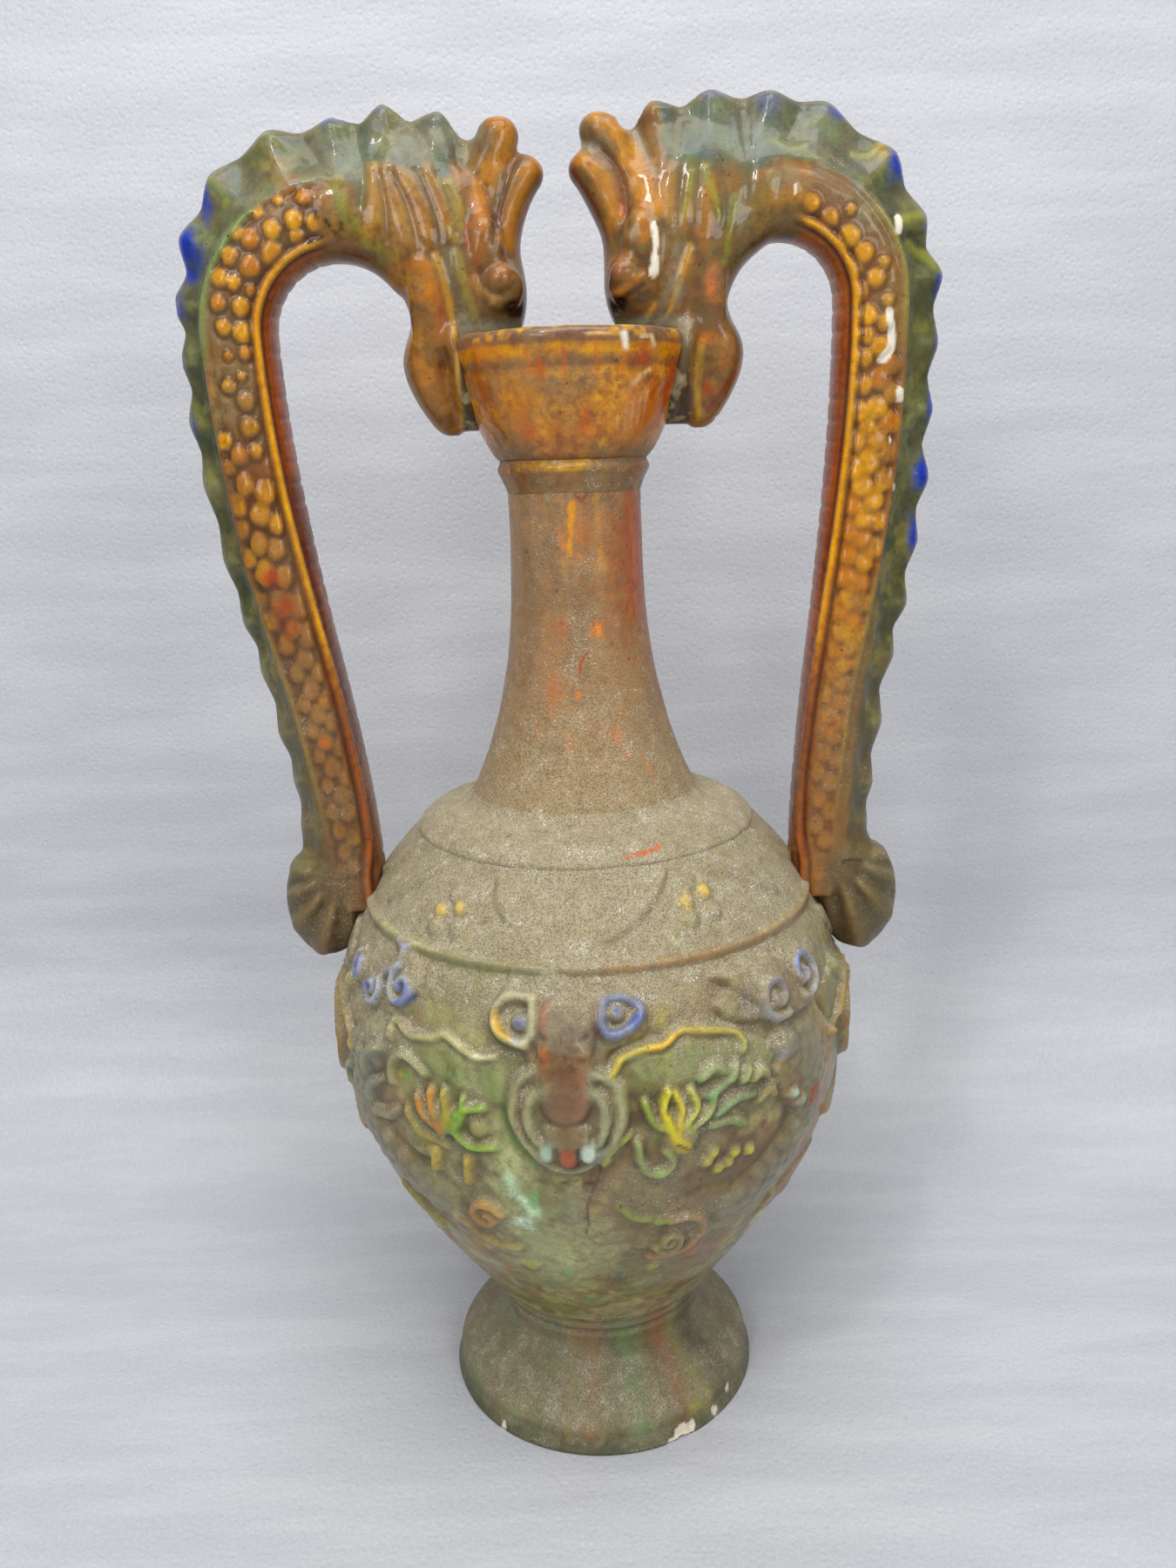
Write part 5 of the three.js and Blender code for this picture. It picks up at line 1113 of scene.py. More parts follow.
leftShape = {
    "side": -1, "rootOut": 85.3, "archOut": 71.2, "archReach": 34.0, "archUp": 392.8, "lowPull": 60, "highPull": 68,
    "farthest": 127.25, "jawOut": 0.0, "tailOut": 0.0, "tailUp": 0.0, "scaleSpread": 1.04, "fade": (290, 372),
    "ground": (128, 112, 76), "groundLow": (104, 66, 36), "sunk": (92, 62, 30), "innerTone": (106, 44, 22),
    "fins": [
        (104.6, 212), (103.4, 226), (104.5, 243), (108, 260), (112, 282), (116.5, 300), (120.9, 321), (124.9, 346),
        (127.4, 366.7), (127.8, 386), (128.4, 403.6), (124, 424), (112, 442), (93, 454), (73, 457), (56, 460.5),
        (38, 457.8), (21, 448)],
    "gaps": [0.4, 1.0, 1.4, 1.8, 1.75, 1.5, 1.6, 1.9, 2.4, 3.2, 4.4, 3.4, 2.6, 3.2, 4.2, 5.0, 4.0],
    "blue": [
        (128.6, 403, 3.4, 7, 1.0), (123, 421, 6.0, 6.5, 1.0), (114.6, 436, 2.4, 8, 0.9), (128.4, 385, 2.0, 5, 0.8),
        (122, 413, 3, 3, 0.6), (73, 456.6, 5, 1.8, 0.55), (125.6, 366, 1.4, 5, 0.3), (57, 459, 3, 1.6, 0.3)],
    "ridge": [
        (205, -4.4), (220, -7.4), (240, -8.0), (270, -8.2), (300, -6.8), (320, -6.2), (345, -5.6), (380, -5.4),
        (470, -5.3)],
    "rim": [(200, 6.8), (268, 8.6), (294, 10.6), (320, 12.0), (470, 12.2)],
    "scales": [
        (98.3, 430.9, 2.2), (91.1, 433.9, 1.6), (82.9, 434.7, 2.5), (76.1, 433.3, 2.7), (86.7, 428, 3.0),
        (80, 427, 2.9), (93.9, 425.3, 2.9), (105.3, 425, 2.5), (101.1, 422.8, 3.0), (86.1, 422.8, 2.6),
        (108.3, 418, 2.8), (94.4, 418, 3.8), (101.9, 414.4, 3.4), (112.2, 411.3, 2.8), (107.8, 410, 2.4),
        (102.4, 407.4, 1.8), (113.6, 403.9, 2.6), (106.1, 402.4, 3.0), (112.4, 396.4, 2.5), (106.3, 394.7, 3.3),
        (112, 387.6, 1.5), (106.3, 388.3, 2.2), (108.3, 381.1, 1.6), (112.8, 378, 2.3), (107.6, 373.3, 2.9),
        (107.2, 365, 3.1), (116.1, 360.6, 2.5), (111.7, 355.6, 2.8), (106, 357, 2.2), (115.4, 351.7, 2.0),
        (110.8, 345.8, 2.9), (104.4, 342.8, 3.2), (113.9, 339, 2.9), (106.6, 336.1, 3.2), (101.6, 332.3, 2.4),
        (113.6, 331, 2.6), (108, 326.1, 2.9), (102.6, 324, 2.8), (112, 321, 2.4), (107, 316, 3.4),
        (100.8, 314.4, 2.8), (102, 305, 3.9), (96.6, 304, 3.2), (106.4, 299.5, 2.6), (99, 297, 2.9),
        (94.4, 294, 3.3), (102.4, 291, 2.7), (96, 286, 3.0), (91.6, 281.4, 2.6), (99.5, 281, 2.6), (95, 275.4, 2.9),
        (90.2, 271, 2.5), (98, 270, 2.4), (93.4, 266, 2.6), (88.4, 263, 2.6), (96, 260.4, 2.4), (91.8, 256.6, 2.8),
        (86.8, 254, 2.4), (94.4, 251, 2.2), (90, 246.6, 2.8), (85.4, 243, 2.4), (92.4, 240, 2.2), (87.6, 236, 2.8),
        (91.6, 230, 2.2), (86, 229.6, 2.6), (89.6, 223, 2.4), (84.8, 220, 2.4), (88.4, 214.6, 2.4),
        (85.6, 209, 2.6), (90.4, 207, 2.0)],
    "lobes": {"horn": [
        (33.5, 419), (27.5, 435), (22.5, 445), (20.4, 449.8)], "hornWide": 7.0, "snout": [(21.4, 407), (21.2, 419),
        (17.6, 430), (12.3, 438.8)], "snoutWide": 6.2},
    "strokes": [
        ((75.5, 440, 72, 434, 69, 428, 63, 420.5, 57, 416), 2.4, 0.4, olive, 0.5),
        ((61, 442, 60, 436, 60.5, 429, 62.4, 424), 2.8, 1.2, (198, 142, 42), 0.8),
        ((57, 441, 54, 430, 52, 420), 2.6, 1.2, (180, 124, 46), 0.8),
        ((52.5, 441, 48, 436, 45, 428, 44, 421), 2.9, 1.4, ochre, 0.85),
        ((43, 441, 40, 434, 38, 427), 2.6, 1.2, (186, 124, 44), 0.8),
        ((37.5, 437, 34.5, 430, 35.5, 422), 2.4, 1.2, (172, 150, 48), 0.8),
        ((33, 441, 28.5, 433, 26.4, 425, 28.4, 416), 2.8, 1.5, (196, 122, 34), 0.8),
        ((66, 455, 64.5, 447, 63.6, 440, 65.4, 432), 2.0, -1.3, moss, 0.7),
        ((58.5, 441, 57.2, 430, 57, 421), 1.3, -0.8, (112, 88, 54), 0.7),
        ((55, 441, 51, 433, 48.6, 424, 48, 417), 1.3, -0.9, (112, 86, 52), 0.7),
        ((47, 441, 43.6, 434, 41, 425, 40.4, 418), 1.4, -1.0, (106, 90, 56), 0.7),
        ((46, 454, 42, 447, 39.5, 441), 1.8, -1.1, (106, 112, 84), 0.6),
        ((40, 440, 36.8, 432, 33.4, 421), 1.3, -0.9, (104, 94, 58), 0.7),
        ((81, 452, 77, 445, 74, 441), 1.6, -1.0, (112, 116, 90), 0.5),
        ((34, 447, 31.5, 439, 30.4, 428, 31.4, 418), 1.5, -1.2, (104, 76, 46), 0.7),
        ((55.6, 459, 54, 451, 51.6, 444), 1.6, 0.9, (132, 140, 96), 0.5),
        ((73, 456, 71, 449, 69, 443), 1.5, 0.7, (134, 138, 110), 0.4),
        ((38, 456, 37, 449, 36.4, 444), 1.8, 0.7, (126, 128, 104), 0.4),
        ((91, 452, 86, 449, 80, 445.4), 1.4, 0.7, (126, 138, 84), 0.5),
        ((96, 450, 92, 446.6, 88.6, 443.6), 1.2, 0.7, (146, 150, 60), 0.7),
        ((113, 441, 109.4, 437.6, 107.4, 434), 1.3, 0.8, (142, 152, 60), 0.85),
        ((111.6, 436.6, 108.4, 433), 1.0, 0.6, (150, 152, 60), 0.7),
        ((118, 427, 114, 424), 1.0, 0.5, (120, 140, 100), 0.5),
        ((20, 455, 17.2, 450.5, 20.4, 444, 24, 437), 3.4, 0.7, (210, 134, 28), 0.95),
        ((31, 445, 27, 449, 25.6, 452), 1.6, 0.4, (140, 128, 100), 0.7),
        ((12.4, 446.4, 16.8, 441, 19.2, 434, 21.8, 424), 1.5, -1.8, umber, 0.9),
        ((24.8, 436, 22.8, 428, 22.6, 419), 1.2, -0.9, (96, 56, 28), 0.7),
        ((8, 441.6, 12, 436.4, 16, 428, 18, 419), 3.0, 0.7, (212, 134, 24), 0.95),
        ((6.4, 438, 11, 429.6, 14.4, 423, 14.6, 414), 1.6, 0, (118, 46, 20), 0.9),
        ((27.4, 430, 28.6, 424, 27, 418, 29.4, 414), 1.8, 0.9, (150, 76, 30), 0.7),
        ((31, 425, 31.6, 418), 1.4, 0, (176, 78, 24), 0.7),
        ((28.4, 410.4, 27.4, 406.4, 24.6, 404.2, 21.4, 403.8), 0.9, -1.1, (92, 54, 30), 0.8),
        ((29.8, 409, 28.6, 405, 25.4, 402.6, 22.4, 402.2), 1.2, 1.0, (196, 138, 54), 0.8),
        ((24.2, 401.4, 23.8, 400.6), 1.9, 1.9, (190, 146, 78), 0.8),
        ((27.6, 403.6, 25.6, 398.6, 21, 397.6), 1.0, -0.8, (96, 56, 34), 0.6),
        ((42, 416, 39.6, 407, 38, 397, 37, 391), 1.2, 1.3, (214, 158, 44), 0.95),
        ((38.4, 417, 36.6, 408, 34.6, 400, 33.8, 392), 1.8, -0.9, (112, 108, 74), 0.8),
        ((35.2, 417, 33.6, 408, 31, 399, 28, 392), 1.5, 0.9, (160, 150, 62), 0.8),
        ((44.4, 413, 41.6, 404, 41, 394), 1.2, -0.7, (128, 82, 40), 0.6),
        ((48, 414, 44.6, 411, 43, 403), 2.6, 0.5, (204, 124, 36), 0.8),
        ((36.6, 386, 37, 377, 36, 368, 36.6, 361), 0.9, 1.0, (214, 164, 84), 0.95),
        ((39, 389, 39.6, 377, 39, 364), 1.1, -0.6, (112, 74, 40), 0.5),
        ((52, 386, 50.4, 378, 46.4, 370, 41.6, 364), 2.2, 0.5, (150, 98, 44), 0.5),
        ((49.6, 384, 47.6, 378), 2.8, 0, (188, 124, 38), 0.7)],
    "spots": [
        (46, 408, 5, 7, amber, 0.5), (42, 398, 3.4, 8, (176, 92, 38), 0.5), (52, 424, 8, 7, (160, 116, 60), 0.5),
        (27, 431, 3, 5, (204, 124, 28), 0.6), (35, 396, 3, 6, (146, 140, 112), 0.7),
        (30.6, 393.6, 6, 3, (160, 152, 124), 0.75), (48, 378, 5, 8, (176, 112, 40), 0.4),
        (66, 446, 6, 9, (112, 124, 102), 0.5), (48, 449, 9, 6, (136, 136, 112), 0.5),
        (57, 449, 4, 6, (144, 148, 84), 0.5), (91, 444, 6, 4, (176, 138, 62), 0.5),
        (88, 440, 8, 3, (172, 118, 50), 0.5), (71.6, 436, 3, 7, (128, 136, 46), 0.6),
        (105, 315, 3.6, 4.2, ember, 0.9), (101.6, 305, 3.8, 4.2, (160, 50, 14), 0.9),
        (99.4, 297, 2.6, 3, (186, 80, 20), 0.8), (103, 299, 3, 2, (150, 52, 18), 0.6),
        (92, 257, 2.4, 2.2, (196, 92, 20), 0.8), (108, 350, 9, 10, (156, 92, 30), 0.4),
        (101, 302, 7, 20, (124, 56, 22), 0.5), (109, 344, 10, 18, (118, 66, 28), 0.35)],
    "eye": (21.4, 408.8), "pit": (16.6, 398.6), "misses": [],
    "flecks": [
        (76.6, 427.6, 75.2, 425.6), (74.4, 424.4, 73.4, 423), (71.6, 426.4, 71.8, 424.4), (83, 421, 77.6, 422.6),
        (80.4, 431.4, 79, 428)],
}
rightShape = {
    "side": 1, "rootOut": 85.3, "archOut": 70.8, "archReach": 30.2, "archUp": 398.6, "lowPull": 60, "highPull": 70,
    "farthest": 122.7, "jawOut": 2.4, "tailOut": 2.4, "tailUp": -4.0, "scaleSpread": 1.14, "fade": (235, 310),
    "ground": (146, 112, 58), "groundLow": (150, 96, 40), "sunk": (120, 66, 14), "innerTone": (146, 66, 18),
    "fins": [
        (104.4, 207), (102.4, 221), (104, 235), (106.5, 257), (110, 281), (114, 299), (117, 320), (120, 341),
        (120.5, 363), (121.5, 384), (122, 405), (116, 423), (105.5, 442), (84, 456.6), (66, 460.8), (46.6, 461.6),
        (28, 458.8), (12, 449)],
    "gaps": [0.4, 1.0, 2.0, 2.6, 2.4, 2.4, 2.6, 3.0, 2.6, 2.8, 3.6, 3.2, 3.0, 2.6, 3.2, 4.2, 4.0],
    "blue": [
        (107, 439.6, 4, 6.4, 1.0), (116.4, 423, 1.8, 6, 0.8), (121.4, 401, 2.2, 5, 0.85), (120.4, 364, 2.6, 7, 0.9),
        (118, 343, 3.4, 7, 1.0), (115.6, 322, 2.8, 6, 1.0), (121, 384, 1.6, 5, 0.35), (88, 454, 5, 3, 0.5),
        (47, 460, 4, 2.4, 0.4), (65, 457, 4, 5, 0.3)],
    "ridge": [
        (205, -5.8), (220, -8.8), (240, -9.4), (265, -8.6), (295, -7.2), (320, -6.2), (350, -5.2), (380, -4.6),
        (470, -4.6)],
    "rim": [(200, 4.5), (265, 5.5), (290, 8.0), (313, 9.6), (350, 11.4), (470, 12.0)],
    "scales": [
        (78.9, 427.6, 2.7), (72.8, 429.6, 3.0), (63.6, 428.6, 3.2), (85, 423.3, 2.8), (91.7, 425.6, 1.6),
        (91.4, 417.6, 3.3), (96.1, 412.4, 3.0), (92.6, 407.4, 3.2), (102.8, 409.4, 1.8), (100.4, 404.6, 2.8),
        (95, 400.6, 2.8), (104.4, 397.8, 2.0), (98, 393.3, 3.0), (103.4, 391, 2.4), (97.6, 387.4, 2.6),
        (102.2, 383.6, 3.0), (97, 380.4, 2.7), (106.1, 377.8, 2.8), (102.6, 373.3, 3.4), (97.2, 371.4, 2.8),
        (106.6, 369, 2.9), (101.7, 364.4, 3.3), (96.2, 363, 2.9), (105.8, 359.4, 3.0), (98.6, 358.4, 2.7),
        (102, 354, 3.1), (95.2, 353.4, 2.8), (105.2, 349.6, 2.9), (99.4, 346.4, 3.4), (94.2, 344.4, 2.8),
        (104.4, 340.6, 2.9), (97.4, 339, 3.2), (101.4, 334, 3.0), (94.4, 332.4, 3.0), (98, 328, 2.9),
        (103, 327, 2.6), (93.4, 324, 2.9), (98, 321.4, 3.0), (102, 318, 2.5), (93, 316, 3.1), (98.6, 313.6, 2.8),
        (92.2, 308.4, 3.1), (97.6, 306.4, 3.0), (94.4, 301.1, 3.3), (99, 299, 2.6), (90.2, 296.6, 3.0),
        (95.2, 293.6, 3.2), (91.6, 289.4, 2.9), (98, 288, 2.4), (94.4, 284.6, 2.9), (89.2, 283, 2.9),
        (92.4, 278.4, 2.9), (97, 278, 2.2), (87.6, 275.4, 2.9), (91.6, 271.6, 2.9), (86.6, 267.6, 2.7),
        (91.4, 264.6, 2.7), (87.6, 260, 2.7), (92.4, 257, 2.4), (84.4, 254.4, 2.7), (89.4, 252.4, 2.7),
        (86, 246, 2.6), (90.6, 243, 2.3), (83.6, 239, 2.5), (88.4, 235, 2.5), (84.6, 229, 2.5), (88.6, 224, 2.3),
        (83.6, 219, 2.4), (87, 213, 2.3)],
    "lobes": {"horn": [
        (29, 420), (20.5, 437), (15.2, 446), (11.7, 450.4)], "hornWide": 6.8, "snout": [(19, 407), (18, 420),
        (13, 430.5), (7.4, 439.6)], "snoutWide": 6.0},
    "strokes": [
        ((57, 457.4, 58, 449, 59.4, 440, 58.6, 430), 1.9, -1.3, (88, 100, 74), 0.7),
        ((37, 455.5, 36.4, 449, 35, 442), 1.7, -1.2, (120, 112, 84), 0.6),
        ((76, 456, 73, 450, 70, 445), 1.6, -0.9, (104, 112, 84), 0.5),
        ((46.6, 460, 46, 452, 44, 446), 1.8, 0.9, (112, 126, 108), 0.5),
        ((66, 459, 63, 452, 60.6, 446), 1.8, 0.7, (118, 128, 112), 0.5),
        ((28.6, 457, 29, 450, 30.4, 445), 2.4, 0.7, (166, 118, 66), 0.7),
        ((45, 439, 47.6, 431, 50, 424), 1.3, 1.0, (158, 156, 56), 0.9),
        ((41, 438, 39.4, 431, 38, 424), 1.4, 1.0, (158, 156, 56), 0.85),
        ((54.4, 430, 53, 421, 51.4, 411), 1.3, 0.7, (148, 146, 54), 0.8),
        ((44.4, 431, 45, 424, 44.6, 417), 2.6, 1.1, (188, 128, 46), 0.8),
        ((34.4, 438, 33.4, 431, 34, 424), 2.4, 1.1, (190, 142, 54), 0.8),
        ((49.6, 441, 51.4, 432, 51, 422), 1.6, -1.0, (100, 100, 68), 0.7),
        ((43, 441, 42.4, 433, 41.6, 423), 1.4, -0.9, (108, 104, 66), 0.7),
        ((37.6, 441, 36.6, 432, 35.8, 422), 1.4, -0.9, (112, 102, 66), 0.7),
        ((66, 437, 65, 431), 1.2, 0.6, (150, 126, 48), 0.7),
        ((69.4, 436, 68.6, 430), 1.2, -0.8, (110, 104, 62), 0.6),
        ((40, 416, 37.4, 408, 34.4, 400, 31.4, 393.6), 1.1, 1.3, (216, 164, 50), 0.95),
        ((37, 416, 34, 408, 31.4, 400, 28.4, 393), 2.0, -0.8, (136, 124, 96), 0.8),
        ((28.4, 398.6, 26, 395, 23.8, 391.6), 1.1, 1.0, (212, 152, 52), 0.9),
        ((43, 413, 40.4, 404, 37.6, 396), 1.4, -0.8, (136, 88, 46), 0.6),
        ((11, 455.4, 17, 450.6, 21.6, 444, 25, 435, 29.4, 427.6), 3.4, 0.7, (218, 146, 24), 1.0),
        ((25.4, 436, 24.6, 428, 25.4, 420), 2.4, 0.8, (212, 134, 24), 0.9),
        ((20.6, 453, 25, 446.4, 29, 438.6), 1.6, -0.7, (146, 134, 110), 0.8),
        ((10.6, 446.4, 15.6, 441.4, 18.6, 434, 19.6, 423), 1.5, -1.8, (104, 52, 24), 0.9),
        ((4.6, 443.6, 9.6, 440, 14, 433.6, 15.6, 425), 3.0, 0.7, (216, 140, 24), 0.95),
        ((10.6, 446, 6, 446.8), 1.8, 0, (162, 156, 134), 0.8),
        ((2.4, 440.6, 6, 434, 10.6, 426, 12.4, 416), 1.8, 0, (122, 52, 22), 0.85),
        ((27.6, 424, 29.6, 416, 28, 408), 1.6, 0.7, (170, 116, 58), 0.5),
        ((24.4, 408.4, 20.6, 405.4, 17, 402.6, 13.6, 402), 1.5, 1.1, (196, 122, 34), 0.85),
        ((22, 412.6, 17.4, 414, 13.4, 411), 1.5, 0.9, (174, 110, 50), 0.6),
        ((24.6, 405, 20.6, 402.4, 16.6, 399.8), 1.0, -1.0, (84, 44, 22), 0.8),
        ((24, 398, 19, 396, 14.6, 396.6), 1.4, 0.9, (142, 84, 46), 0.6),
        ((43.4, 387, 42.4, 380, 41.6, 372, 42.2, 363.6), 1.3, 1.1, (220, 170, 50), 0.95),
        ((46, 385, 45.4, 375, 45.8, 367), 1.2, -0.6, (128, 84, 46), 0.5),
        ((54.6, 377, 50, 370.4, 45.4, 365), 1.1, -0.8, (128, 50, 26), 0.8),
        ((101, 443.6, 96.4, 441, 92, 442), 1.3, 0.9, (152, 152, 56), 0.9),
        ((101.6, 437, 97.6, 433.6, 94.8, 434.6), 1.0, 0.6, (140, 144, 70), 0.7),
        ((115.4, 421.6, 111, 422.8, 107.4, 421), 1.3, 0.8, (158, 158, 52), 0.9),
        ((114.6, 417.6, 110.4, 417), 0.9, -0.8, (44, 48, 28), 0.8),
        ((120.4, 407, 115.6, 411, 110.6, 414.4), 1.3, 0.9, (156, 160, 56), 0.9),
        ((78, 445, 72, 443.6, 67, 446), 1.2, 0.7, (140, 142, 76), 0.6),
        ((82, 452, 78.6, 450, 76.6, 450.6), 1.0, 0.6, (120, 138, 62), 0.7),
        ((116, 378, 113.6, 372, 110.6, 369), 1.6, 0.6, (146, 140, 52), 0.6),
        ((111, 352, 110, 344, 108.6, 338), 1.6, 0.3, (96, 96, 58), 0.5)],
    "spots": [
        (47, 404, 3, 7, (206, 104, 30), 0.7), (45, 388, 4, 3, (206, 110, 30), 0.7),
        (52, 382, 4, 8, (176, 104, 42), 0.6), (45, 373, 3, 4, (184, 72, 26), 0.5),
        (36, 403, 3, 6, (150, 142, 116), 0.6), (33, 392.6, 6, 2, (164, 156, 132), 0.75),
        (30, 441, 3, 7, (170, 120, 66), 0.5), (39, 411, 3, 5, (206, 140, 40), 0.5),
        (60, 448, 10, 9, (108, 118, 104), 0.6), (46, 452, 7, 7, (100, 116, 100), 0.6),
        (78, 449, 10, 6, (128, 132, 104), 0.5), (101, 441.6, 3, 3, (176, 152, 44), 0.8),
        (70, 436, 9, 5, (140, 132, 98), 0.6), (96, 424, 6, 8, (136, 124, 90), 0.6),
        (72, 430, 12, 3, (190, 130, 40), 0.4), (56, 424, 3, 10, (124, 126, 90), 0.5),
        (104, 403, 4, 16, (142, 118, 72), 0.5), (88, 258, 5, 5, (188, 106, 30), 0.5),
        (18, 428, 2, 5, (196, 92, 24), 0.5)],
    "eye": (17.2, 409.6), "pit": (14.6, 398.8), "flecks": [(94, 205.2, 97, 206.0, 100, 205.4)],
    "misses": [
        ((28.4, 423, 28.8, 417, 28.2, 409), 0.9), ((28.6, 411, 28, 408.6), 1.5), ((106.6, 422.6, 107, 418.4), 1.0),
        ((104.8, 394.6, 106, 387, 105.8, 383), 1.3), ((105.6, 383, 103, 379.6), 1.5),
        ((108.5, 369.6, 108.6, 366.6), 0.9), ((106.4, 354.4, 106.4, 353.6), 0.5), ((107.6, 339, 107.6, 337.6), 0.5),
        ((73.6, 433, 73.6, 431), 0.6)],
}


def lean(z):  # both dragons lean a little to the left
    return 3 * (z - 196) / 260


def centreLine(look, count=420):
    side = look["side"]
    far = look["archOut"] + look["archReach"]
    bend = np.array([(look["rootOut"], 196), (look["rootOut"], 196 + look["lowPull"]),
        (far, look["archUp"] - look["highPull"]), (far, look["archUp"])], float)
    t = np.linspace(0, 1, count)[:, None]
    rise = (1 - t) ** 3 * bend[0] + 3 * (1 - t) ** 2 * t * bend[1] + 3 * (1 - t) * t ** 2 * bend[2] + t ** 3 * bend[
        3]
    angle = np.radians(np.linspace(0, 150, count // 2))[1:]
    arch = np.stack([look["archOut"] + look["archReach"] * np.cos(angle),
        look["archUp"] + look["archReach"] * np.sin(angle)], axis=1)
    line = np.vstack([rise, arch])
    line[:, 0] -= side * lean(line[:, 1])  # the lean moves the left dragon out and the right one in
    walk = np.concatenate([[0], np.cumsum(np.hypot(*np.diff(line, axis=0).T))])
    even = np.linspace(0, walk[-1], count)
    line = np.stack([np.interp(even, walk, line[:, 0]), np.interp(even, walk, line[:, 1])], axis=1)
    ahead = np.gradient(line, axis=0)
    ahead /= np.hypot(*ahead.T)[:, None]
    outward = np.stack([ahead[:, 1], -ahead[:, 0]], axis=1)
    return line, outward, even


def loftFaces(rows, around, base):
    faces = []
    for row in range(rows - 1):
        for i in range(around):
            j = (i + 1) % around
            a, b = base + row * around, base + (row + 1) * around
            faces.append((a + i, a + j, b + j, b + i))
    faces.append(tuple(range(base, base + around))[::-1])
    faces.append(tuple(range(base + (rows - 1) * around, base + rows * around)))
    return faces


def section(square, around):  # an oval that goes square as the number grows: across and deep, both -1 to 1
    angle = np.linspace(0, 2 * np.pi, around, endpoint=False)
    across = np.sign(np.cos(angle)) * np.abs(np.cos(angle)) ** (2 / square)
    deep = np.sign(np.sin(angle)) * np.abs(np.sin(angle)) ** (2 / square)
    return across, deep


class Lump:  # overlapping closed shapes, gathered for melting
    def __init__(self, side):
        self.side, self.points, self.faces, self.count = side, [], [], 0

    def add(self, rings):  # rings: (rows, around, 3) of out, y, z
        rows, around = rings.shape[:2]
        placed = rings.reshape(-1, 3)
        placed[:, 0] *= self.side
        self.points.append(placed)
        self.faces += loftFaces(rows, around, self.count)
        self.count += rows * around

    def tube(self, centres, wide, thick, square, around=28):  # oval sections square to a line of (out, up) points
        centres = np.array(centres, float)
        ahead = np.gradient(centres, axis=0)
        ahead /= np.hypot(*ahead.T)[:, None]
        outward = np.stack([ahead[:, 1], -ahead[:, 0]], axis=1)
        across, deep = section(square, around)
        rings = np.zeros((len(centres), around, 3))
        rings[..., 0] = centres[:, :1] + outward[:, :1] * across * np.reshape(wide, (-1, 1))
        rings[..., 2] = centres[:, 1:] + outward[:, 1:] * across * np.reshape(wide, (-1, 1))
        rings[..., 1] = deep * np.reshape(thick, (-1, 1))
        self.add(rings)

    def levels(self, rows, square=2.5, around=32):  # level sections: height, inner, outer, half thickness
        rows = spline(rows, len(rows) * 4)
        across, deep = section(square, around)
        rings = np.zeros((len(rows), around, 3))
        rings[..., 0] = (rows[:, 1] + rows[:, 2])[:, None] / 2 + across * (rows[:, 2] - rows[:, 1])[:, None] / 2
        rings[..., 1] = deep * rows[:, 3][:, None]
        rings[..., 2] = rows[:, 0][:, None]
        self.add(rings)

    def ball(self, out, z, wide, tall, thick, tilt=0.0, y=0.0):
        t = np.linspace(-0.995, 0.995, 18)  # just short of the poles
        swelling = np.sqrt(1 - t ** 2)
        angle = np.linspace(0, 2 * np.pi, 24, endpoint=False)
        rings = np.zeros((len(t), 24, 3))
        a = swelling[:, None] * np.cos(angle) * wide
        b = (t * tall)[:, None] + 0 * a
        turn = math.radians(tilt)
        rings[..., 0] = out + a * math.cos(turn) - b * math.sin(turn)
        rings[..., 2] = z + a * math.sin(turn) + b * math.cos(turn)
        rings[..., 1] = y + swelling[:, None] * np.sin(angle) * thick
        self.add(rings)


def melt(lump, voxel):  # one even skin over the overlapping shapes
    mesh = bpy.data.meshes.new("rawClay")
    mesh.from_pydata([tuple(p) for p in np.vstack(lump.points) * mm], [], lump.faces)
    work = bmesh.new()
    work.from_mesh(mesh)
    bmesh.ops.recalc_face_normals(work, faces=work.faces)
    work.to_mesh(mesh)
    work.free()
    raw = bpy.data.objects.new("rawClay", mesh)
    bpy.context.scene.collection.objects.link(raw)
    remesh = raw.modifiers.new("melt", "REMESH")
    remesh.mode = "VOXEL"
    remesh.voxel_size = voxel * mm
    remesh.adaptivity = 0.0
    done = raw.evaluated_get(bpy.context.evaluated_depsgraph_get()).to_mesh()
    points = np.zeros(len(done.vertices) * 3)
    done.vertices.foreach_get("co", points)
    faces = [tuple(face.vertices) for face in done.polygons]
    raw.to_mesh_clear()
    bpy.data.objects.remove(raw)
    bpy.data.meshes.remove(mesh)
    return points.reshape(-1, 3) / mm, faces


def allEdges(faces):
    edges = set()
    for face in faces:
        for i, first in enumerate(face):
            second = face[(i + 1) % len(face)]
            edges.add((first, second) if first < second else (second, first))
    return np.array(list(edges)).T


def pointNormals(points, faces):
    normal = np.zeros_like(points)
    for size in (3, 4):
        some = np.array([face for face in faces if len(face) == size])
        if len(some):
            a = points[some[:, 0]]
            turn = np.cross(points[some[:, size // 2]] - a, points[some[:, -1]] - points[some[:, 1]])
            for k in range(size):
                np.add.at(normal, some[:, k], turn)
    return normal / np.maximum(np.linalg.norm(normal, axis=1), tiny)[:, None]


def crestEdge(look, count=620):
    tips = np.array(look["fins"], float)
    steps = len(tips) - 1
    edge = spline(tips, count)
    k = np.linspace(0, steps, count)
    ahead = np.gradient(edge, axis=0)
    ahead /= np.hypot(*ahead.T)[:, None]
    inward = np.stack([-ahead[:, 1], ahead[:, 0]], axis=1)
    away = 2 * np.abs(k - np.round(k))
    swell = 0.55 * (1 - away) + 0.45 * (0.5 + 0.5 * np.cos(np.pi * away))
    depth = np.interp(k, np.arange(steps) + 0.5, look["gaps"])
    edge = edge + inward * (depth * (1 - swell))[:, None]
    edge[:, 0] = np.minimum(edge[:, 0], look["farthest"])
    kept = k <= steps - 0.25
    return edge[kept], swell[kept], k[kept]


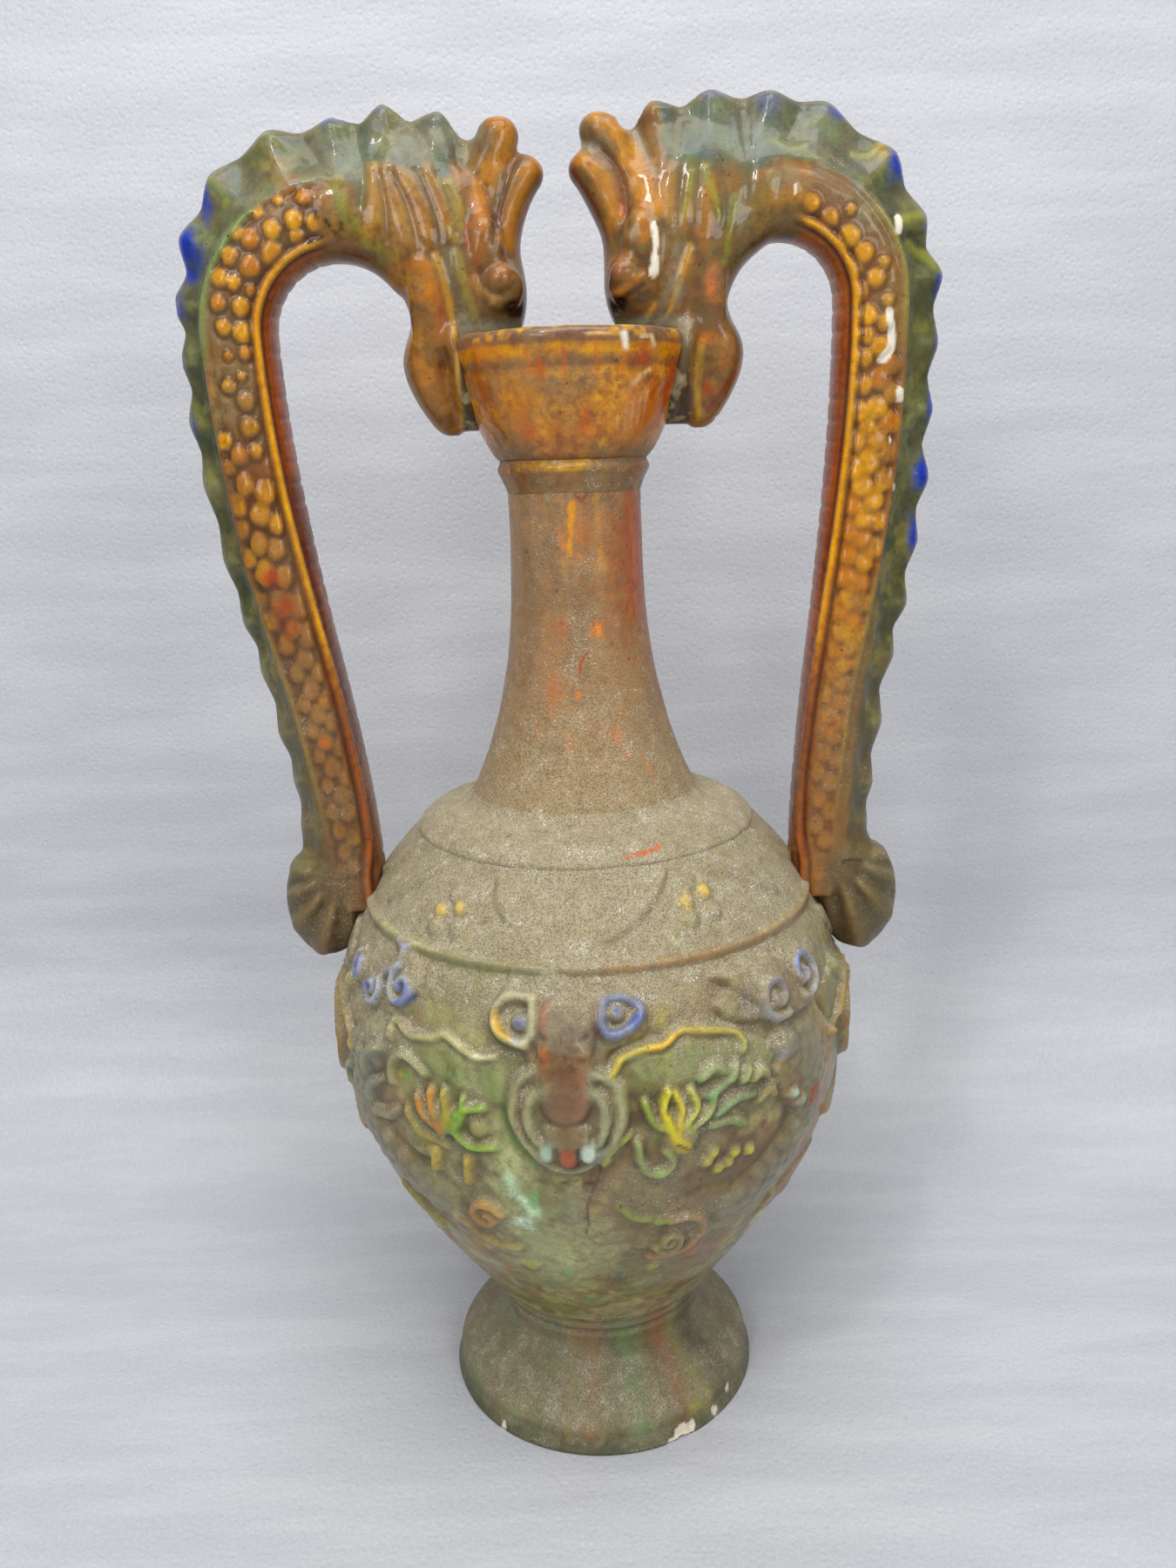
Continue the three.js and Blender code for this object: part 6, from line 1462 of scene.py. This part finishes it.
def shapeDragon(look):
    lump = Lump(look["side"])
    line, outward, walk = centreLine(look)
    share = walk / walk[-1]
    picked = np.arange(0, len(line), 3)
    lump.tube(line[picked], 11.6 + 0.8 * share[picked], 12.0 + 0.4 * share[picked], 2.7, 36)
    # Crest: a thin ridge that stands on the back and thickens at each fin
    edge, swell, k = crestEdge(look)
    gap = np.hypot(edge[:, None, 0] - line[None, :, 0], edge[:, None, 1] - line[None, :, 1])
    foot = line[gap.argmin(axis=1)]
    steps = np.linspace(0, 1, 15)
    reach = np.hypot(*(edge - foot).T)
    half = []
    for s in steps:
        beyond = np.maximum(reach * s - 11.0, 0)
        base = 7.4 + 3.4 * ramp(k, 9, 11.5)
        body = base - (base - 2.5) * np.clip(beyond / np.maximum(reach - 11.0, 1), 0, 1) ** 0.75
        fold = 1 + 0.3 * (swell - 0.55) * ramp(reach * s, reach - 9, reach - 1)
        swelling = np.sqrt(np.clip((reach - reach * s) / 2.2, 0.02, 1))
        half.append(body * fold * swelling)
    half = np.array(half)
    rings = np.zeros((len(edge), 2 * len(steps), 3))
    for i, s in enumerate(steps):
        spot = foot + (edge - foot) * s
        for at, sign in ((i, -1), (2 * len(steps) - 1 - i, 1)):
            rings[:, at, 0], rings[:, at, 2], rings[:, at, 1] = spot[:, 0], spot[:, 1], sign * half[i]
    lump.add(rings)
    # Head: a column from the arch down to the rim, with two curled lobes in front of the crest
    lobes = look["lobes"]
    h = lobes["horn"][2][0] - 22.5  # how much further out this head stands than the left one
    lump.levels([(389.4, 17.5, 48.5, 12.5), (393, 15, 50.5, 13.2), (398, 13.6 + h * 0.1, 51.5, 14.4),
        (404, 12.9 + h * 0.15, 53.6, 15.2), (410, 13.6 + h * 0.2, 57.6, 15.2), (417, 15 + h * 0.3, 66, 14.6),
        (425, 17 + h * 0.5, 72, 13.4), (433, 22 + h * 0.8, 73, 11.6), (441, 27 + h, 68, 9.6),
        (447, 30 + h, 62, 7.4), (452, 34 + h, 56, 4.4)])
    # Swelling of the brow and the cheek on both faces
    for y in (-1, 1):
        lump.ball(21 + h * 0.1, 404, 8.0, 8.0, 4.0, -12, y * 12.0)
        lump.ball(27 + h * 0.2, 414, 8.0, 12, 3.0, 20, y * 12.4)
        lump.ball(42, 404, 9.0, 22, 2.2, 4, y * 12.2)
    horn, wide = spline(lobes["horn"], 14), lobes["hornWide"]
    lump.tube(horn, np.linspace(wide - 1, wide, 14), np.linspace(9.0, wide - 0.2, 14), 2.1)
    lump.ball(horn[-1][0], horn[-1][1] - 0.4, wide, wide - 0.4, wide - 0.2)
    snout, wide = spline(lobes["snout"], 14), lobes["snoutWide"]
    lump.tube(snout, np.linspace(wide + 1, wide - 0.4, 14), np.linspace(11.0, 7.6, 14), 2.1)
    lump.ball(snout[-1][0] - 0.4, snout[-1][1] + 0.2, wide, wide - 0.5, 7.5, 30)
    bridge = spline([(28, 414), (24 + h * 0.6, 426), (18.6 + h, 440)], 12)
    lump.tube(bridge, np.linspace(7, 4.5, 12), np.linspace(11.4, 7.0, 12), 2.1)
    # Jaw: outside the cup, with a thinner web against its wall
    j = look["jawOut"]
    lump.levels([(359.9, 37.4 + j, 42.0 + j, 4.4), (362, 37.0 + j, 45.0 + j, 7.4), (366, 37.0 + j, 48.0 + j, 9.8),
        (371, 37.4 + j, 51.0 + j, 11.8), (377, 37.8 + j, 53.6 + j, 13.2), (383, 38.2 + j, 54.6 + j, 13.8),
        (388, 38.4 + j, 53.6 + j, 14.0), (393, 36, 51.6 + j * 0.7, 13.8), (399, 36, 50.6 + j * 0.3, 13.6),
        (406, 34, 51.6, 13.4)], 2.2)
    lump.levels([(361.2, 29.6, 38 + j, 4.6), (364, 29.4, 39 + j, 7.4), (370, 32, 40 + j, 10.6),
        (378, 35, 41 + j, 12.4), (387, 36.5, 42 + j, 13.0), (392, 36, 43 + j, 13.0), (397, 34, 44 + j, 13.2)], 2.4)
    lump.levels([(361.6, 27.4, 34.6, 4.6), (364.6, 28, 36.4, 9.6), (369, 28.6, 37.8, 14.0),
        (375, 30, 38.8 + j * 0.5, 16.4), (382, 32, 40.0 + j * 0.6, 17.4), (388, 33, 41.0 + j, 17.6),
        (392.4, 33, 41.4 + j, 15.6)], 2.2)
    # Tail lobe on the shoulder
    lump.ball(96.8 + look["tailOut"], 197.5 + look["tailUp"], 14.0, 21.5, 14.0, -3)
    lump.ball(92, 205, 12, 19, 13.0, -3)
    lump.ball(98 + look["tailOut"] * 0.5, 208 + look["tailUp"], 8.4, 14, 10.0, 8)
    return lump, line, outward, walk


def limbPlaces(out, z, line, outward, walk):
    along, across = np.zeros(len(out)), np.zeros(len(out))
    for start in range(0, len(out), dragonWork["batch"]):
        part = slice(start, start + dragonWork["batch"])
        gap = (out[part, None] - line[None, :, 0]) ** 2 + (z[part, None] - line[None, :, 1]) ** 2
        best = gap.argmin(axis=1)
        along[part] = walk[best]
        away = np.stack([out[part] - line[best, 0], z[part] - line[best, 1]], axis=1)
        across[part] = (away * outward[best]).sum(axis=1)
    return along, across


# Where a point of either face lands in the plane through the axis that the photo was measured on
def asMeasured(points, side):
    eyeOut, eyeBack, eyeUp = 1.2 * side, 424.0, 352.8
    spread = eyeBack / (eyeBack - np.abs(points[:, 1]))
    return eyeOut + (points[:, 0] * side - eyeOut) * spread, eyeUp + (points[:, 2] - eyeUp) * spread


def carveScales(s, look, zone, seed):
    rng = np.random.default_rng(seed)
    nearest = np.full(len(s.up), 9.0)
    tone = np.zeros(len(s.up))
    height = np.zeros(len(s.up))
    for out, z, size in look["scales"]:
        shade = rng.uniform()
        picked = np.nonzero((np.abs(s.up - z) < 6) & (np.abs(s.across - out) < 6))[0]
        dx, dz = s.across[picked] - out, s.up[picked] - z
        overlap = ramp(-z, -372, -340)  # pebbles over the arch, lapped scales below it
        squash = np.where(dz > 0, 0.94 - 0.3 * overlap, 0.94)
        gap = np.hypot(dx, dz * squash) / (size * (look["scaleSpread"] + 0.14 * overlap))
        gap = gap * (1 + 0.04 * np.sin(3 * np.arctan2(dz, dx) + 6 * shade)) + s.ragged[picked] * 0.12
        closer = gap < nearest[picked]
        nearest[picked[closer]] = gap[closer]
        tone[picked[closer]] = shade
        tilt = 1 - (0.3 + 0.35 * overlap) * np.clip(dz / size, -1, 1)
        rise = np.clip(1.45 * (1 - gap ** 2), 0, 1) ** 0.8 * tilt * (0.8 + 0.1 * size)
        height[picked] = np.maximum(height[picked], rise)
    fade = 0.35 + 0.65 * ramp(s.up, 215, 300)
    s.detail += 0.72 * height * zone * fade
    s.detail -= 0.25 * zone * fade * ramp(nearest, 0.8, 1.15) * (1 - ramp(nearest, 1.5, 2.2))
    return nearest, tone


def carveDragon(name, look, nodes):
    lump, line, outward, walk = shapeDragon(look)
    points, faces = melt(lump, dragonWork["voxel"])
    edges = allEdges(faces)
    for axis in range(3):
        points[:, axis] = blur(points[:, axis], edges, 3)
    softer = points.copy()
    for axis in range(3):
        softer[:, axis] = blur(points[:, axis], edges, 20)
    nearAxis = ramp(-points[:, 0] * look["side"], -76, -62)
    atHead = ramp(points[:, 2], 380, 392) * nearAxis * (1 - ramp(points[:, 2], 446, 454))
    points += (softer - points) * (atHead * 0.85)[:, None]
    normal = pointNormals(points, faces)
    side, seed = look["side"], 200 if look["side"] < 0 else 300
    along, across = limbPlaces(points[:, 0] * side, points[:, 2], line, outward, walk)
    out, z = asMeasured(points, side)
    _, seenAcross = limbPlaces(out, z, line, outward, walk)
    s = Clay(out, z, 1.0, points, rgb(150, 96, 38))
    s.ragged = cloudy(points, 3.4, seed) - 0.5  # its own seed, so that the two dragons differ
    flat = ramp(np.abs(normal[:, 1]), 0.25, 0.7)
    onLimb = (1 - ramp(along, walk[-1] - 44, walk[-1] - 34)) * ramp(z, 188, 198)
    faceOn = flat * onLimb

    def patch(size, number, low, high, squash=1.0):  # cloudy patches, each with its own number
        return ramp(cloudy(points * np.array([1, 1, squash]), size, seed + number), low, high)

    # Ground of the limb, its dark inner face and the grey-green crest
    low = ramp(-z, -330, -250)
    s.dab(onLimb * 0.75, look["ground"])
    s.dab(onLimb * ramp(z, 402, 420) * 0.8, (122, 114, 84))
    s.dab(onLimb * ramp(-z, -372, -330) * 0.75, look["groundLow"])
    s.blots(1.0, [(12, seed + 3, 0.4, 0.66, 0.55, (128, 78, 36)),
        (7, seed + 4, 0.52, 0.68, 0.5, (164, 104, 38), 0.3)])
    inner = ramp(-across, 6.4, 8.2) * onLimb
    s.dab(inner * 0.95, look["innerTone"], 0.6)
    s.blots(0.55, [(9, seed + 5, 0.45, 0.62, 0.6, (176, 84, 18), 0.4)], inner)
    s.dab(inner * low * 0.5, (112, 84, 56), 0.0)
    s.dab(inner * ramp(z, 380, 416) * 0.5, (170, 96, 26), 0.4)
    rimAt = np.interp(z, *np.array(look["rim"]).T)
    loose = 1 - ramp(out, 58, 78)  # over the head the crest's green runs down unevenly
    strand = cloudy(points * np.array([1, 1, 0.3]), 7, seed + 29) - 0.5
    fromRim = seenAcross - rimAt + s.ragged * 1.2 + loose * strand * 22
    crest = ramp(fromRim, -0.2 - 3 * loose, 1.4 + 5 * loose) * (0.2 + 0.8 * ramp(across, 6, 9))
    overArch = ramp(z, 424, 440) * crest
    s.dab(crest * 0.97, (90, 94, 54))
    s.blots(1.0, [(11, seed + 7, 0.42, 0.62, 0.7, (112, 116, 80))], crest)
    s.dab(crest * patch(8, 9, 0.5, 0.66) * 0.75 * (1 - overArch), (54, 66, 42), 0.3)
    s.dab(crest * patch(6, 10, 0.56, 0.68) * 0.5 * (1 - overArch), (128, 126, 56), 0.3)
    s.dab(crest * ramp(-z, -350, -310) * 0.7, (60, 68, 42), 0.2)
    s.dab(crest * ramp(-z, -350, -310) * patch(5, 27, 0.5, 0.6) * 0.6, (132, 122, 44), 0.3)
    s.dab(crest * ramp(-z, -300, -240) * patch(9, 28, 0.46, 0.6) * 0.6, (98, 76, 38), 0.2)
    s.dab(overArch * 0.75, (108, 110, 80) if side < 0 else (82, 94, 82))
    s.blots(1.0, [(9, seed + 8, 0.44, 0.6, 0.8, (78, 100, 100)), (6, seed + 12, 0.52, 0.64, 0.35, (150, 142, 96)),
        (5, seed + 16, 0.55, 0.66, 0.5, (104, 124, 60))], overArch)

    # Scales, each where the photo has it
    zone = ramp(seenAcross, -4.4, -3.4) * (1 - ramp(seenAcross - rimAt, -1.4, 0.2)) * faceOn
    nearest, tone = carveScales(s, look, zone, seed)
    worn = patch(15, 11, 0.35, 0.52) * (0.4 + 0.6 * ramp(z, 240, 320))
    worn = np.maximum(worn, 0.9 * ramp(z, 372, 392))
    # Dark outlines between the scales, partly painted shade in the gaps
    sunk = zone * ramp(nearest, 0.8, 1.05) * (1 - ramp(nearest, 1.25, 1.7))
    s.dab(sunk * 0.6, look["sunk"], 0.2)
    cap = (1 - ramp(nearest + s.ragged * 0.4, 0.6, 1.02)) * zone
    lively = 0.25 + 0.75 * ramp(z, look["fade"][0], look["fade"][1])
    s.dab(cap * (0.45 + 0.45 * worn) * lively, (196, 132, 20), 0.8)
    s.dab(cap * ramp(tone, 0.35, 0.6) * 0.75 * worn * lively, (210, 148, 18), 0.8)
    s.dab(cap * (1 - ramp(tone, 0.1, 0.25)) * 0.5 * lively, (172, 88, 14), 0.5)
    s.dab(cap * (1 - ramp(nearest, 0.2, 0.5)) * ramp(s.ragged, 0.0, 0.2) * 0.4, (150, 84, 22), 0.4)
    s.dab(cap * (1 - worn) * 0.4, (150, 106, 48), 0.2)

    # Yellow ridge on the inner side, a thin line on the outer one, and notches on the inner face
    ridgeAt = np.interp(z, *np.array(look["ridge"]).T)
    fromRidge = seenAcross - ridgeAt
    ridge = hump(fromRidge, 0, 1.15)
    trench = hump(fromRidge, 2.0, 0.75) + hump(fromRidge + 2.2, 0, 0.8)
    s.detail += (1.35 * ridge - 0.7 * trench) * faceOn
    s.dab(trench * faceOn * 0.85, (88, 42, 16), 0.3)
    bright = ramp(z, 262, 300)
    s.dab(ridge * faceOn * (0.9 + 0.5 * s.ragged) * bright, (226, 158, 14), 0.8)
    s.dab(ridge * faceOn * (0.7 + 0.6 * s.ragged) * (1 - bright), (172, 88, 24), 0.4)
    rim = hump(seenAcross, rimAt, 0.9) * faceOn * ramp(along, 20,
        60) * (1 - ramp(-out, -104, -94) * ramp(z, 400, 410))
    s.detail += 0.9 * rim - 0.4 * hump(seenAcross - rimAt + 1.8, 0, 0.8) * faceOn
    s.dab(rim * ramp(z, 380, 395) * 0.9, (116, 142, 74) if side < 0 else (142, 134, 64), 0.5)
    s.dab(rim * ramp(-z, -316, -300) * 0.7, (140, 122, 58), 0.3)
    notch = np.abs((along / 7.0) % 1 - 0.5)
    s.detail -= 0.5 * (1 - ramp(notch, 0.03, 0.12)) * ramp(-across, 9, 11) * onLimb

    # Fins: a fold runs in from each gap and a soft crease from each tip
    edge, _, k = crestEdge(look)
    gap = np.full(len(points), farOff)
    fin = np.zeros(len(points))
    picked = np.nonzero(across > 8)[0]
    for start in range(0, len(picked), dragonWork["batch"]):
        part = picked[start:start + dragonWork["batch"]]
        away = np.hypot(out[part, None] - edge[None, :, 0], z[part, None] - edge[None, :, 1])
        best = away.argmin(axis=1)
        gap[part], fin[part] = away[np.arange(len(part)), best], k[best]
    phase = np.abs(fin - np.round(fin))
    reach = 6 + 7 * ramp(z, 370, 430)
    nearEdge = (1 - ramp(gap / reach, 0.6, 1.1)) * ramp(seenAcross - rimAt, 0.5, 2.5)
    fold = ramp(phase, 0.22, 0.5) * nearEdge
    s.detail += (0.75 * np.cos(2 * np.pi * phase) - 0.15) * nearEdge * ramp(gap, 0, 2.5)
    s.dab(fold * 0.5, (58, 64, 42))
    s.dab((1 - ramp(phase, 0.0, 0.16)) * nearEdge * 0.45, (140, 142, 94), 0.3)
    for spotOut, up, wide, tall, much in look["blue"]:
        s.spots([(spotOut, up, wide * 1.25, tall * 1.2, (64, 84, 132), much * 0.7, 0.6),
            (spotOut, up, wide, tall, cobalt, much, 0.9)])

    # Tail lobe: flutes that fan out
    bulb = (1 - ramp(z, 203, 214)) * ramp(out, 84, 90)
    flute = np.cos(np.arctan2(z - 208, out - 90) * 15)
    fromRoot = np.hypot(out - 90, z - 208)
    s.detail += bulb * flat * 1.1 * flute * ramp(fromRoot, 10, 18)
    s.dab(bulb * 0.85, (86, 72, 46), 0.1)
    s.dab(bulb * ramp(flute, 0.2, 0.9) * 0.5 * ramp(fromRoot, 8, 18), (140, 112, 60), 0.2)
    s.dab(bulb * ramp(-flute, 0.2, 0.9) * 0.6 * ramp(fromRoot, 8, 18), (52, 54, 36))
    s.dab(bulb * ramp(out, 100, 108) * 0.5, (76, 86, 56), 0.2)

    # Head, mane and jaw: ridges, grooves and glaze strokes on its two faces
    held = s.detail.copy()
    s.detail[:] = 0
    head = (1 - onLimb) * (1 - ramp(out, 76, 84)) * ramp(z, 355, 360)
    maneTop = ramp(z + np.abs(out - 22) * 0.2 + 14 * s.ragged + 16 * (cloudy(points, 9, seed + 23) - 0.5), 434,
        450) * ramp(out, 26, 32)
    warm = head * (1 - maneTop)
    s.dab(warm * 0.88, (116, 82, 40), 0.5)
    s.dab(warm * (1 - ramp(z, 388, 400)) * 0.7, (156, 106, 48), 0.5)
    s.blots(0.55, [(9, seed + 13, 0.48, 0.6, 0.7, (168, 112, 26), 0.6),
        (6, seed + 14, 0.55, 0.64, 0.45, (140, 70, 22), 0.5)], warm)
    s.blots(1.0, [(10, seed + 15, 0.46, 0.6, 0.7, (112, 94, 52), 0.1),
        (5, seed + 25, 0.52, 0.64, 0.6, (88, 56, 32), 0.2)], warm)
    s.dab(warm * ramp(out, 44, 54) * ramp(z, 420, 432) * 0.4, (126, 118, 64), 0.2)
    s.dab(head * ramp(-(out - 20), -2, 6) * ramp(-z, -412, -404) * 0.7, (96, 48, 28), 0.6)
    web = head * (1 - ramp(out, 35.2 + look["jawOut"] * 1.4, 36.8 + look["jawOut"] * 1.4)) * (1 - ramp(z, 393, 397))
    for where, width, rise, shade, much in look["strokes"]:
        steps = 5 * (len(pairs(where)) - 1) + 1
        if rise > 0:
            s.bead(where, width * 1.15, rise * 0.7 * dragonWork["modelling"], tuple(0.9 * part for part in shade),
                much * 0.65, 0.45, steps=steps, taper=0.5)
        elif rise < 0:
            s.groove(where, width * 1.2, -rise * 0.8 * dragonWork["modelling"], shade, much * 0.6, steps=steps)
        else:
            s.run(where, width, shade, much * 0.8, 0.4)
    for where in look["spots"]:
        s.spot(*where[:5], where[5] * 0.85, 0.35)
    eyeOut, eyeUp = look["eye"]
    s.dome(eyeOut, eyeUp, 4.8, 4.4, 1.7, (150, 96, 54), 0.6, 0.7, 1.0)
    # Painted shade: the pit under the eye, and a patch below it, painted near black
    pitOut, pitUp = look["pit"]
    s.pit(pitOut, pitUp, 4.6, 2.8, 2.6, (36, 20, 12), 0.95)
    s.spot(pitOut - 1.2, pitUp - 2.6, 3.6, 4.0, (66, 30, 20), 0.7, 0.4)
    s.dab(web * 0.9, (58, 44, 28))
    s.dab(web * ramp(z, 366, 384) * 0.75, (92, 80, 56))
    s.dab(web * ramp(z, 384, 391) * 0.8, (158, 150, 124))
    s.blots(1.0, [(3, seed + 21, 0.56, 0.64, 0.8, (158, 146, 112))], web)
    beyond = (across > 4) & (z > 400)
    s.detail *= flat * np.where(beyond, 1.0, head)
    s.detail += held

    # Touches seen in the photo: black flecks and misses in the glaze
    for where in look["flecks"]:
        s.run(where, 0.7, (28, 16, 10), 0.95)
    for where, wide in look["misses"]:
        away, _ = s.nearLine(where, 4)
        s.chip = np.maximum(s.chip,
            (1 - ramp(away + s.ragged * 0.4, wide * 0.85, wide * 1.15)) * (points[:, 1] < 0))
        s.detail += 0.25 * (1 - ramp(away, wide * 1.1, wide * 1.6)) * (points[:, 1] < 0)

    facingUp = ramp(normal[:, 2], 0.3, 0.95)
    film = 0.02 + 0.16 * patch(14, 17, 0.45, 0.65) + 0.26 * facingUp * patch(10, 19, 0.3, 0.6)
    film = film + 0.06 * overArch + 0.1 * bulb + 0.16 * low * (1 - inner)
    film = np.clip(film * (1 - 0.85 * np.clip(s.wet, 0, 1)), 0, 1)

    height = blur(np.clip(s.detail, dragonWork["deepest"], dragonWork["highest"]), edges, 1)
    moved = points + normal * height[:, None]
    moved[:, 0] = np.clip(moved[:, 0], cadLow[0] / mm + vase["clear"], cadHigh[0] / mm - vase["clear"])
    moved[:, 2] = np.minimum(moved[:, 2], cadHigh[2] / mm - vase["clear"])
    level = blur(height, edges, 9)
    # Painted shade: hollows and the gaps between scales are darkened
    pool = np.clip((level - height) * 1.5 + 0.4 * sunk, 0, 1)
    ridgeShare = np.clip(height - level, 0, 1) * (1 - crest)
    layers = {"glaze": s.paint, "film": film, "pool": pool, "ridge": ridgeShare, "chip": s.chip}
    makePiece(name, moved, faces, layers, nodes, glazeMaterial(name + "Glaze", handleGlaze))


dragonPieces = ["body", "crest", "tail", "head", "jaw", "horn", "snout", "front_eye", "back_eye"]
carveDragon("leftDragon", leftShape, ["left_dragon_" + piece for piece in dragonPieces])
carveDragon("rightDragon", rightShape, ["right_dragon_" + piece for piece in dragonPieces])
print("dragons made")


# Stage: a pale foam sheet that sweeps up behind, with soft lamps. The room is lit by roomLight, and the camera
# sees roomSeen on top of it.
stageLook = {
    "behind": 0.19, "front": -1.2, "halfWidth": 1.6, "bend": 0.12, "bends": 24, "height": 1.5,
    "sheet": colour(192, 193, 198), "fold": colour(206, 207, 211), "rough": 0.55,
    "roomColour": (0.93, 0.96, 1.0, 1.0), "roomLight": 0.24, "roomSeen": 0.42,
}


def sweepSheet(look):
    rows = [(look["front"], 0.0), (look["behind"] - look["bend"], 0.0)]
    for k in range(1, look["bends"] + 1):
        angle = math.radians(90 * k / look["bends"])
        rows.append((look["behind"] - look["bend"] + look["bend"] * math.sin(angle),
            look["bend"] * (1 - math.cos(angle))))
    rows.append((look["behind"], look["height"]))
    points, faces = [], []
    for y, z in rows:
        points += [(-look["halfWidth"], y, z), (look["halfWidth"], y, z)]
    for k in range(len(rows) - 1):
        faces.append((2 * k, 2 * k + 1, 2 * k + 3, 2 * k + 2))
    mesh = bpy.data.meshes.new("foamSheet")
    mesh.from_pydata(points, [], faces)
    mesh.polygons.foreach_set("use_smooth", np.ones(len(mesh.polygons), bool))
    sheet = bpy.data.objects.new("foamSheet", mesh)
    bpy.context.scene.collection.objects.link(sheet)
    material = bpy.data.materials.new("foamSheet")
    material.use_nodes = True
    tree = material.node_tree
    shader = tree.nodes["Principled BSDF"]
    shader.inputs["Roughness"].default_value = look["rough"]
    flow = Flow(tree, None)
    place = flow.node("ShaderNodeTexCoord", {}, {}, "Object")
    bubbles = flow.cells(place, 330.0).between(0.15, 0.5)
    folds = flow.noise(flow.stretched(place, (0.5, 3.0, 3.0)), 16.0, 4.0, 0.62)
    fuzz = flow.noise(place, 700.0, 2.0, 0.6)
    tone = flow.mix(look["sheet"], look["fold"],
        (folds.between(0.38, 0.66) * 0.6 + fuzz.between(0.4, 0.65) * 0.4).clip())
    tree.links.new(tone.socket, shader.inputs["Base Color"])
    bump = flow.node("ShaderNodeBump", {},
        {"Strength": 0.3, "Distance": 0.0012, "Height": bubbles * 0.35 + folds * 0.5 + fuzz * 0.5})
    tree.links.new(bump.socket, shader.inputs["Normal"])
    # Seen from behind the sheet is clear, so that the back of the vase shows too
    behind = flow.node("ShaderNodeNewGeometry", {}, {}, "Backfacing")
    clear = tree.nodes.new("ShaderNodeBsdfTransparent")
    either = tree.nodes.new("ShaderNodeMixShader")
    output = tree.nodes["Material Output"]
    tree.links.new(behind.socket, either.inputs[0])
    tree.links.new(shader.outputs[0], either.inputs[1])
    tree.links.new(clear.outputs[0], either.inputs[2])
    tree.links.new(either.outputs[0], output.inputs[0])
    mesh.materials.append(material)


sweepSheet(stageLook)

lamps = {
    "overhead": {"place": (0.05, -0.40, 1.30), "aim": (0.0, 0.0, 0.2), "size": (0.9, 0.6), "power": 9.5},
    "leftFront": {"place": (-0.62, -1.15, 0.95), "aim": (0.0, 0.0, 0.25), "size": (0.45, 0.45), "power": 5.2},
    "rightFront": {"place": (0.66, -1.15, 0.85), "aim": (0.0, 0.0, 0.25), "size": (0.45, 0.45), "power": 4.6},
    "window": {"place": (-0.3, -0.7, 1.15), "aim": (0.0, 0.0, 0.35), "size": (0.08, 0.12), "power": 1.8},
}


def addLamp(name, look):
    lampData = bpy.data.lights.new(name, "AREA")
    lampData.shape = "RECTANGLE"
    lampData.size, lampData.size_y = look["size"]
    lampData.energy = look["power"]
    lamp = bpy.data.objects.new(name, lampData)
    bpy.context.scene.collection.objects.link(lamp)
    place, aim = np.array(look["place"]), np.array(look["aim"])
    back = (place - aim) / np.linalg.norm(place - aim)
    side = np.cross((0.0, 0.0, 1.0), back)
    side /= np.linalg.norm(side)
    up = np.cross(back, side)
    turn = Matrix((side, up, back)).transposed().to_4x4()
    lamp.matrix_world = Matrix.Translation(look["place"]) @ turn


for name, look in lamps.items():
    addLamp(name, look)

world = bpy.data.worlds.new("softRoom")
world.use_nodes = True
world.node_tree.nodes["Background"].inputs[0].default_value = stageLook["roomColour"]
room = Flow(world.node_tree, None)
glow = room.node("ShaderNodeLightPath", {}, {}, "Is Camera Ray") * stageLook["roomSeen"] + stageLook["roomLight"]
world.node_tree.links.new(glow.socket, world.node_tree.nodes["Background"].inputs[1])
bpy.context.scene.world = world
bpy.context.scene.view_settings.view_transform = "Standard"
print("stage and lamps set")
